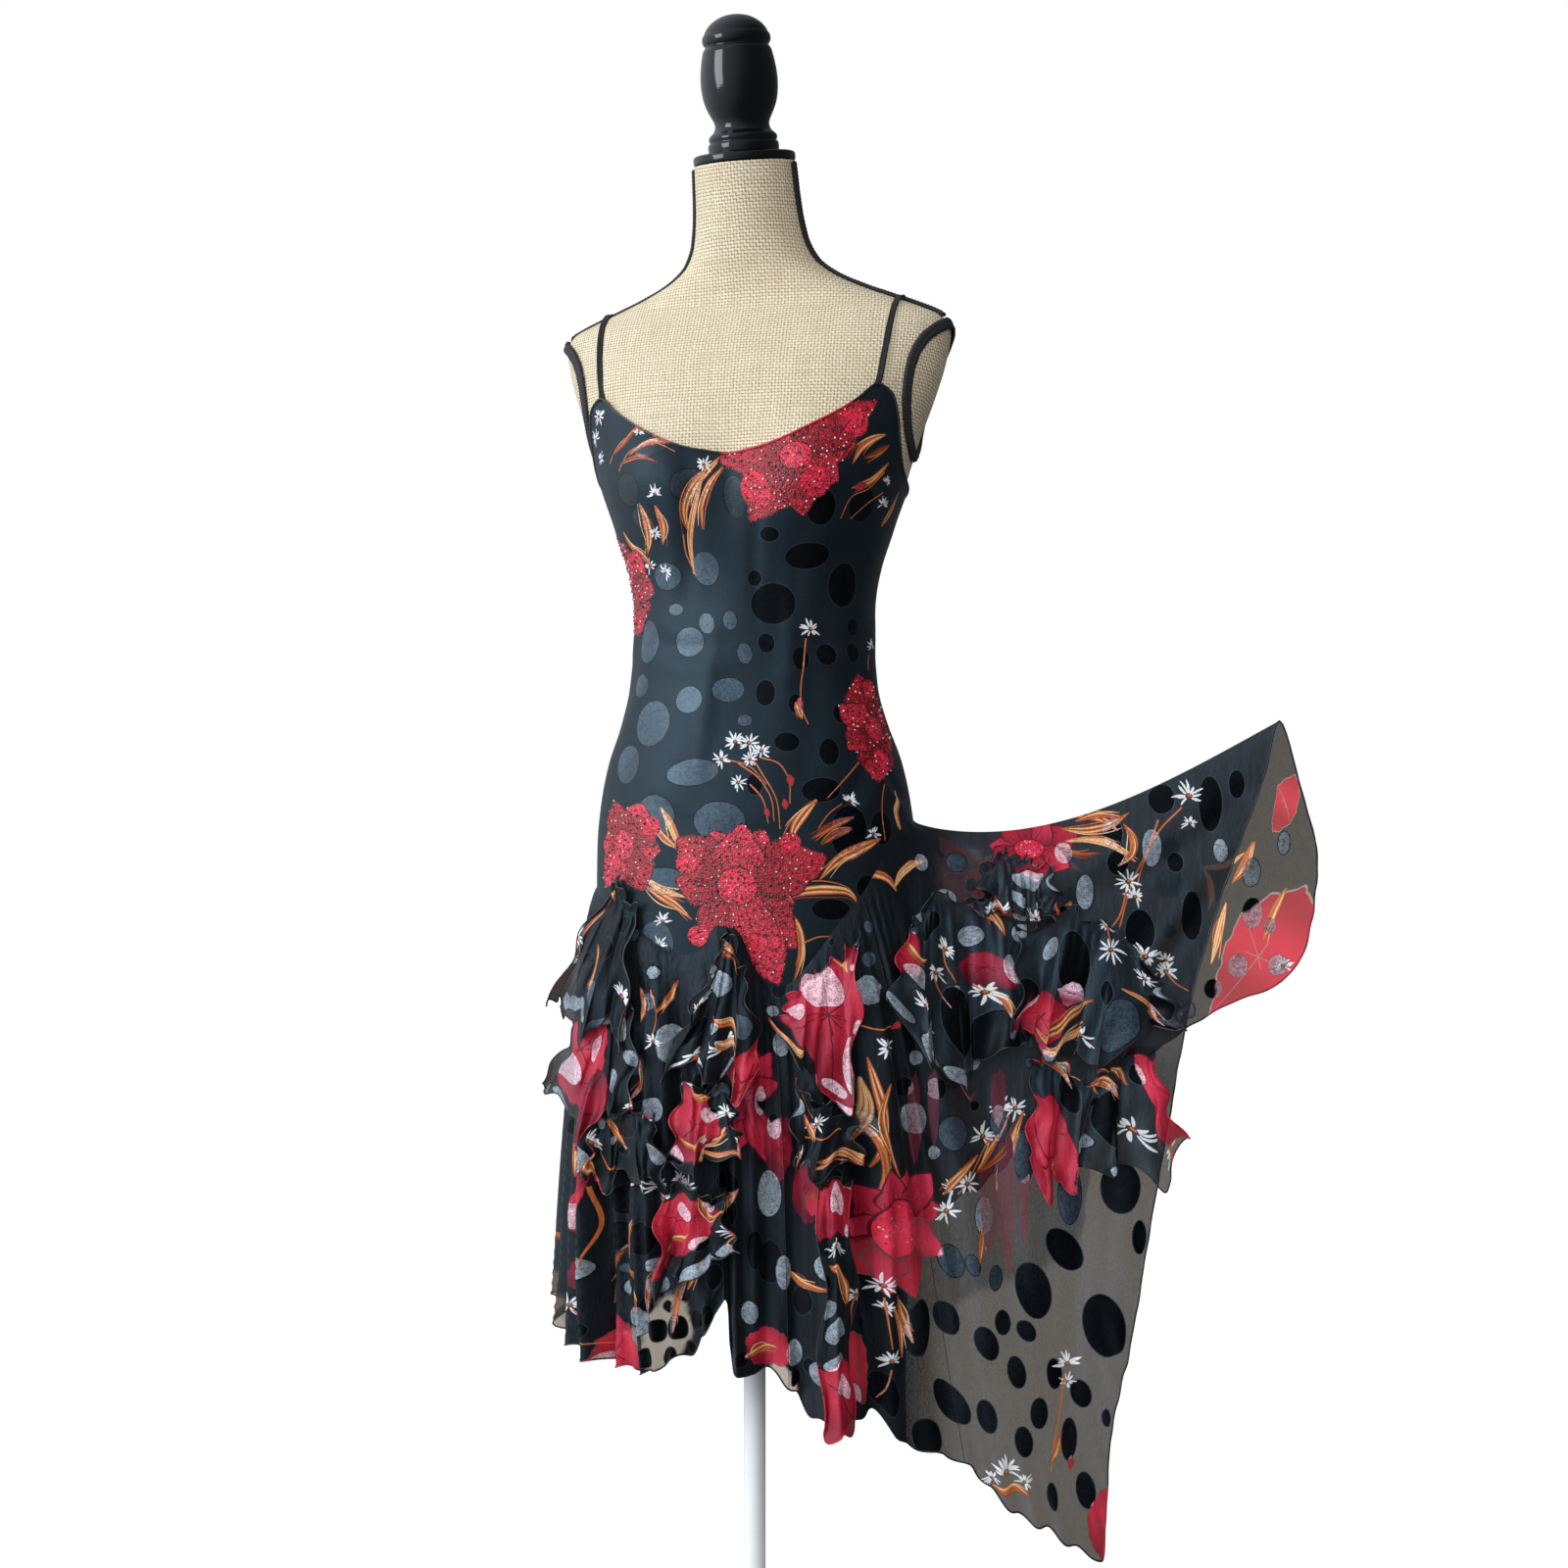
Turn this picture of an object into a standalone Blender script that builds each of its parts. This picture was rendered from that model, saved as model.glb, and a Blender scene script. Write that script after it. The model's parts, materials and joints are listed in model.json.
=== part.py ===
"""A bias-cut slip dress worn on a limbless dress form with a plain stand.

Metres, +Z up. The form's front faces -Y, X = 0 is its middle and the floor is Z = 0.
The skirt's hem point on the +X side is drawn out and up. u and w are turned with it:
u runs sideways along the drawn-out hem and w forward, TURN from the form's own front.
"""

import math

import bmesh
import bpy
import numpy as np

for old in list(bpy.data.objects):
    bpy.data.objects.remove(old, do_unlink=True)

# ---------------------------------------------------------------- named sizes
WALL = 0.0020  # cloth wall
EASE = 0.0042  # from the form to the middle of the body cloth's wall
SEAM = 0.0030  # gap left below the body, where the skirt is sewn on at an angle
TURN = math.radians(13.0)
FLOOR_BASE_R, FLOOR_BASE_H = 0.140, 0.018
POLE_R = 0.011
FORM_FOOT = 0.700  # underside of the torso
FORM_NECK = 1.499  # top of the neck, at its middle

# Torso sections: height, half width, front, back, middle, squareness, tilt in degrees
TORSO = [
    # z      half    front    back    mid     square tilt
    (0.700, 0.1480, -0.0940, 0.1020, 0.0060, 2.20, 0.0),
    (0.730, 0.1530, -0.0980, 0.1080, 0.0060, 2.20, 0.0),
    (0.790, 0.1560, -0.1010, 0.1130, 0.0060, 2.20, 0.0),
    (0.842, 0.1545, -0.1030, 0.1100, 0.0050, 2.20, 0.0),
    (0.881, 0.1500, -0.1030, 0.1020, 0.0030, 2.20, 0.0),
    (0.919, 0.1420, -0.1000, 0.0920, 0.0000, 2.20, 0.0),
    (0.958, 0.1280, -0.0930, 0.0820, -0.0020, 2.20, 0.0),
    (0.997, 0.1165, -0.0850, 0.0740, -0.0030, 2.15, 0.0),
    (1.030, 0.1120, -0.0810, 0.0720, -0.0030, 2.15, 0.0),
    (1.062, 0.1130, -0.0810, 0.0740, -0.0030, 2.15, 0.0),
    (1.113, 0.1215, -0.0860, 0.0820, -0.0020, 2.20, 0.0),
    (1.152, 0.1330, -0.0910, 0.0890, 0.0000, 2.30, 0.0),
    (1.191, 0.1480, -0.0950, 0.0950, 0.0010, 2.40, 0.0),
    (1.235, 0.1620, -0.0930, 0.0980, 0.0030, 2.50, 0.0),
    (1.280, 0.1790, -0.0860, 0.0960, 0.0050, 2.55, 0.0),
    (1.315, 0.1900, -0.0740, 0.0900, 0.0060, 2.50, 0.0),
    (1.338, 0.1940, -0.0620, 0.0800, 0.0050, 2.40, 0.0),
    (1.350, 0.1880, -0.0550, 0.0720, 0.0040, 2.30, 0.0),
    (1.359, 0.1710, -0.0500, 0.0650, 0.0030, 2.20, 0.0),
    (1.370, 0.1430, -0.0480, 0.0590, 0.0010, 2.10, 0.0),
    (1.382, 0.1120, -0.0500, 0.0530, -0.0010, 2.00, 0.0),
    (1.395, 0.0850, -0.0530, 0.0460, -0.0040, 2.00, 2.0),
    (1.410, 0.0660, -0.0580, 0.0390, -0.0090, 2.00, 6.0),
    (1.430, 0.0560, -0.0640, 0.0320, -0.0160, 2.00, 11.0),
    (1.460, 0.0510, -0.0740, 0.0220, -0.0260, 2.00, 15.0),
    (1.499, 0.0485, -0.0870, 0.0090, -0.0390, 2.00, 17.0),
]
BUST = dict(x=0.078, z=1.188, rise=0.020, wide=0.040, tall=0.038)

# Top edge of the dress body: degrees round from the front, height
NECKLINE = [
    (0.0, 1.2066), (12.4, 1.2140), (27.9, 1.2360), (38.0, 1.2560), (44.5, 1.2720),
    (52.0, 1.2660), (60.0, 1.2480), (69.0, 1.2200), (78.0, 1.2010), (90.0, 1.1920),
    (108.0, 1.1860), (122.0, 1.1900), (134.0, 1.2050), (148.0, 1.1900), (180.0, 1.1760),
]
FRONT_STRAP, BACK_STRAP = 44.5, 134.0  # where each strap is sewn on, in the same degrees
STRAP_WIDE, STRAP_LIFT = 0.0070, 0.0046

# Skirt lines from the hip seam to the hem, once round from the middle of the back over
# the -X side, the front and the +X side: degrees round at the seam, seam height, hem
# place, how far the line bellies out, how soon it leaves the form's slope, fold depth
SKIRT = [
    # deg    seam z    u        w        z      belly  bend  fold
    (-180.0, 0.7350,  0.0000, -0.1450, 0.4000, 0.012, 0.55, 0.016),
    (-165.0, 0.7480, -0.0480, -0.1440, 0.4010, 0.012, 0.55, 0.017),
    (-150.0, 0.7650, -0.0950, -0.1320, 0.4000, 0.012, 0.55, 0.017),
    (-135.0, 0.7800, -0.1380, -0.1120, 0.3960, 0.010, 0.55, 0.016),
    (-118.0, 0.7920, -0.1720, -0.0820, 0.3900, 0.008, 0.55, 0.013),
    (-104.0, 0.7990, -0.1900, -0.0550, 0.3820, 0.006, 0.55, 0.010),
    (-90.0, 0.8010, -0.1940, -0.0200, 0.3780, 0.004, 0.55, 0.008),
    (-76.0, 0.7960, -0.1820, 0.0280, 0.3660, 0.006, 0.60, 0.009),
    (-60.0, 0.7880, -0.1480, 0.0640, 0.3560, 0.008, 0.62, 0.011),
    (-44.0, 0.7740, -0.1120, 0.0880, 0.3500, 0.008, 0.62, 0.012),
    (-28.0, 0.7540, -0.0790, 0.1040, 0.3640, 0.008, 0.62, 0.013),
    (-16.0, 0.7400, -0.0520, 0.1140, 0.3800, 0.008, 0.62, 0.012),
    (-9.0, 0.7440, -0.0350, 0.1140, 0.4120, 0.008, 0.62, 0.008),
    (-7.0, 0.7500, -0.0240, 0.1140, 0.4300, 0.008, 0.62, 0.006),
    (-3.0, 0.7680, -0.0190, 0.1180, 0.3680, 0.010, 0.62, 0.010),
    (2.0, 0.7660, -0.0080, 0.1200, 0.3540, 0.010, 0.62, 0.012),
    (8.0, 0.7300, 0.0140, 0.1240, 0.3640, 0.010, 0.62, 0.014),
    (13.0, 0.7120, 0.0340, 0.1280, 0.3480, 0.010, 0.62, 0.014),
    (19.0, 0.7150, 0.0560, 0.1300, 0.3240, 0.010, 0.62, 0.014),
    (26.0, 0.7330, 0.0790, 0.1280, 0.3200, 0.010, 0.64, 0.014),
    (33.0, 0.7560, 0.1060, 0.1260, 0.3280, 0.009, 0.68, 0.013),
    (40.0, 0.7780, 0.1480, 0.1240, 0.2920, 0.008, 0.74, 0.011),
    (47.0, 0.7960, 0.1960, 0.1210, 0.2780, 0.006, 0.82, 0.010),
    (54.0, 0.8160, 0.2260, 0.1180, 0.2440, 0.004, 0.90, 0.009),
    (60.0, 0.8320, 0.2760, 0.1120, 0.2120, 0.003, 0.95, 0.008),
    (65.0, 0.8420, 0.3240, 0.1040, 0.1800, 0.003, 1.00, 0.007),
    (69.0, 0.8500, 0.3330, 0.0980, 0.2900, 0.003, 1.00, 0.007),
    (73.0, 0.8570, 0.3530, 0.0920, 0.3790, 0.003, 1.00, 0.007),
    (77.0, 0.8590, 0.3740, 0.0860, 0.4960, 0.003, 1.00, 0.006),
    (80.0, 0.8620, 0.3930, 0.0800, 0.5950, 0.002, 1.00, 0.006),
    (83.0, 0.8640, 0.4140, 0.0720, 0.6960, 0.002, 1.00, 0.005),
    (86.0, 0.8640, 0.4530, 0.0620, 0.8160, 0.001, 1.00, 0.004),
    (88.5, 0.8640, 0.4890, 0.0520, 0.9070, 0.000, 1.00, 0.002),
    (90.0, 0.8640, 0.5080, 0.0380, 0.9610, 0.000, 1.00, 0.000),
    (91.5, 0.8640, 0.5320, 0.0220, 0.9020, 0.000, 1.00, 0.002),
    (94.0, 0.8640, 0.5540, 0.0100, 0.8200, 0.001, 1.00, 0.004),
    (97.0, 0.8635, 0.5480, 0.0000, 0.7480, 0.002, 1.00, 0.006),
    (101.0, 0.8620, 0.5250, -0.0080, 0.7060, 0.003, 1.00, 0.008),
    (106.0, 0.8580, 0.4650, -0.0220, 0.6760, 0.004, 1.00, 0.009),
    (112.0, 0.8540, 0.4080, -0.0400, 0.6300, 0.004, 0.95, 0.010),
    (120.0, 0.8360, 0.3260, -0.0700, 0.5600, 0.006, 0.90, 0.012),
    (130.0, 0.8080, 0.2440, -0.0980, 0.4860, 0.008, 0.80, 0.014),
    (142.0, 0.7840, 0.1680, -0.1240, 0.4360, 0.010, 0.68, 0.016),
    (155.0, 0.7600, 0.1060, -0.1390, 0.4100, 0.012, 0.58, 0.016),
    (168.0, 0.7420, 0.0500, -0.1450, 0.4020, 0.012, 0.55, 0.016),
    (180.0, 0.7350, 0.0000, -0.1450, 0.4000, 0.012, 0.55, 0.016),
]
# Folds as waves round the skirt: how many degrees round each takes, its share, its start
FOLDS = [(31.0, 0.62, 0.15), (17.3, 0.38, 0.60), (47.0, 0.30, 0.35)]
FOLD_ROUND = 0.012  # half of how far the drawn-out top fold's two leaves stand apart
SAG = 0.040  # how far the drawn-out top fold hangs below a straight line

# Skirt panels, as cut: name, from and to in degrees round, columns, rows
PANELS = [
    ("skirt_front_left", -90.0, -7.2, 13, 12),
    ("godet_front", -7.2, 13.0, 6, 12),
    ("skirt_front_right", 13.0, 47.0, 8, 12),
    ("skirt_side_front", 47.0, 90.0, 11, 12),
    ("skirt_side_back", 90.0, 130.0, 9, 12),
    ("skirt_back_right", 130.0, 168.0, 8, 11),
    ("godet_back", 168.0, 195.0, 6, 11),
    ("skirt_back_left", 195.0, 270.0, 12, 11),
]

# Ruffles: top and bottom edges as (u, z) pairs from left to right, the lift of each edge
# off the cloth beneath, how many folds it has and how deep they are at the bottom
RUFFLES = {
    "ruffle_left_upper": dict(
        top=[(-0.168, 0.802), (-0.140, 0.800), (-0.112, 0.770)],
        low=[(-0.203, 0.692), (-0.168, 0.672), (-0.128, 0.682)],
        lift=(0.006, 0.020), folds=3.0, deep=0.009, cols=12, rows=6, start=0.1),
    "ruffle_left_lower": dict(
        top=[(-0.176, 0.668), (-0.145, 0.662), (-0.112, 0.672)],
        low=[(-0.211, 0.600), (-0.160, 0.582), (-0.112, 0.596)],
        lift=(0.006, 0.018), folds=3.0, deep=0.008, cols=12, rows=5, start=0.6),
    "ruffle_left_third": dict(
        top=[(-0.150, 0.575), (-0.125, 0.590), (-0.090, 0.585)],
        low=[(-0.160, 0.538), (-0.125, 0.536), (-0.084, 0.548)],
        lift=(0.006, 0.016), folds=2.0, deep=0.006, cols=9, rows=4, start=0.3),
    "ruffle_centre_upper": dict(
        top=[(-0.052, 0.740), (-0.022, 0.760), (0.002, 0.736)],
        low=[(-0.072, 0.650), (-0.035, 0.634), (0.008, 0.655)],
        lift=(0.006, 0.022), folds=2.5, deep=0.008, cols=12, rows=6, start=0.0),
    "ruffle_centre_lower": dict(
        top=[(-0.066, 0.618), (-0.040, 0.618), (-0.016, 0.606)],
        low=[(-0.074, 0.560), (-0.045, 0.552), (-0.012, 0.566)],
        lift=(0.006, 0.018), folds=2.0, deep=0.006, cols=9, rows=4, start=0.4),
    "ruffle_centre_end": dict(
        top=[(-0.084, 0.520), (-0.055, 0.524), (-0.026, 0.516)],
        low=[(-0.092, 0.458), (-0.055, 0.446), (-0.022, 0.466)],
        lift=(0.006, 0.018), folds=1.5, deep=0.006, cols=9, rows=4, start=0.2),
    "ruffle_front_upper": dict(
        top=[(0.034, 0.704), (0.066, 0.724), (0.098, 0.756)],
        low=[(0.024, 0.670), (0.058, 0.636), (0.092, 0.616)],
        lift=(0.006, 0.022), folds=1.5, deep=0.006, cols=10, rows=6, start=0.7),
    "ruffle_front_lower": dict(
        top=[(0.040, 0.618), (0.068, 0.606), (0.094, 0.602)],
        low=[(0.040, 0.560), (0.070, 0.548), (0.096, 0.558)],
        lift=(0.006, 0.018), folds=1.5, deep=0.006, cols=9, rows=4, start=0.1),
    "ruffle_front_tail": dict(
        top=[(0.060, 0.536), (0.074, 0.536), (0.090, 0.536)],
        low=[(0.066, 0.318), (0.078, 0.310), (0.091, 0.322)],
        lift=(0.006, 0.012), folds=1.0, deep=0.004, cols=5, rows=9, start=0.5),
    "ruffle_side_upper_left": dict(
        top=[(0.136, 0.780), (0.185, 0.786), (0.246, 0.774)],
        low=[(0.128, 0.688), (0.192, 0.634), (0.246, 0.672)],
        lift=(0.006, 0.020), folds=2.5, deep=0.008, cols=13, rows=6, start=0.0),
    "ruffle_side_gather": dict(
        top=[(0.216, 0.812), (0.252, 0.826), (0.284, 0.812)],
        low=[(0.214, 0.782), (0.246, 0.780), (0.288, 0.776)],
        lift=(0.005, 0.010), folds=3.0, deep=0.003, cols=12, rows=4, start=0.3),
    "ruffle_side_upper_right": dict(
        top=[(0.256, 0.766), (0.320, 0.768), (0.390, 0.744)],
        low=[(0.250, 0.680), (0.310, 0.642), (0.394, 0.676)],
        lift=(0.006, 0.020), folds=2.5, deep=0.008, cols=14, rows=6, start=0.5),
    "ruffle_side_lower": dict(
        top=[(0.262, 0.632), (0.320, 0.628), (0.378, 0.648)],
        low=[(0.258, 0.556), (0.312, 0.540), (0.384, 0.556)],
        lift=(0.006, 0.018), folds=2.5, deep=0.007, cols=13, rows=5, start=0.2),
}
# The same on the hidden side, finished plainly
BACK_RUFFLES = {
    "ruffle_back_left": dict(
        top=[(-0.128, 0.782), (-0.075, 0.752), (-0.030, 0.742)],
        low=[(-0.150, 0.672), (-0.085, 0.632), (-0.030, 0.650)],
        lift=(0.006, 0.020), folds=2.5, deep=0.008, cols=12, rows=6, start=0.3),
    "ruffle_back_right": dict(
        top=[(0.030, 0.742), (0.085, 0.764), (0.150, 0.800)],
        low=[(0.030, 0.650), (0.090, 0.625), (0.165, 0.660)],
        lift=(0.006, 0.020), folds=2.5, deep=0.008, cols=12, rows=6, start=0.8),
}


# ---------------------------------------------------------------- curves and tables
def smooth_table(xs, ys, x):
    """Monotone cubic through a table's rows; ys may hold several columns."""
    xs = np.asarray(xs, float)
    ys = np.asarray(ys, float)
    flat = ys.ndim == 1
    ys = ys.reshape(len(xs), -1)
    x = np.asarray(x, float)
    h = np.diff(xs)[:, None]
    d = np.diff(ys, axis=0) / h
    m = np.zeros_like(ys)
    a, b = d[:-1], d[1:]
    w1, w2 = 2 * h[1:] + h[:-1], h[1:] + 2 * h[:-1]
    same = a * b > 0
    safe_a, safe_b = np.where(same, a, 1.0), np.where(same, b, 1.0)
    m[1:-1] = np.where(same, (w1 + w2) / (w1 / safe_a + w2 / safe_b), 0.0)
    m[0], m[-1] = d[0], d[-1]
    i = np.clip(np.searchsorted(xs, x, side="right") - 1, 0, len(xs) - 2)
    hh = h[i]
    t = np.clip((x - xs[i]) / np.diff(xs)[i], 0.0, 1.0)[..., None]
    out = (
        (2 * t**3 - 3 * t**2 + 1) * ys[i]
        + (t**3 - 2 * t**2 + t) * hh * m[i]
        + (-2 * t**3 + 3 * t**2) * ys[i + 1]
        + (t**3 - t**2) * hh * m[i + 1]
    )
    return out[..., 0] if flat else out


TORSO_A = np.array(TORSO)
NECK_A = np.array(NECKLINE)
SKIRT_A = np.array(SKIRT)


def torso(deg, z):
    """Point on the form's skin: degrees round from the front (+X is 90), section height."""
    deg, z = np.broadcast_arrays(np.asarray(deg, float), np.asarray(z, float))
    col = smooth_table(TORSO_A[:, 0], TORSO_A[:, 1:], z)
    half, front, back, mid, square, tilt = (col[..., k] for k in range(6))
    a = np.radians(deg)
    s, c = np.sin(a), np.cos(a)
    x = half * np.sign(s) * np.abs(s) ** (2 / square)
    depth = np.where(c > 0, mid - front, back - mid)
    y = mid - depth * np.sign(c) * np.abs(c) ** (2 / square)
    lean = np.tan(np.radians(tilt)) * (y - mid)
    near = np.exp(
        -((np.abs(x) - BUST["x"]) ** 2) / (2 * BUST["wide"] ** 2)
        - (z - BUST["z"]) ** 2 / (2 * BUST["tall"] ** 2)
    )
    y = y - BUST["rise"] * near * np.clip(c * 1.6, 0, 1)
    return np.stack([x, y, z + lean], axis=-1)


def skin(deg, z, out):
    """A point moved out from the form's skin along its normal."""
    deg, z = np.broadcast_arrays(np.asarray(deg, float), np.asarray(z, float))
    p = torso(deg, z)
    da = torso(deg + 1.5, z) - torso(deg - 1.5, z)
    dz = torso(deg, z + 0.002) - torso(deg, z - 0.002)
    n = np.cross(da, dz)
    n /= np.linalg.norm(n, axis=-1, keepdims=True) + 1e-12
    return p + n * np.asarray(out, float)[..., None]


def neckline(deg):
    d = np.abs((np.asarray(deg, float) + 180.0) % 360.0 - 180.0)
    return smooth_table(NECK_A[:, 0], NECK_A[:, 1], d)


def wrap(deg):
    return (np.asarray(deg, float) + 180.0) % 360.0 - 180.0


def seam_z(deg):
    return smooth_table(SKIRT_A[:, 0], SKIRT_A[:, 1], wrap(deg))


def row_frame(u, w, z):
    """Turns (u, w, z) back to the form's own X, Y, Z."""
    c, s = math.cos(TURN), math.sin(TURN)
    return np.stack([u * c + w * s, u * s - w * c, z], axis=-1)


def turned(p):
    """(u, w, z) of points in X, Y, Z."""
    c, s = math.cos(TURN), math.sin(TURN)
    return np.stack([p[..., 0] * c + p[..., 1] * s, p[..., 0] * s - p[..., 1] * c, p[..., 2]], axis=-1)


def fold_wave(deg):
    total = 0.0
    for period, share, start in FOLDS:
        total = total + share * np.cos(2 * math.pi * (deg / period + start))
    return total


def skirt(deg, t):
    """Point on the skirt: degrees round at the seam, t from the seam (0) to the hem (1)."""
    deg, t = np.broadcast_arrays(wrap(deg), np.asarray(t, float))
    col = smooth_table(SKIRT_A[:, 0], SKIRT_A[:, 1:], deg)
    z0, u1, w1, z1, belly, bend, fold = (col[..., k] for k in range(7))
    top = skin(deg, z0 - SEAM, np.full_like(deg, EASE))
    hem = row_frame(u1, w1, z1)
    g = t**bend  # sideways travel comes early where the cloth hangs free
    p = np.empty(deg.shape + (3,))
    p[..., :2] = top[..., :2] * (1 - g)[..., None] + hem[..., :2] * g[..., None]
    p[..., 2] = top[..., 2] * (1 - t) + hem[..., 2] * t
    span = np.clip((np.abs(deg) - 0) / 1.0, 0, 1)
    drawn = np.exp(-(((deg - 90.0) / 9.0) ** 2))
    p[..., 2] -= SAG * drawn * np.sin(math.pi * t**0.8) * span
    outward = row_frame(u1 * 0.35, w1, 0 * z1)
    side = np.exp(-(((deg - 90.0) / 14.0) ** 2))
    normal = outward / (np.linalg.norm(outward, axis=-1, keepdims=True) + 1e-9)
    facing = row_frame(0 * u1, np.sign(w1 - 0.03) + 0 * z1, 0 * z1)
    pulled = np.clip((u1 - 0.14) / 0.12, 0, 1)[..., None]
    normal = normal * (1 - pulled) + facing * pulled
    swell = belly * np.sin(math.pi * np.clip(t, 0, 1) ** 0.8)
    grow = np.clip(t, 0, 1) ** 0.9
    near_form = np.clip((p[..., 2] - FORM_FOOT + 0.03) / 0.08, 0, 1) * (1 - np.clip((np.abs(u1) - 0.2) / 0.1, 0, 1))
    wave = fold_wave(deg)
    push = fold * grow * (wave * (1 - near_form) + (0.5 + 0.5 * wave) * near_form) * (1 - side)
    # The top fold is a soft round bend, its two leaves held apart
    off = deg - 90.0
    apart = FOLD_ROUND * np.sin(math.pi * t**0.9) * np.sign(-off) * (1 - np.exp(-((off / 2.2) ** 2))) * np.exp(-((off / 15.0) ** 2))
    return p + normal * (swell + push)[..., None] + row_frame(0 * t, apart, 0 * t)


def body_cloth(deg, v, out=0.0):
    """Point on the dress body: v from the top edge (0) to the hip seam (1)."""
    deg, v = np.broadcast_arrays(np.asarray(deg, float), np.asarray(v, float))
    z = neckline(deg) * (1 - v) + seam_z(deg) * v
    slack = 0.004 * np.exp(-(((z - 1.03) / 0.05) ** 2)) + 0.002 * np.exp(-(((z - 1.14) / 0.03) ** 2))
    return skin(deg, z, EASE + slack + out)


# ---------------------------------------------------------------- solids
def material(name, colour, rough=0.8, metallic=0.0):
    made = bpy.data.materials.get(name)
    if made is None:
        made = bpy.data.materials.new(name)
        made.use_nodes = True
        shader = made.node_tree.nodes["Principled BSDF"]
        shader.inputs["Base Color"].default_value = (*colour, 1.0)
        shader.inputs["Roughness"].default_value = rough
        shader.inputs["Metallic"].default_value = metallic
    return made


def add_mesh(name, points, faces, mat, smooth=True):
    mesh = bpy.data.meshes.new(name)
    mesh.from_pydata([tuple(map(float, p)) for p in points], [], faces)
    work = bmesh.new()
    work.from_mesh(mesh)
    bmesh.ops.recalc_face_normals(work, faces=work.faces)
    bmesh.ops.triangulate(work, faces=work.faces)
    if work.calc_volume(signed=True) < 0:
        bmesh.ops.reverse_faces(work, faces=work.faces)
    work.to_mesh(mesh)
    work.free()
    for poly in mesh.polygons:
        poly.use_smooth = smooth
    obj = bpy.data.objects.new(name, mesh)
    bpy.context.scene.collection.objects.link(obj)
    mesh.materials.append(mat)
    return obj


def grid_normals(p):
    du = np.gradient(p, axis=1)
    dv = np.gradient(p, axis=0)
    n = np.cross(du, dv)
    return n / (np.linalg.norm(n, axis=-1, keepdims=True) + 1e-12)


def sheet_solid(name, p, mat, wall=WALL, n=None):
    """A closed wall of even thickness about a grid of points (rows, columns, 3)."""
    rows, cols = p.shape[:2]
    n = grid_normals(p) if n is None else n
    outer, inner = p + n * wall / 2, p - n * wall / 2
    points = np.concatenate([outer.reshape(-1, 3), inner.reshape(-1, 3)])
    k = rows * cols
    at = lambda r, c: r * cols + c
    faces = []
    for r in range(rows - 1):
        for c in range(cols - 1):
            a, b, d, e = at(r, c), at(r, c + 1), at(r + 1, c + 1), at(r + 1, c)
            faces.append((a, b, d, e))
            faces.append((k + a, k + e, k + d, k + b))
    ring = (
        [(0, c) for c in range(cols)]
        + [(r, cols - 1) for r in range(1, rows)]
        + [(rows - 1, c) for c in range(cols - 2, -1, -1)]
        + [(r, 0) for r in range(rows - 2, 0, -1)]
    )
    for (r0, c0), (r1, c1) in zip(ring, ring[1:] + ring[:1]):
        a, b = at(r0, c0), at(r1, c1)
        faces.append((a, k + a, k + b, b))
    return add_mesh(name, points, faces, mat)


def close_edges(p, gap, fold_gap=None):
    """Draws a panel's two side edges in by half the seam gap, or more along the top fold."""
    p = p.copy()
    for edge, next_in in ((0, 1), (-1, -2)):
        step = p[:, next_in] - p[:, edge]
        step /= np.linalg.norm(step, axis=-1, keepdims=True) + 1e-12
        p[:, edge] += step * (gap if fold_gap is None else fold_gap)
    return p


def stacked_rings(name, rings, mat, smooth=True):
    """A solid through closed rings of points, capped flat at both ends."""
    count = len(rings[0])
    points = np.concatenate(rings)
    faces = []
    for r in range(len(rings) - 1):
        for c in range(count):
            d = (c + 1) % count
            faces.append((r * count + c, r * count + d, (r + 1) * count + d, (r + 1) * count + c))
    faces.append(tuple(range(count))[::-1])
    last = (len(rings) - 1) * count
    faces.append(tuple(range(last, last + count)))
    return add_mesh(name, points, faces, mat, smooth)


def turned_solid(name, profile, foot, axis, mat, steps=40):
    """A round solid from (radius, height) rows, from a foot point along an axis."""
    axis = np.asarray(axis, float) / np.linalg.norm(axis)
    across = np.array([1.0, 0.0, 0.0])
    other = np.cross(axis, across)
    a = np.linspace(0, 2 * math.pi, steps, endpoint=False)
    circle = np.cos(a)[:, None] * across + np.sin(a)[:, None] * other
    rings = [np.asarray(foot) + axis * h + circle * r for r, h in profile]
    return stacked_rings(name, rings, mat)


BURLAP = material("form_burlap", (0.70, 0.56, 0.34), 0.9)
BRAID = material("form_braid", (0.02, 0.02, 0.025), 0.8)
FINIAL = material("finial_gloss_black", (0.02, 0.022, 0.03), 0.25)
STAND = material("stand_white", (0.85, 0.85, 0.85), 0.5)
CLOTH = material("dress_cloth", (0.03, 0.036, 0.045), 0.8)
RUFFLE = material("ruffle_cloth", (0.035, 0.04, 0.05), 0.8)
STRAP = material("strap_cloth", (0.012, 0.012, 0.015), 0.7)

# The form: torso and neck in one
around = np.linspace(0, 360, 64, endpoint=False)
levels = np.unique(np.concatenate([np.linspace(0.700, 1.33, 27), np.linspace(1.338, 1.42, 12), np.linspace(1.43, FORM_NECK, 5)]))
rings = [torso(around, np.full_like(around, z)) for z in levels]
foot_edge = torso(around, np.full_like(around, FORM_FOOT))
centre = foot_edge.mean(axis=0)
under = [centre + (foot_edge - centre) * np.array([s, s, 1.0]) - np.array([0, 0, d]) for s, d in ((0.90, 0.0100), (0.965, 0.0070))]
stacked_rings("form_torso", under + rings, BURLAP)

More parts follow.
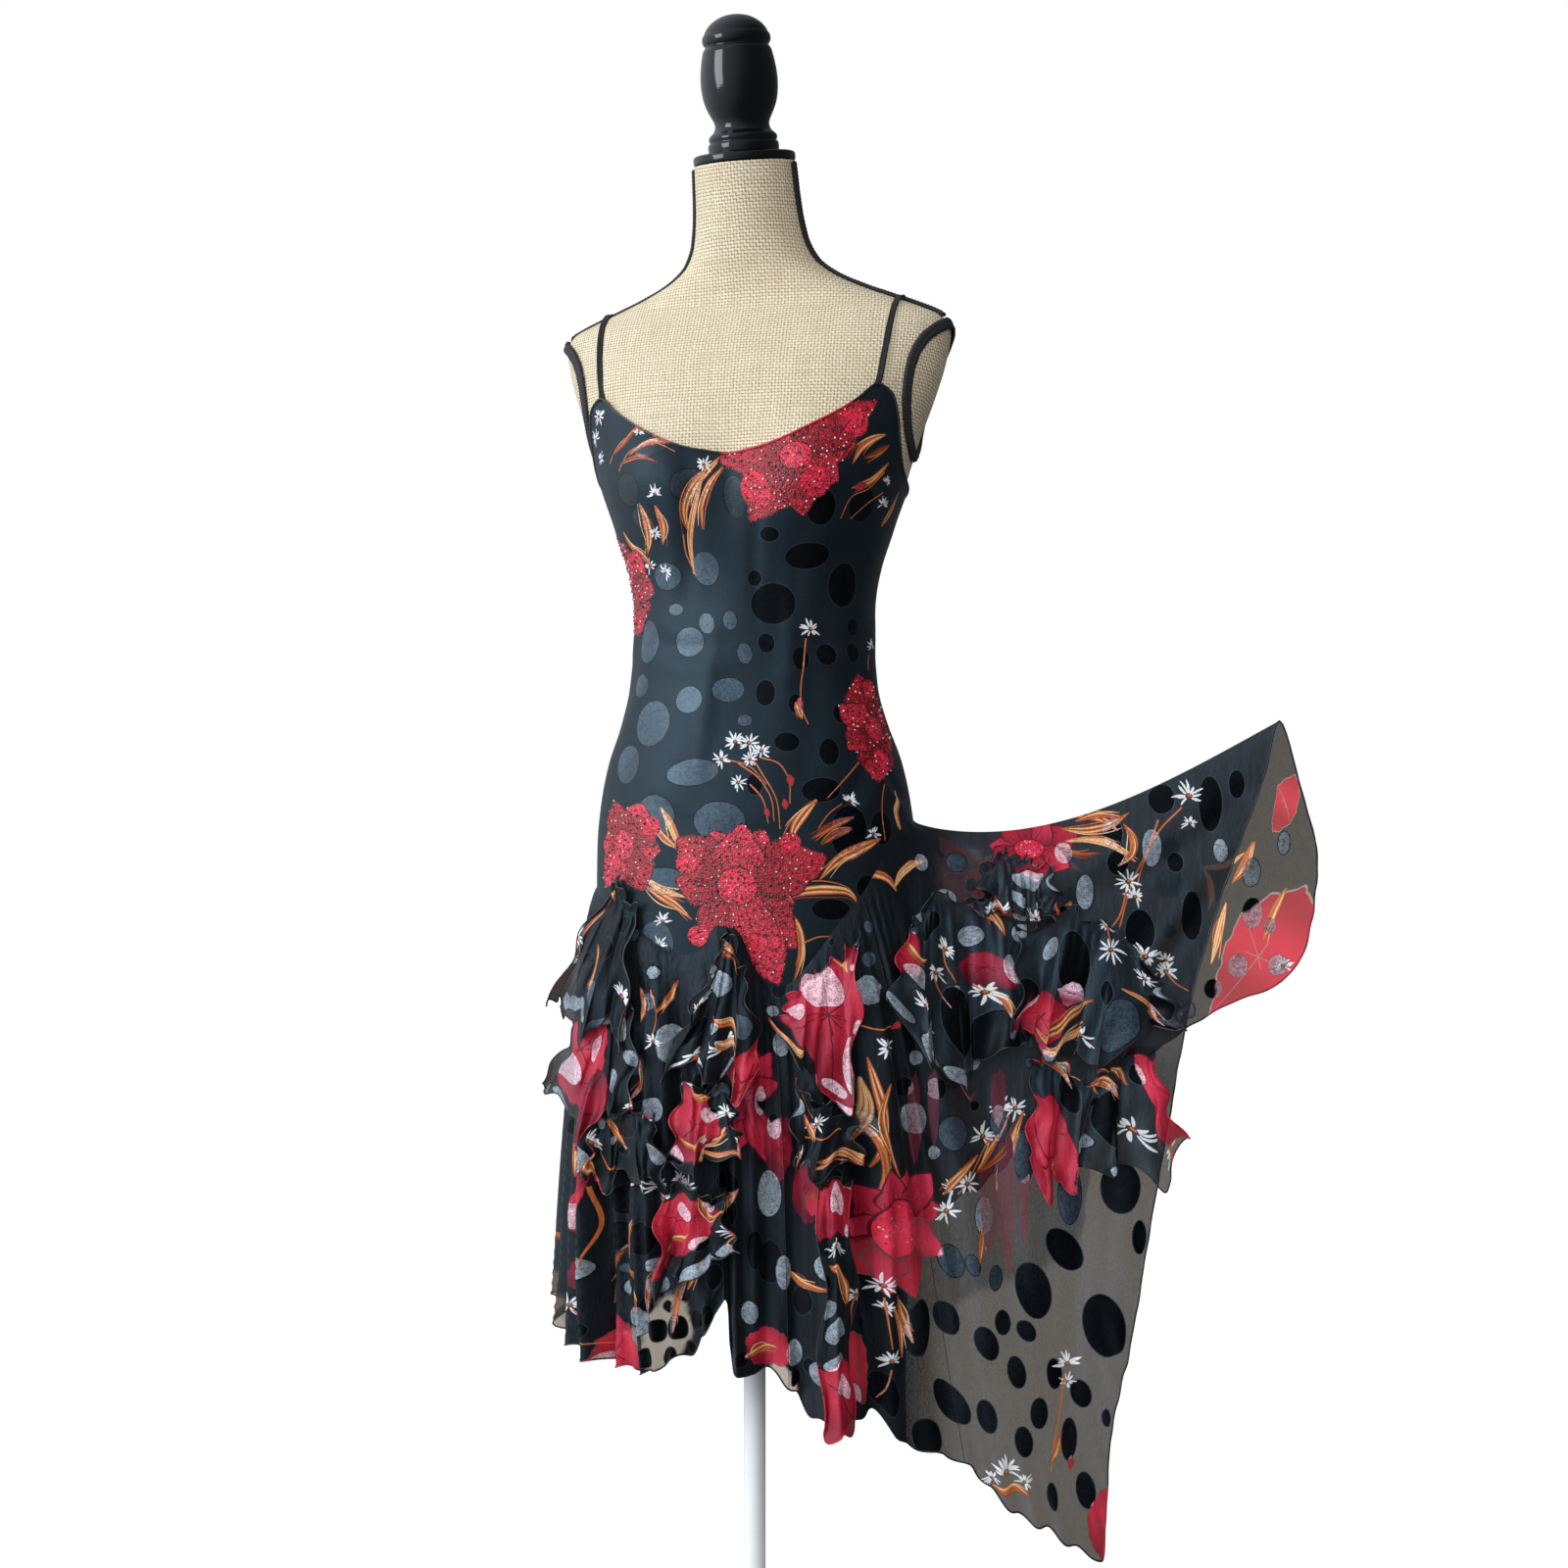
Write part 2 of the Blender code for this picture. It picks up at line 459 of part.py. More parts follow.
# The neck's disc and the turned finial, on the neck's own slope
lean = math.radians(17.0)
up = np.array([0.0, -math.sin(lean), math.cos(lean)])
neck_top = np.array([0.0, -0.0390, FORM_NECK])
turned_solid("form_neck_disc", [(0.0478, 0.0004), (0.0492, 0.0018), (0.0492, 0.0072), (0.0478, 0.0086)], neck_top, up, FINIAL, 48)
FINIAL_ROWS = [
    (0.0330, 0.0090), (0.0338, 0.0120), (0.0338, 0.0180), (0.0318, 0.0200), (0.0330, 0.0230),
    (0.0318, 0.0265), (0.0270, 0.0310), (0.0262, 0.0350), (0.0280, 0.0400), (0.0325, 0.0490),
    (0.0358, 0.0600), (0.0370, 0.0720), (0.0364, 0.0830), (0.0345, 0.0940), (0.0322, 0.1020),
    (0.0300, 0.1050), (0.0318, 0.1072), (0.0326, 0.1110), (0.0318, 0.1150), (0.0295, 0.1190),
    (0.0255, 0.1235), (0.0205, 0.1275), (0.0140, 0.1305), (0.0070, 0.1322), (0.0015, 0.1328),
]
turned_solid("form_finial", FINIAL_ROWS, neck_top, up, FINIAL, 40)

# The stand: a pole up into the air under the torso and a flat round base
turned_solid("stand_base", [(0.1370, 0.0), (FLOOR_BASE_R, 0.003), (FLOOR_BASE_R, 0.013), (0.1360, FLOOR_BASE_H)], (0, 0, 0), (0, 0, 1), STAND, 64)
turned_solid("stand_pole", [(0.0200, FLOOR_BASE_H + 0.0005), (0.0200, 0.045), (POLE_R, 0.050), (POLE_R, FORM_FOOT - 0.0105)], (0, 0, 0), (0, 0, 1), STAND, 24)


def flat_strip(name, path, across, normal, wide, thick, mat):
    """A flat band along a path, its width across and its thickness along the normal."""
    across = across / np.linalg.norm(across, axis=-1, keepdims=True)
    p = np.stack([path - across * wide / 2, path + across * wide / 2], axis=1)
    n = np.repeat((normal / np.linalg.norm(normal, axis=-1, keepdims=True))[:, None], 2, axis=1)
    return sheet_solid(name, p, mat, thick, n)


# Braid down each side of the neck and along the shoulder, in two pieces
for side, deg in (("right", 90.0), ("left", -90.0)):
    z = np.linspace(FORM_NECK - 0.004, 1.3535, 30)
    d = np.full_like(z, deg)
    path = skin(d, z, np.full_like(z, 0.0016))
    normal = path - skin(d, z, np.full_like(z, -0.002))
    across = np.tile([0.0, 1.0, 0.0], (len(z), 1))
    flat_strip("braid_shoulder_" + side, path, across, normal, 0.0090, 0.0014, BRAID)


def side_point(sign, y, z, out):
    """On the form's side: the skin point with this y at this section height."""
    col = smooth_table(TORSO_A[:, 0], TORSO_A[:, 1:], z)
    half, front, back, mid, square = (col[..., k] for k in range(5))
    depth = np.where(y < mid, mid - front, back - mid)
    c = -np.sign(y - mid) * np.clip(np.abs(y - mid) / depth, 0, 1) ** (square / 2)
    deg = np.degrees(np.arccos(np.clip(c, -1, 1))) * sign
    return skin(deg, z, out)


ARMHOLE = dict(y=0.004, z=1.281, half_y=0.052, half_z=0.062, wide=0.011)
for side, sign in (("right", 1.0), ("left", -1.0)):
    a = np.radians(np.linspace(14, 346, 44))
    y = ARMHOLE["y"] + ARMHOLE["half_y"] * np.sin(a)
    z = ARMHOLE["z"] + ARMHOLE["half_z"] * np.cos(a)
    path = side_point(sign, y, z, np.full_like(a, 0.0016))
    inner = side_point(sign, y, z, np.full_like(a, -0.002))
    along = np.gradient(path, axis=0)
    normal = path - inner
    flat_strip("braid_armhole_" + side, path, np.cross(normal, along), normal, ARMHOLE["wide"], 0.0014, BRAID)

# The dress body: a front and a back, side seams at 90 and -90
for name, lo, hi in (("dress_front", -90.0, 90.0), ("dress_back", 90.0, 270.0)):
    d = np.unique(np.concatenate([np.linspace(a, b, k).round(6) for _, a, b, k, _ in PANELS if lo <= a < hi]))
    v = np.linspace(0, 1, 12)
    D, V = np.meshgrid(d, v)
    sheet_solid(name, close_edges(body_cloth(D, V), 0.0006), CLOTH)


def inside_form(p):
    col = smooth_table(TORSO_A[:, 0], TORSO_A[:, 1:], p[2])
    half, front, back, mid, square = col[:5]
    depth = (mid - front) if p[1] < mid else (back - mid)
    bust = BUST["rise"] * math.exp(
        -((abs(p[0]) - BUST["x"]) ** 2) / (2 * BUST["wide"] ** 2) - (p[2] - BUST["z"]) ** 2 / (2 * BUST["tall"] ** 2)
    )
    depth += bust if p[1] < mid else 0.0
    return (abs(p[0]) / half) ** square + (abs(p[1] - mid) / depth) ** square < 1


# Straps: from the front's top edge over the shoulder to the back's, drawn tight
for side, sign in (("right", 1.0), ("left", -1.0)):
    start = body_cloth(FRONT_STRAP * sign, -0.002, 0.0)
    end = body_cloth(BACK_STRAP * sign, -0.004, 0.0)
    hub = np.array([0.0, 0.004, 1.250])
    a0 = math.atan2(start[2] - hub[2], -(start[1] - hub[1]))
    a1 = math.atan2(end[2] - hub[2], -(end[1] - hub[1]))
    if a1 < a0:
        a1 += 2 * math.pi
    path, normals = [], []
    crest = 0.149 * sign
    for a in np.linspace(a0 + 0.03, a1 - 0.03, 34):
        f = (a - a0) / (a1 - a0)
        if f < 0.5:
            x = start[0] + (crest - start[0]) * math.sin(math.pi * f)
        else:
            x = end[0] + (crest - end[0]) * math.sin(math.pi * (1 - f))
        lo, hi = 0.0, 0.25
        for _ in range(40):
            r = (lo + hi) / 2
            q = (x, hub[1] - r * math.cos(a), hub[2] + r * math.sin(a))
            if 1.2 < q[2] < 1.40 and inside_form(q):
                lo = r
            else:
                hi = r
        r = lo + STRAP_LIFT + 0.003 * math.sin(math.pi * f)  # higher over the braid
        path.append([x, hub[1] - r * math.cos(a), hub[2] + r * math.sin(a)])
        normals.append([0.0, -math.cos(a), math.sin(a)])
    path, normals = np.array(path), np.array(normals)
    for _ in range(3):
        path[1:-1] = (path[:-2] + 2 * path[1:-1] + path[2:]) / 4
    along = np.gradient(path, axis=0)
    across = np.cross(normals, along)
    normal = np.cross(along, across)
    flat_strip("strap_" + side, path, across, normal, STRAP_WIDE, 0.0016, STRAP)


# Skirt panels
def panel_grid(lo, hi, cols, rows, trim=0.0):
    d = np.linspace(lo, hi, cols)
    t = np.linspace(0, 1, rows)
    D, T = np.meshgrid(d, t)
    return skirt(D, T)


for name, lo, hi, cols, rows in PANELS:
    sheet_solid(name, close_edges(panel_grid(lo, hi, cols, rows), 0.0016, 0.0050 if 90.0 in (lo, hi) else 0.0016), CLOTH)


# ---------------------------------------------------------------- ruffles on the skirt
def depth_map(front=True):
    """How far forward the skirt and hips stand over (u, z), so that ruffles clear them."""
    d = np.linspace(-180, 180, 1441)
    t = np.linspace(0, 1, 241)
    D, T = np.meshgrid(d, t)
    s = turned(skirt(D, T)).reshape(-1, 3)
    D, V = np.meshgrid(np.linspace(-180, 180, 721), np.linspace(0.55, 1, 121))
    b = turned(body_cloth(D, V)).reshape(-1, 3)
    every = np.concatenate([s, b])
    step = 0.004
    us, zs = np.arange(-0.26, 0.62, step), np.arange(0.10, 1.02, step)
    iu = np.clip(((every[:, 0] - us[0]) / step).round().astype(int), 0, len(us) - 1)
    iz = np.clip(((every[:, 2] - zs[0]) / step).round().astype(int), 0, len(zs) - 1)
    w = every[:, 1] if front else -every[:, 1]
    best = np.full((len(zs), len(us)), -1.0)
    np.maximum.at(best, (iz, iu), w)
    for _ in range(30):  # fills outward from the cloth, so that a ruffle may overhang its edge
        padded = np.pad(best, 1, constant_values=-1.0)
        near = np.stack([padded[a : a + best.shape[0], b : b + best.shape[1]] for a in range(3) for b in range(3)])
        known = near > -0.9
        mean = (near * known).sum(axis=0) / np.maximum(known.sum(axis=0), 1)
        best = np.where(best > -0.9, best, np.where(known.any(axis=0), mean, -1.0))
    for _ in range(2):  # widens the crests
        padded = np.pad(best, 1, mode="edge")
        best = np.stack([padded[a : a + best.shape[0], b : b + best.shape[1]] for a in range(3) for b in range(3)]).max(axis=0)
    for _ in range(2):
        padded = np.pad(best, 1, mode="edge")
        best = np.stack([padded[a : a + best.shape[0], b : b + best.shape[1]] for a in range(3) for b in range(3)]).mean(axis=0)
    return us, zs, best


def read_map(field, u, z):
    us, zs, best = field
    fu = np.clip((u - us[0]) / (us[1] - us[0]), 0, len(us) - 1.001)
    fz = np.clip((z - zs[0]) / (zs[1] - zs[0]), 0, len(zs) - 1.001)
    i, j = fz.astype(int), fu.astype(int)
    a, b = fz - i, fu - j
    return (
        best[i, j] * (1 - a) * (1 - b) + best[i + 1, j] * a * (1 - b) + best[i, j + 1] * (1 - a) * b + best[i + 1, j + 1] * a * b
    )


def ruffle_grid(field, sign, row, cols, rows):
    """Points of a ruffle: across from its left edge, down from its gathered top."""
    top, low = np.array(row["top"]), np.array(row["low"])
    s, t = np.meshgrid(np.linspace(0, 1, cols), np.linspace(0, 1, rows))
    a = smooth_table(np.linspace(0, 1, len(top)), top, s)
    b = smooth_table(np.linspace(0, 1, len(low)), low, s)
    uz = a * (1 - t)[..., None] + b * t[..., None]
    wave = 0.5 - 0.5 * np.cos(2 * math.pi * (row["folds"] * s + row["start"]))
    flare = row["lift"][0] + (row["lift"][1] - row["lift"][0]) * t**1.3
    w = read_map(field, uz[..., 0], uz[..., 1]) + flare + row["deep"] * t * (wave - 0.5)
    return row_frame(uz[..., 0], sign * w, uz[..., 1])


FRONT_MAP, BACK_MAP = depth_map(True), depth_map(False)
for name, row in RUFFLES.items():
    sheet_solid(name, ruffle_grid(FRONT_MAP, 1.0, row, row["cols"], row["rows"]), RUFFLE)
for name, row in BACK_RUFFLES.items():
    sheet_solid(name, ruffle_grid(BACK_MAP, -1.0, row, row["cols"], row["rows"]), RUFFLE)
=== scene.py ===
"""The looks of the slip dress and of the plain dress form that it is worn on.

The cloth is a thin shell on the form that its CAD solids have. Its printed and woven
figures are cut into the mesh as faces of their own, so each has a crisp edge, and they
are placed by where they are seen in the photograph: (x, y) in its 1600 x 1600 pixels.
"""

import json
import math
import random

import bpy
import numpy as np
from mathutils import Matrix, Vector
from mathutils.bvhtree import BVHTree
from mathutils.geometry import delaunay_2d_cdt

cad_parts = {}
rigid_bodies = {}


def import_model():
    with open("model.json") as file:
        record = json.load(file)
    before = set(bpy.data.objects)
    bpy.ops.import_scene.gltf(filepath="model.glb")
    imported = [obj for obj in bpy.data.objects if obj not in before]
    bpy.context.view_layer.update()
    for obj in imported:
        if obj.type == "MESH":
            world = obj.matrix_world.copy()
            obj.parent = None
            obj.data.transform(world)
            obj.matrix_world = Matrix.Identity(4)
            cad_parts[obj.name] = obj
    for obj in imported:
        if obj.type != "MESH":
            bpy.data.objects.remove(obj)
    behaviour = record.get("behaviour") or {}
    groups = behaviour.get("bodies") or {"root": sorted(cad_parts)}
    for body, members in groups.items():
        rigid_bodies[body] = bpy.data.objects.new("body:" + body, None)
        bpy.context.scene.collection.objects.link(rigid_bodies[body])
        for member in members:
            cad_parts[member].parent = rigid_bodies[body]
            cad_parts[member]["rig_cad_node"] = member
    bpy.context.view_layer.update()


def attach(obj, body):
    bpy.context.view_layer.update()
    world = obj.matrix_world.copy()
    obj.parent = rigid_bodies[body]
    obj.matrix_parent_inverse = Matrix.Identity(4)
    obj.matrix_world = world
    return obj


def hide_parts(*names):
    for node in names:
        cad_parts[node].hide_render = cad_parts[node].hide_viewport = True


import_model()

for old in list(bpy.data.objects):
    if old.type in ("MESH", "CAMERA", "LIGHT") and "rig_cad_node" not in old:
        bpy.data.objects.remove(old, do_unlink=True)

# ---------------------------------------------------------------- named sizes
WALL = 0.0020  # cloth wall
EASE = 0.0042  # from the form to the middle of the body cloth's wall
SEAM = 0.0030  # gap left below the body, where the skirt is sewn on at an angle
TURN = math.radians(13.0)
FLOOR_BASE_R, FLOOR_BASE_H = 0.140, 0.018
POLE_R = 0.011
FORM_FOOT = 0.700  # underside of the torso
FORM_NECK = 1.499  # top of the neck, at its middle

# Torso sections: height, half width, front, back, middle, squareness, tilt in degrees
TORSO = [
    # z      half    front    back    mid     square tilt
    (0.700, 0.1480, -0.0940, 0.1020, 0.0060, 2.20, 0.0),
    (0.730, 0.1530, -0.0980, 0.1080, 0.0060, 2.20, 0.0),
    (0.790, 0.1560, -0.1010, 0.1130, 0.0060, 2.20, 0.0),
    (0.842, 0.1545, -0.1030, 0.1100, 0.0050, 2.20, 0.0),
    (0.881, 0.1500, -0.1030, 0.1020, 0.0030, 2.20, 0.0),
    (0.919, 0.1420, -0.1000, 0.0920, 0.0000, 2.20, 0.0),
    (0.958, 0.1280, -0.0930, 0.0820, -0.0020, 2.20, 0.0),
    (0.997, 0.1165, -0.0850, 0.0740, -0.0030, 2.15, 0.0),
    (1.030, 0.1120, -0.0810, 0.0720, -0.0030, 2.15, 0.0),
    (1.062, 0.1130, -0.0810, 0.0740, -0.0030, 2.15, 0.0),
    (1.113, 0.1215, -0.0860, 0.0820, -0.0020, 2.20, 0.0),
    (1.152, 0.1330, -0.0910, 0.0890, 0.0000, 2.30, 0.0),
    (1.191, 0.1480, -0.0950, 0.0950, 0.0010, 2.40, 0.0),
    (1.235, 0.1620, -0.0930, 0.0980, 0.0030, 2.50, 0.0),
    (1.280, 0.1790, -0.0860, 0.0960, 0.0050, 2.55, 0.0),
    (1.315, 0.1900, -0.0740, 0.0900, 0.0060, 2.50, 0.0),
    (1.338, 0.1940, -0.0620, 0.0800, 0.0050, 2.40, 0.0),
    (1.350, 0.1880, -0.0550, 0.0720, 0.0040, 2.30, 0.0),
    (1.359, 0.1710, -0.0500, 0.0650, 0.0030, 2.20, 0.0),
    (1.370, 0.1430, -0.0480, 0.0590, 0.0010, 2.10, 0.0),
    (1.382, 0.1120, -0.0500, 0.0530, -0.0010, 2.00, 0.0),
    (1.395, 0.0850, -0.0530, 0.0460, -0.0040, 2.00, 2.0),
    (1.410, 0.0660, -0.0580, 0.0390, -0.0090, 2.00, 6.0),
    (1.430, 0.0560, -0.0640, 0.0320, -0.0160, 2.00, 11.0),
    (1.460, 0.0510, -0.0740, 0.0220, -0.0260, 2.00, 15.0),
    (1.499, 0.0485, -0.0870, 0.0090, -0.0390, 2.00, 17.0),
]
BUST = dict(x=0.078, z=1.188, rise=0.020, wide=0.040, tall=0.038)

# Top edge of the dress body: degrees round from the front, height
NECKLINE = [
    (0.0, 1.2066), (12.4, 1.2140), (27.9, 1.2360), (38.0, 1.2560), (44.5, 1.2720),
    (52.0, 1.2660), (60.0, 1.2480), (69.0, 1.2200), (78.0, 1.2010), (90.0, 1.1920),
    (108.0, 1.1860), (122.0, 1.1900), (134.0, 1.2050), (148.0, 1.1900), (180.0, 1.1760),
]
FRONT_STRAP, BACK_STRAP = 44.5, 134.0  # where each strap is sewn on, in the same degrees
STRAP_WIDE, STRAP_LIFT = 0.0070, 0.0046

# Skirt lines from the hip seam to the hem, once round from the middle of the back over
# the -X side, the front and the +X side: degrees round at the seam, seam height, hem
# place, how far the line bellies out, how soon it leaves the form's slope, fold depth
SKIRT = [
    # deg    seam z    u        w        z      belly  bend  fold
    (-180.0, 0.7350,  0.0000, -0.1450, 0.4000, 0.012, 0.55, 0.016),
    (-165.0, 0.7480, -0.0480, -0.1440, 0.4010, 0.012, 0.55, 0.017),
    (-150.0, 0.7650, -0.0950, -0.1320, 0.4000, 0.012, 0.55, 0.017),
    (-135.0, 0.7800, -0.1380, -0.1120, 0.3960, 0.010, 0.55, 0.016),
    (-118.0, 0.7920, -0.1720, -0.0820, 0.3900, 0.008, 0.55, 0.013),
    (-104.0, 0.7990, -0.1900, -0.0550, 0.3820, 0.006, 0.55, 0.010),
    (-90.0, 0.8010, -0.1940, -0.0200, 0.3780, 0.004, 0.55, 0.008),
    (-76.0, 0.7960, -0.1820, 0.0280, 0.3660, 0.006, 0.60, 0.009),
    (-60.0, 0.7880, -0.1480, 0.0640, 0.3560, 0.008, 0.62, 0.011),
    (-44.0, 0.7740, -0.1120, 0.0880, 0.3500, 0.008, 0.62, 0.012),
    (-28.0, 0.7540, -0.0790, 0.1040, 0.3640, 0.008, 0.62, 0.013),
    (-16.0, 0.7400, -0.0520, 0.1140, 0.3800, 0.008, 0.62, 0.012),
    (-9.0, 0.7440, -0.0350, 0.1140, 0.4120, 0.008, 0.62, 0.008),
    (-7.0, 0.7500, -0.0240, 0.1140, 0.4300, 0.008, 0.62, 0.006),
    (-3.0, 0.7680, -0.0190, 0.1180, 0.3680, 0.010, 0.62, 0.010),
    (2.0, 0.7660, -0.0080, 0.1200, 0.3540, 0.010, 0.62, 0.012),
    (8.0, 0.7300, 0.0140, 0.1240, 0.3640, 0.010, 0.62, 0.014),
    (13.0, 0.7120, 0.0340, 0.1280, 0.3480, 0.010, 0.62, 0.014),
    (19.0, 0.7150, 0.0560, 0.1300, 0.3240, 0.010, 0.62, 0.014),
    (26.0, 0.7330, 0.0790, 0.1280, 0.3200, 0.010, 0.64, 0.014),
    (33.0, 0.7560, 0.1060, 0.1260, 0.3280, 0.009, 0.68, 0.013),
    (40.0, 0.7780, 0.1480, 0.1240, 0.2920, 0.008, 0.74, 0.011),
    (47.0, 0.7960, 0.1960, 0.1210, 0.2780, 0.006, 0.82, 0.010),
    (54.0, 0.8160, 0.2260, 0.1180, 0.2440, 0.004, 0.90, 0.009),
    (60.0, 0.8320, 0.2760, 0.1120, 0.2120, 0.003, 0.95, 0.008),
    (65.0, 0.8420, 0.3240, 0.1040, 0.1800, 0.003, 1.00, 0.007),
    (69.0, 0.8500, 0.3330, 0.0980, 0.2900, 0.003, 1.00, 0.007),
    (73.0, 0.8570, 0.3530, 0.0920, 0.3790, 0.003, 1.00, 0.007),
    (77.0, 0.8590, 0.3740, 0.0860, 0.4960, 0.003, 1.00, 0.006),
    (80.0, 0.8620, 0.3930, 0.0800, 0.5950, 0.002, 1.00, 0.006),
    (83.0, 0.8640, 0.4140, 0.0720, 0.6960, 0.002, 1.00, 0.005),
    (86.0, 0.8640, 0.4530, 0.0620, 0.8160, 0.001, 1.00, 0.004),
    (88.5, 0.8640, 0.4890, 0.0520, 0.9070, 0.000, 1.00, 0.002),
    (90.0, 0.8640, 0.5080, 0.0380, 0.9610, 0.000, 1.00, 0.000),
    (91.5, 0.8640, 0.5320, 0.0220, 0.9020, 0.000, 1.00, 0.002),
    (94.0, 0.8640, 0.5540, 0.0100, 0.8200, 0.001, 1.00, 0.004),
    (97.0, 0.8635, 0.5480, 0.0000, 0.7480, 0.002, 1.00, 0.006),
    (101.0, 0.8620, 0.5250, -0.0080, 0.7060, 0.003, 1.00, 0.008),
    (106.0, 0.8580, 0.4650, -0.0220, 0.6760, 0.004, 1.00, 0.009),
    (112.0, 0.8540, 0.4080, -0.0400, 0.6300, 0.004, 0.95, 0.010),
    (120.0, 0.8360, 0.3260, -0.0700, 0.5600, 0.006, 0.90, 0.012),
    (130.0, 0.8080, 0.2440, -0.0980, 0.4860, 0.008, 0.80, 0.014),
    (142.0, 0.7840, 0.1680, -0.1240, 0.4360, 0.010, 0.68, 0.016),
    (155.0, 0.7600, 0.1060, -0.1390, 0.4100, 0.012, 0.58, 0.016),
    (168.0, 0.7420, 0.0500, -0.1450, 0.4020, 0.012, 0.55, 0.016),
    (180.0, 0.7350, 0.0000, -0.1450, 0.4000, 0.012, 0.55, 0.016),
]
# Folds as waves round the skirt: how many degrees round each takes, its share, its start
FOLDS = [(31.0, 0.62, 0.15), (17.3, 0.38, 0.60), (47.0, 0.30, 0.35)]
FOLD_ROUND = 0.012  # half of how far the drawn-out top fold's two leaves stand apart
SAG = 0.040  # how far the drawn-out top fold hangs below a straight line

# Skirt panels, as cut: name, from and to in degrees round, columns, rows
PANELS = [
    ("skirt_front_left", -90.0, -7.2, 13, 12),
    ("godet_front", -7.2, 13.0, 6, 12),
    ("skirt_front_right", 13.0, 47.0, 8, 12),
    ("skirt_side_front", 47.0, 90.0, 11, 12),
    ("skirt_side_back", 90.0, 130.0, 9, 12),
    ("skirt_back_right", 130.0, 168.0, 8, 11),
    ("godet_back", 168.0, 195.0, 6, 11),
    ("skirt_back_left", 195.0, 270.0, 12, 11),
]

# Ruffles: top and bottom edges as (u, z) pairs from left to right, the lift of each edge
# off the cloth beneath, how many folds it has and how deep they are at the bottom
RUFFLES = {
    "ruffle_left_upper": dict(
        top=[(-0.168, 0.802), (-0.140, 0.800), (-0.112, 0.770)],
        low=[(-0.203, 0.692), (-0.168, 0.672), (-0.128, 0.682)],
        lift=(0.006, 0.020), folds=3.0, deep=0.009, cols=12, rows=6, start=0.1),
    "ruffle_left_lower": dict(
        top=[(-0.176, 0.668), (-0.145, 0.662), (-0.112, 0.672)],
        low=[(-0.211, 0.600), (-0.160, 0.582), (-0.112, 0.596)],
        lift=(0.006, 0.018), folds=3.0, deep=0.008, cols=12, rows=5, start=0.6),
    "ruffle_left_third": dict(
        top=[(-0.150, 0.575), (-0.125, 0.590), (-0.090, 0.585)],
        low=[(-0.160, 0.538), (-0.125, 0.536), (-0.084, 0.548)],
        lift=(0.006, 0.016), folds=2.0, deep=0.006, cols=9, rows=4, start=0.3),
    "ruffle_centre_upper": dict(
        top=[(-0.052, 0.740), (-0.022, 0.760), (0.002, 0.736)],
        low=[(-0.072, 0.650), (-0.035, 0.634), (0.008, 0.655)],
        lift=(0.006, 0.022), folds=2.5, deep=0.008, cols=12, rows=6, start=0.0),
    "ruffle_centre_lower": dict(
        top=[(-0.066, 0.618), (-0.040, 0.618), (-0.016, 0.606)],
        low=[(-0.074, 0.560), (-0.045, 0.552), (-0.012, 0.566)],
        lift=(0.006, 0.018), folds=2.0, deep=0.006, cols=9, rows=4, start=0.4),
    "ruffle_centre_end": dict(
        top=[(-0.084, 0.520), (-0.055, 0.524), (-0.026, 0.516)],
        low=[(-0.092, 0.458), (-0.055, 0.446), (-0.022, 0.466)],
        lift=(0.006, 0.018), folds=1.5, deep=0.006, cols=9, rows=4, start=0.2),
    "ruffle_front_upper": dict(
        top=[(0.034, 0.704), (0.066, 0.724), (0.098, 0.756)],
        low=[(0.024, 0.670), (0.058, 0.636), (0.092, 0.616)],
        lift=(0.006, 0.022), folds=1.5, deep=0.006, cols=10, rows=6, start=0.7),
    "ruffle_front_lower": dict(
        top=[(0.040, 0.618), (0.068, 0.606), (0.094, 0.602)],
        low=[(0.040, 0.560), (0.070, 0.548), (0.096, 0.558)],
        lift=(0.006, 0.018), folds=1.5, deep=0.006, cols=9, rows=4, start=0.1),
    "ruffle_front_tail": dict(
        top=[(0.060, 0.536), (0.074, 0.536), (0.090, 0.536)],
        low=[(0.066, 0.318), (0.078, 0.310), (0.091, 0.322)],
        lift=(0.006, 0.012), folds=1.0, deep=0.004, cols=5, rows=9, start=0.5),
    "ruffle_side_upper_left": dict(
        top=[(0.136, 0.780), (0.185, 0.786), (0.246, 0.774)],
        low=[(0.128, 0.688), (0.192, 0.634), (0.246, 0.672)],
        lift=(0.006, 0.020), folds=2.5, deep=0.008, cols=13, rows=6, start=0.0),
    "ruffle_side_gather": dict(
        top=[(0.216, 0.812), (0.252, 0.826), (0.284, 0.812)],
        low=[(0.214, 0.782), (0.246, 0.780), (0.288, 0.776)],
        lift=(0.005, 0.010), folds=3.0, deep=0.003, cols=12, rows=4, start=0.3),
    "ruffle_side_upper_right": dict(
        top=[(0.256, 0.766), (0.320, 0.768), (0.390, 0.744)],
        low=[(0.250, 0.680), (0.310, 0.642), (0.394, 0.676)],
        lift=(0.006, 0.020), folds=2.5, deep=0.008, cols=14, rows=6, start=0.5),
    "ruffle_side_lower": dict(
        top=[(0.262, 0.632), (0.320, 0.628), (0.378, 0.648)],
        low=[(0.258, 0.556), (0.312, 0.540), (0.384, 0.556)],
        lift=(0.006, 0.018), folds=2.5, deep=0.007, cols=13, rows=5, start=0.2),
}
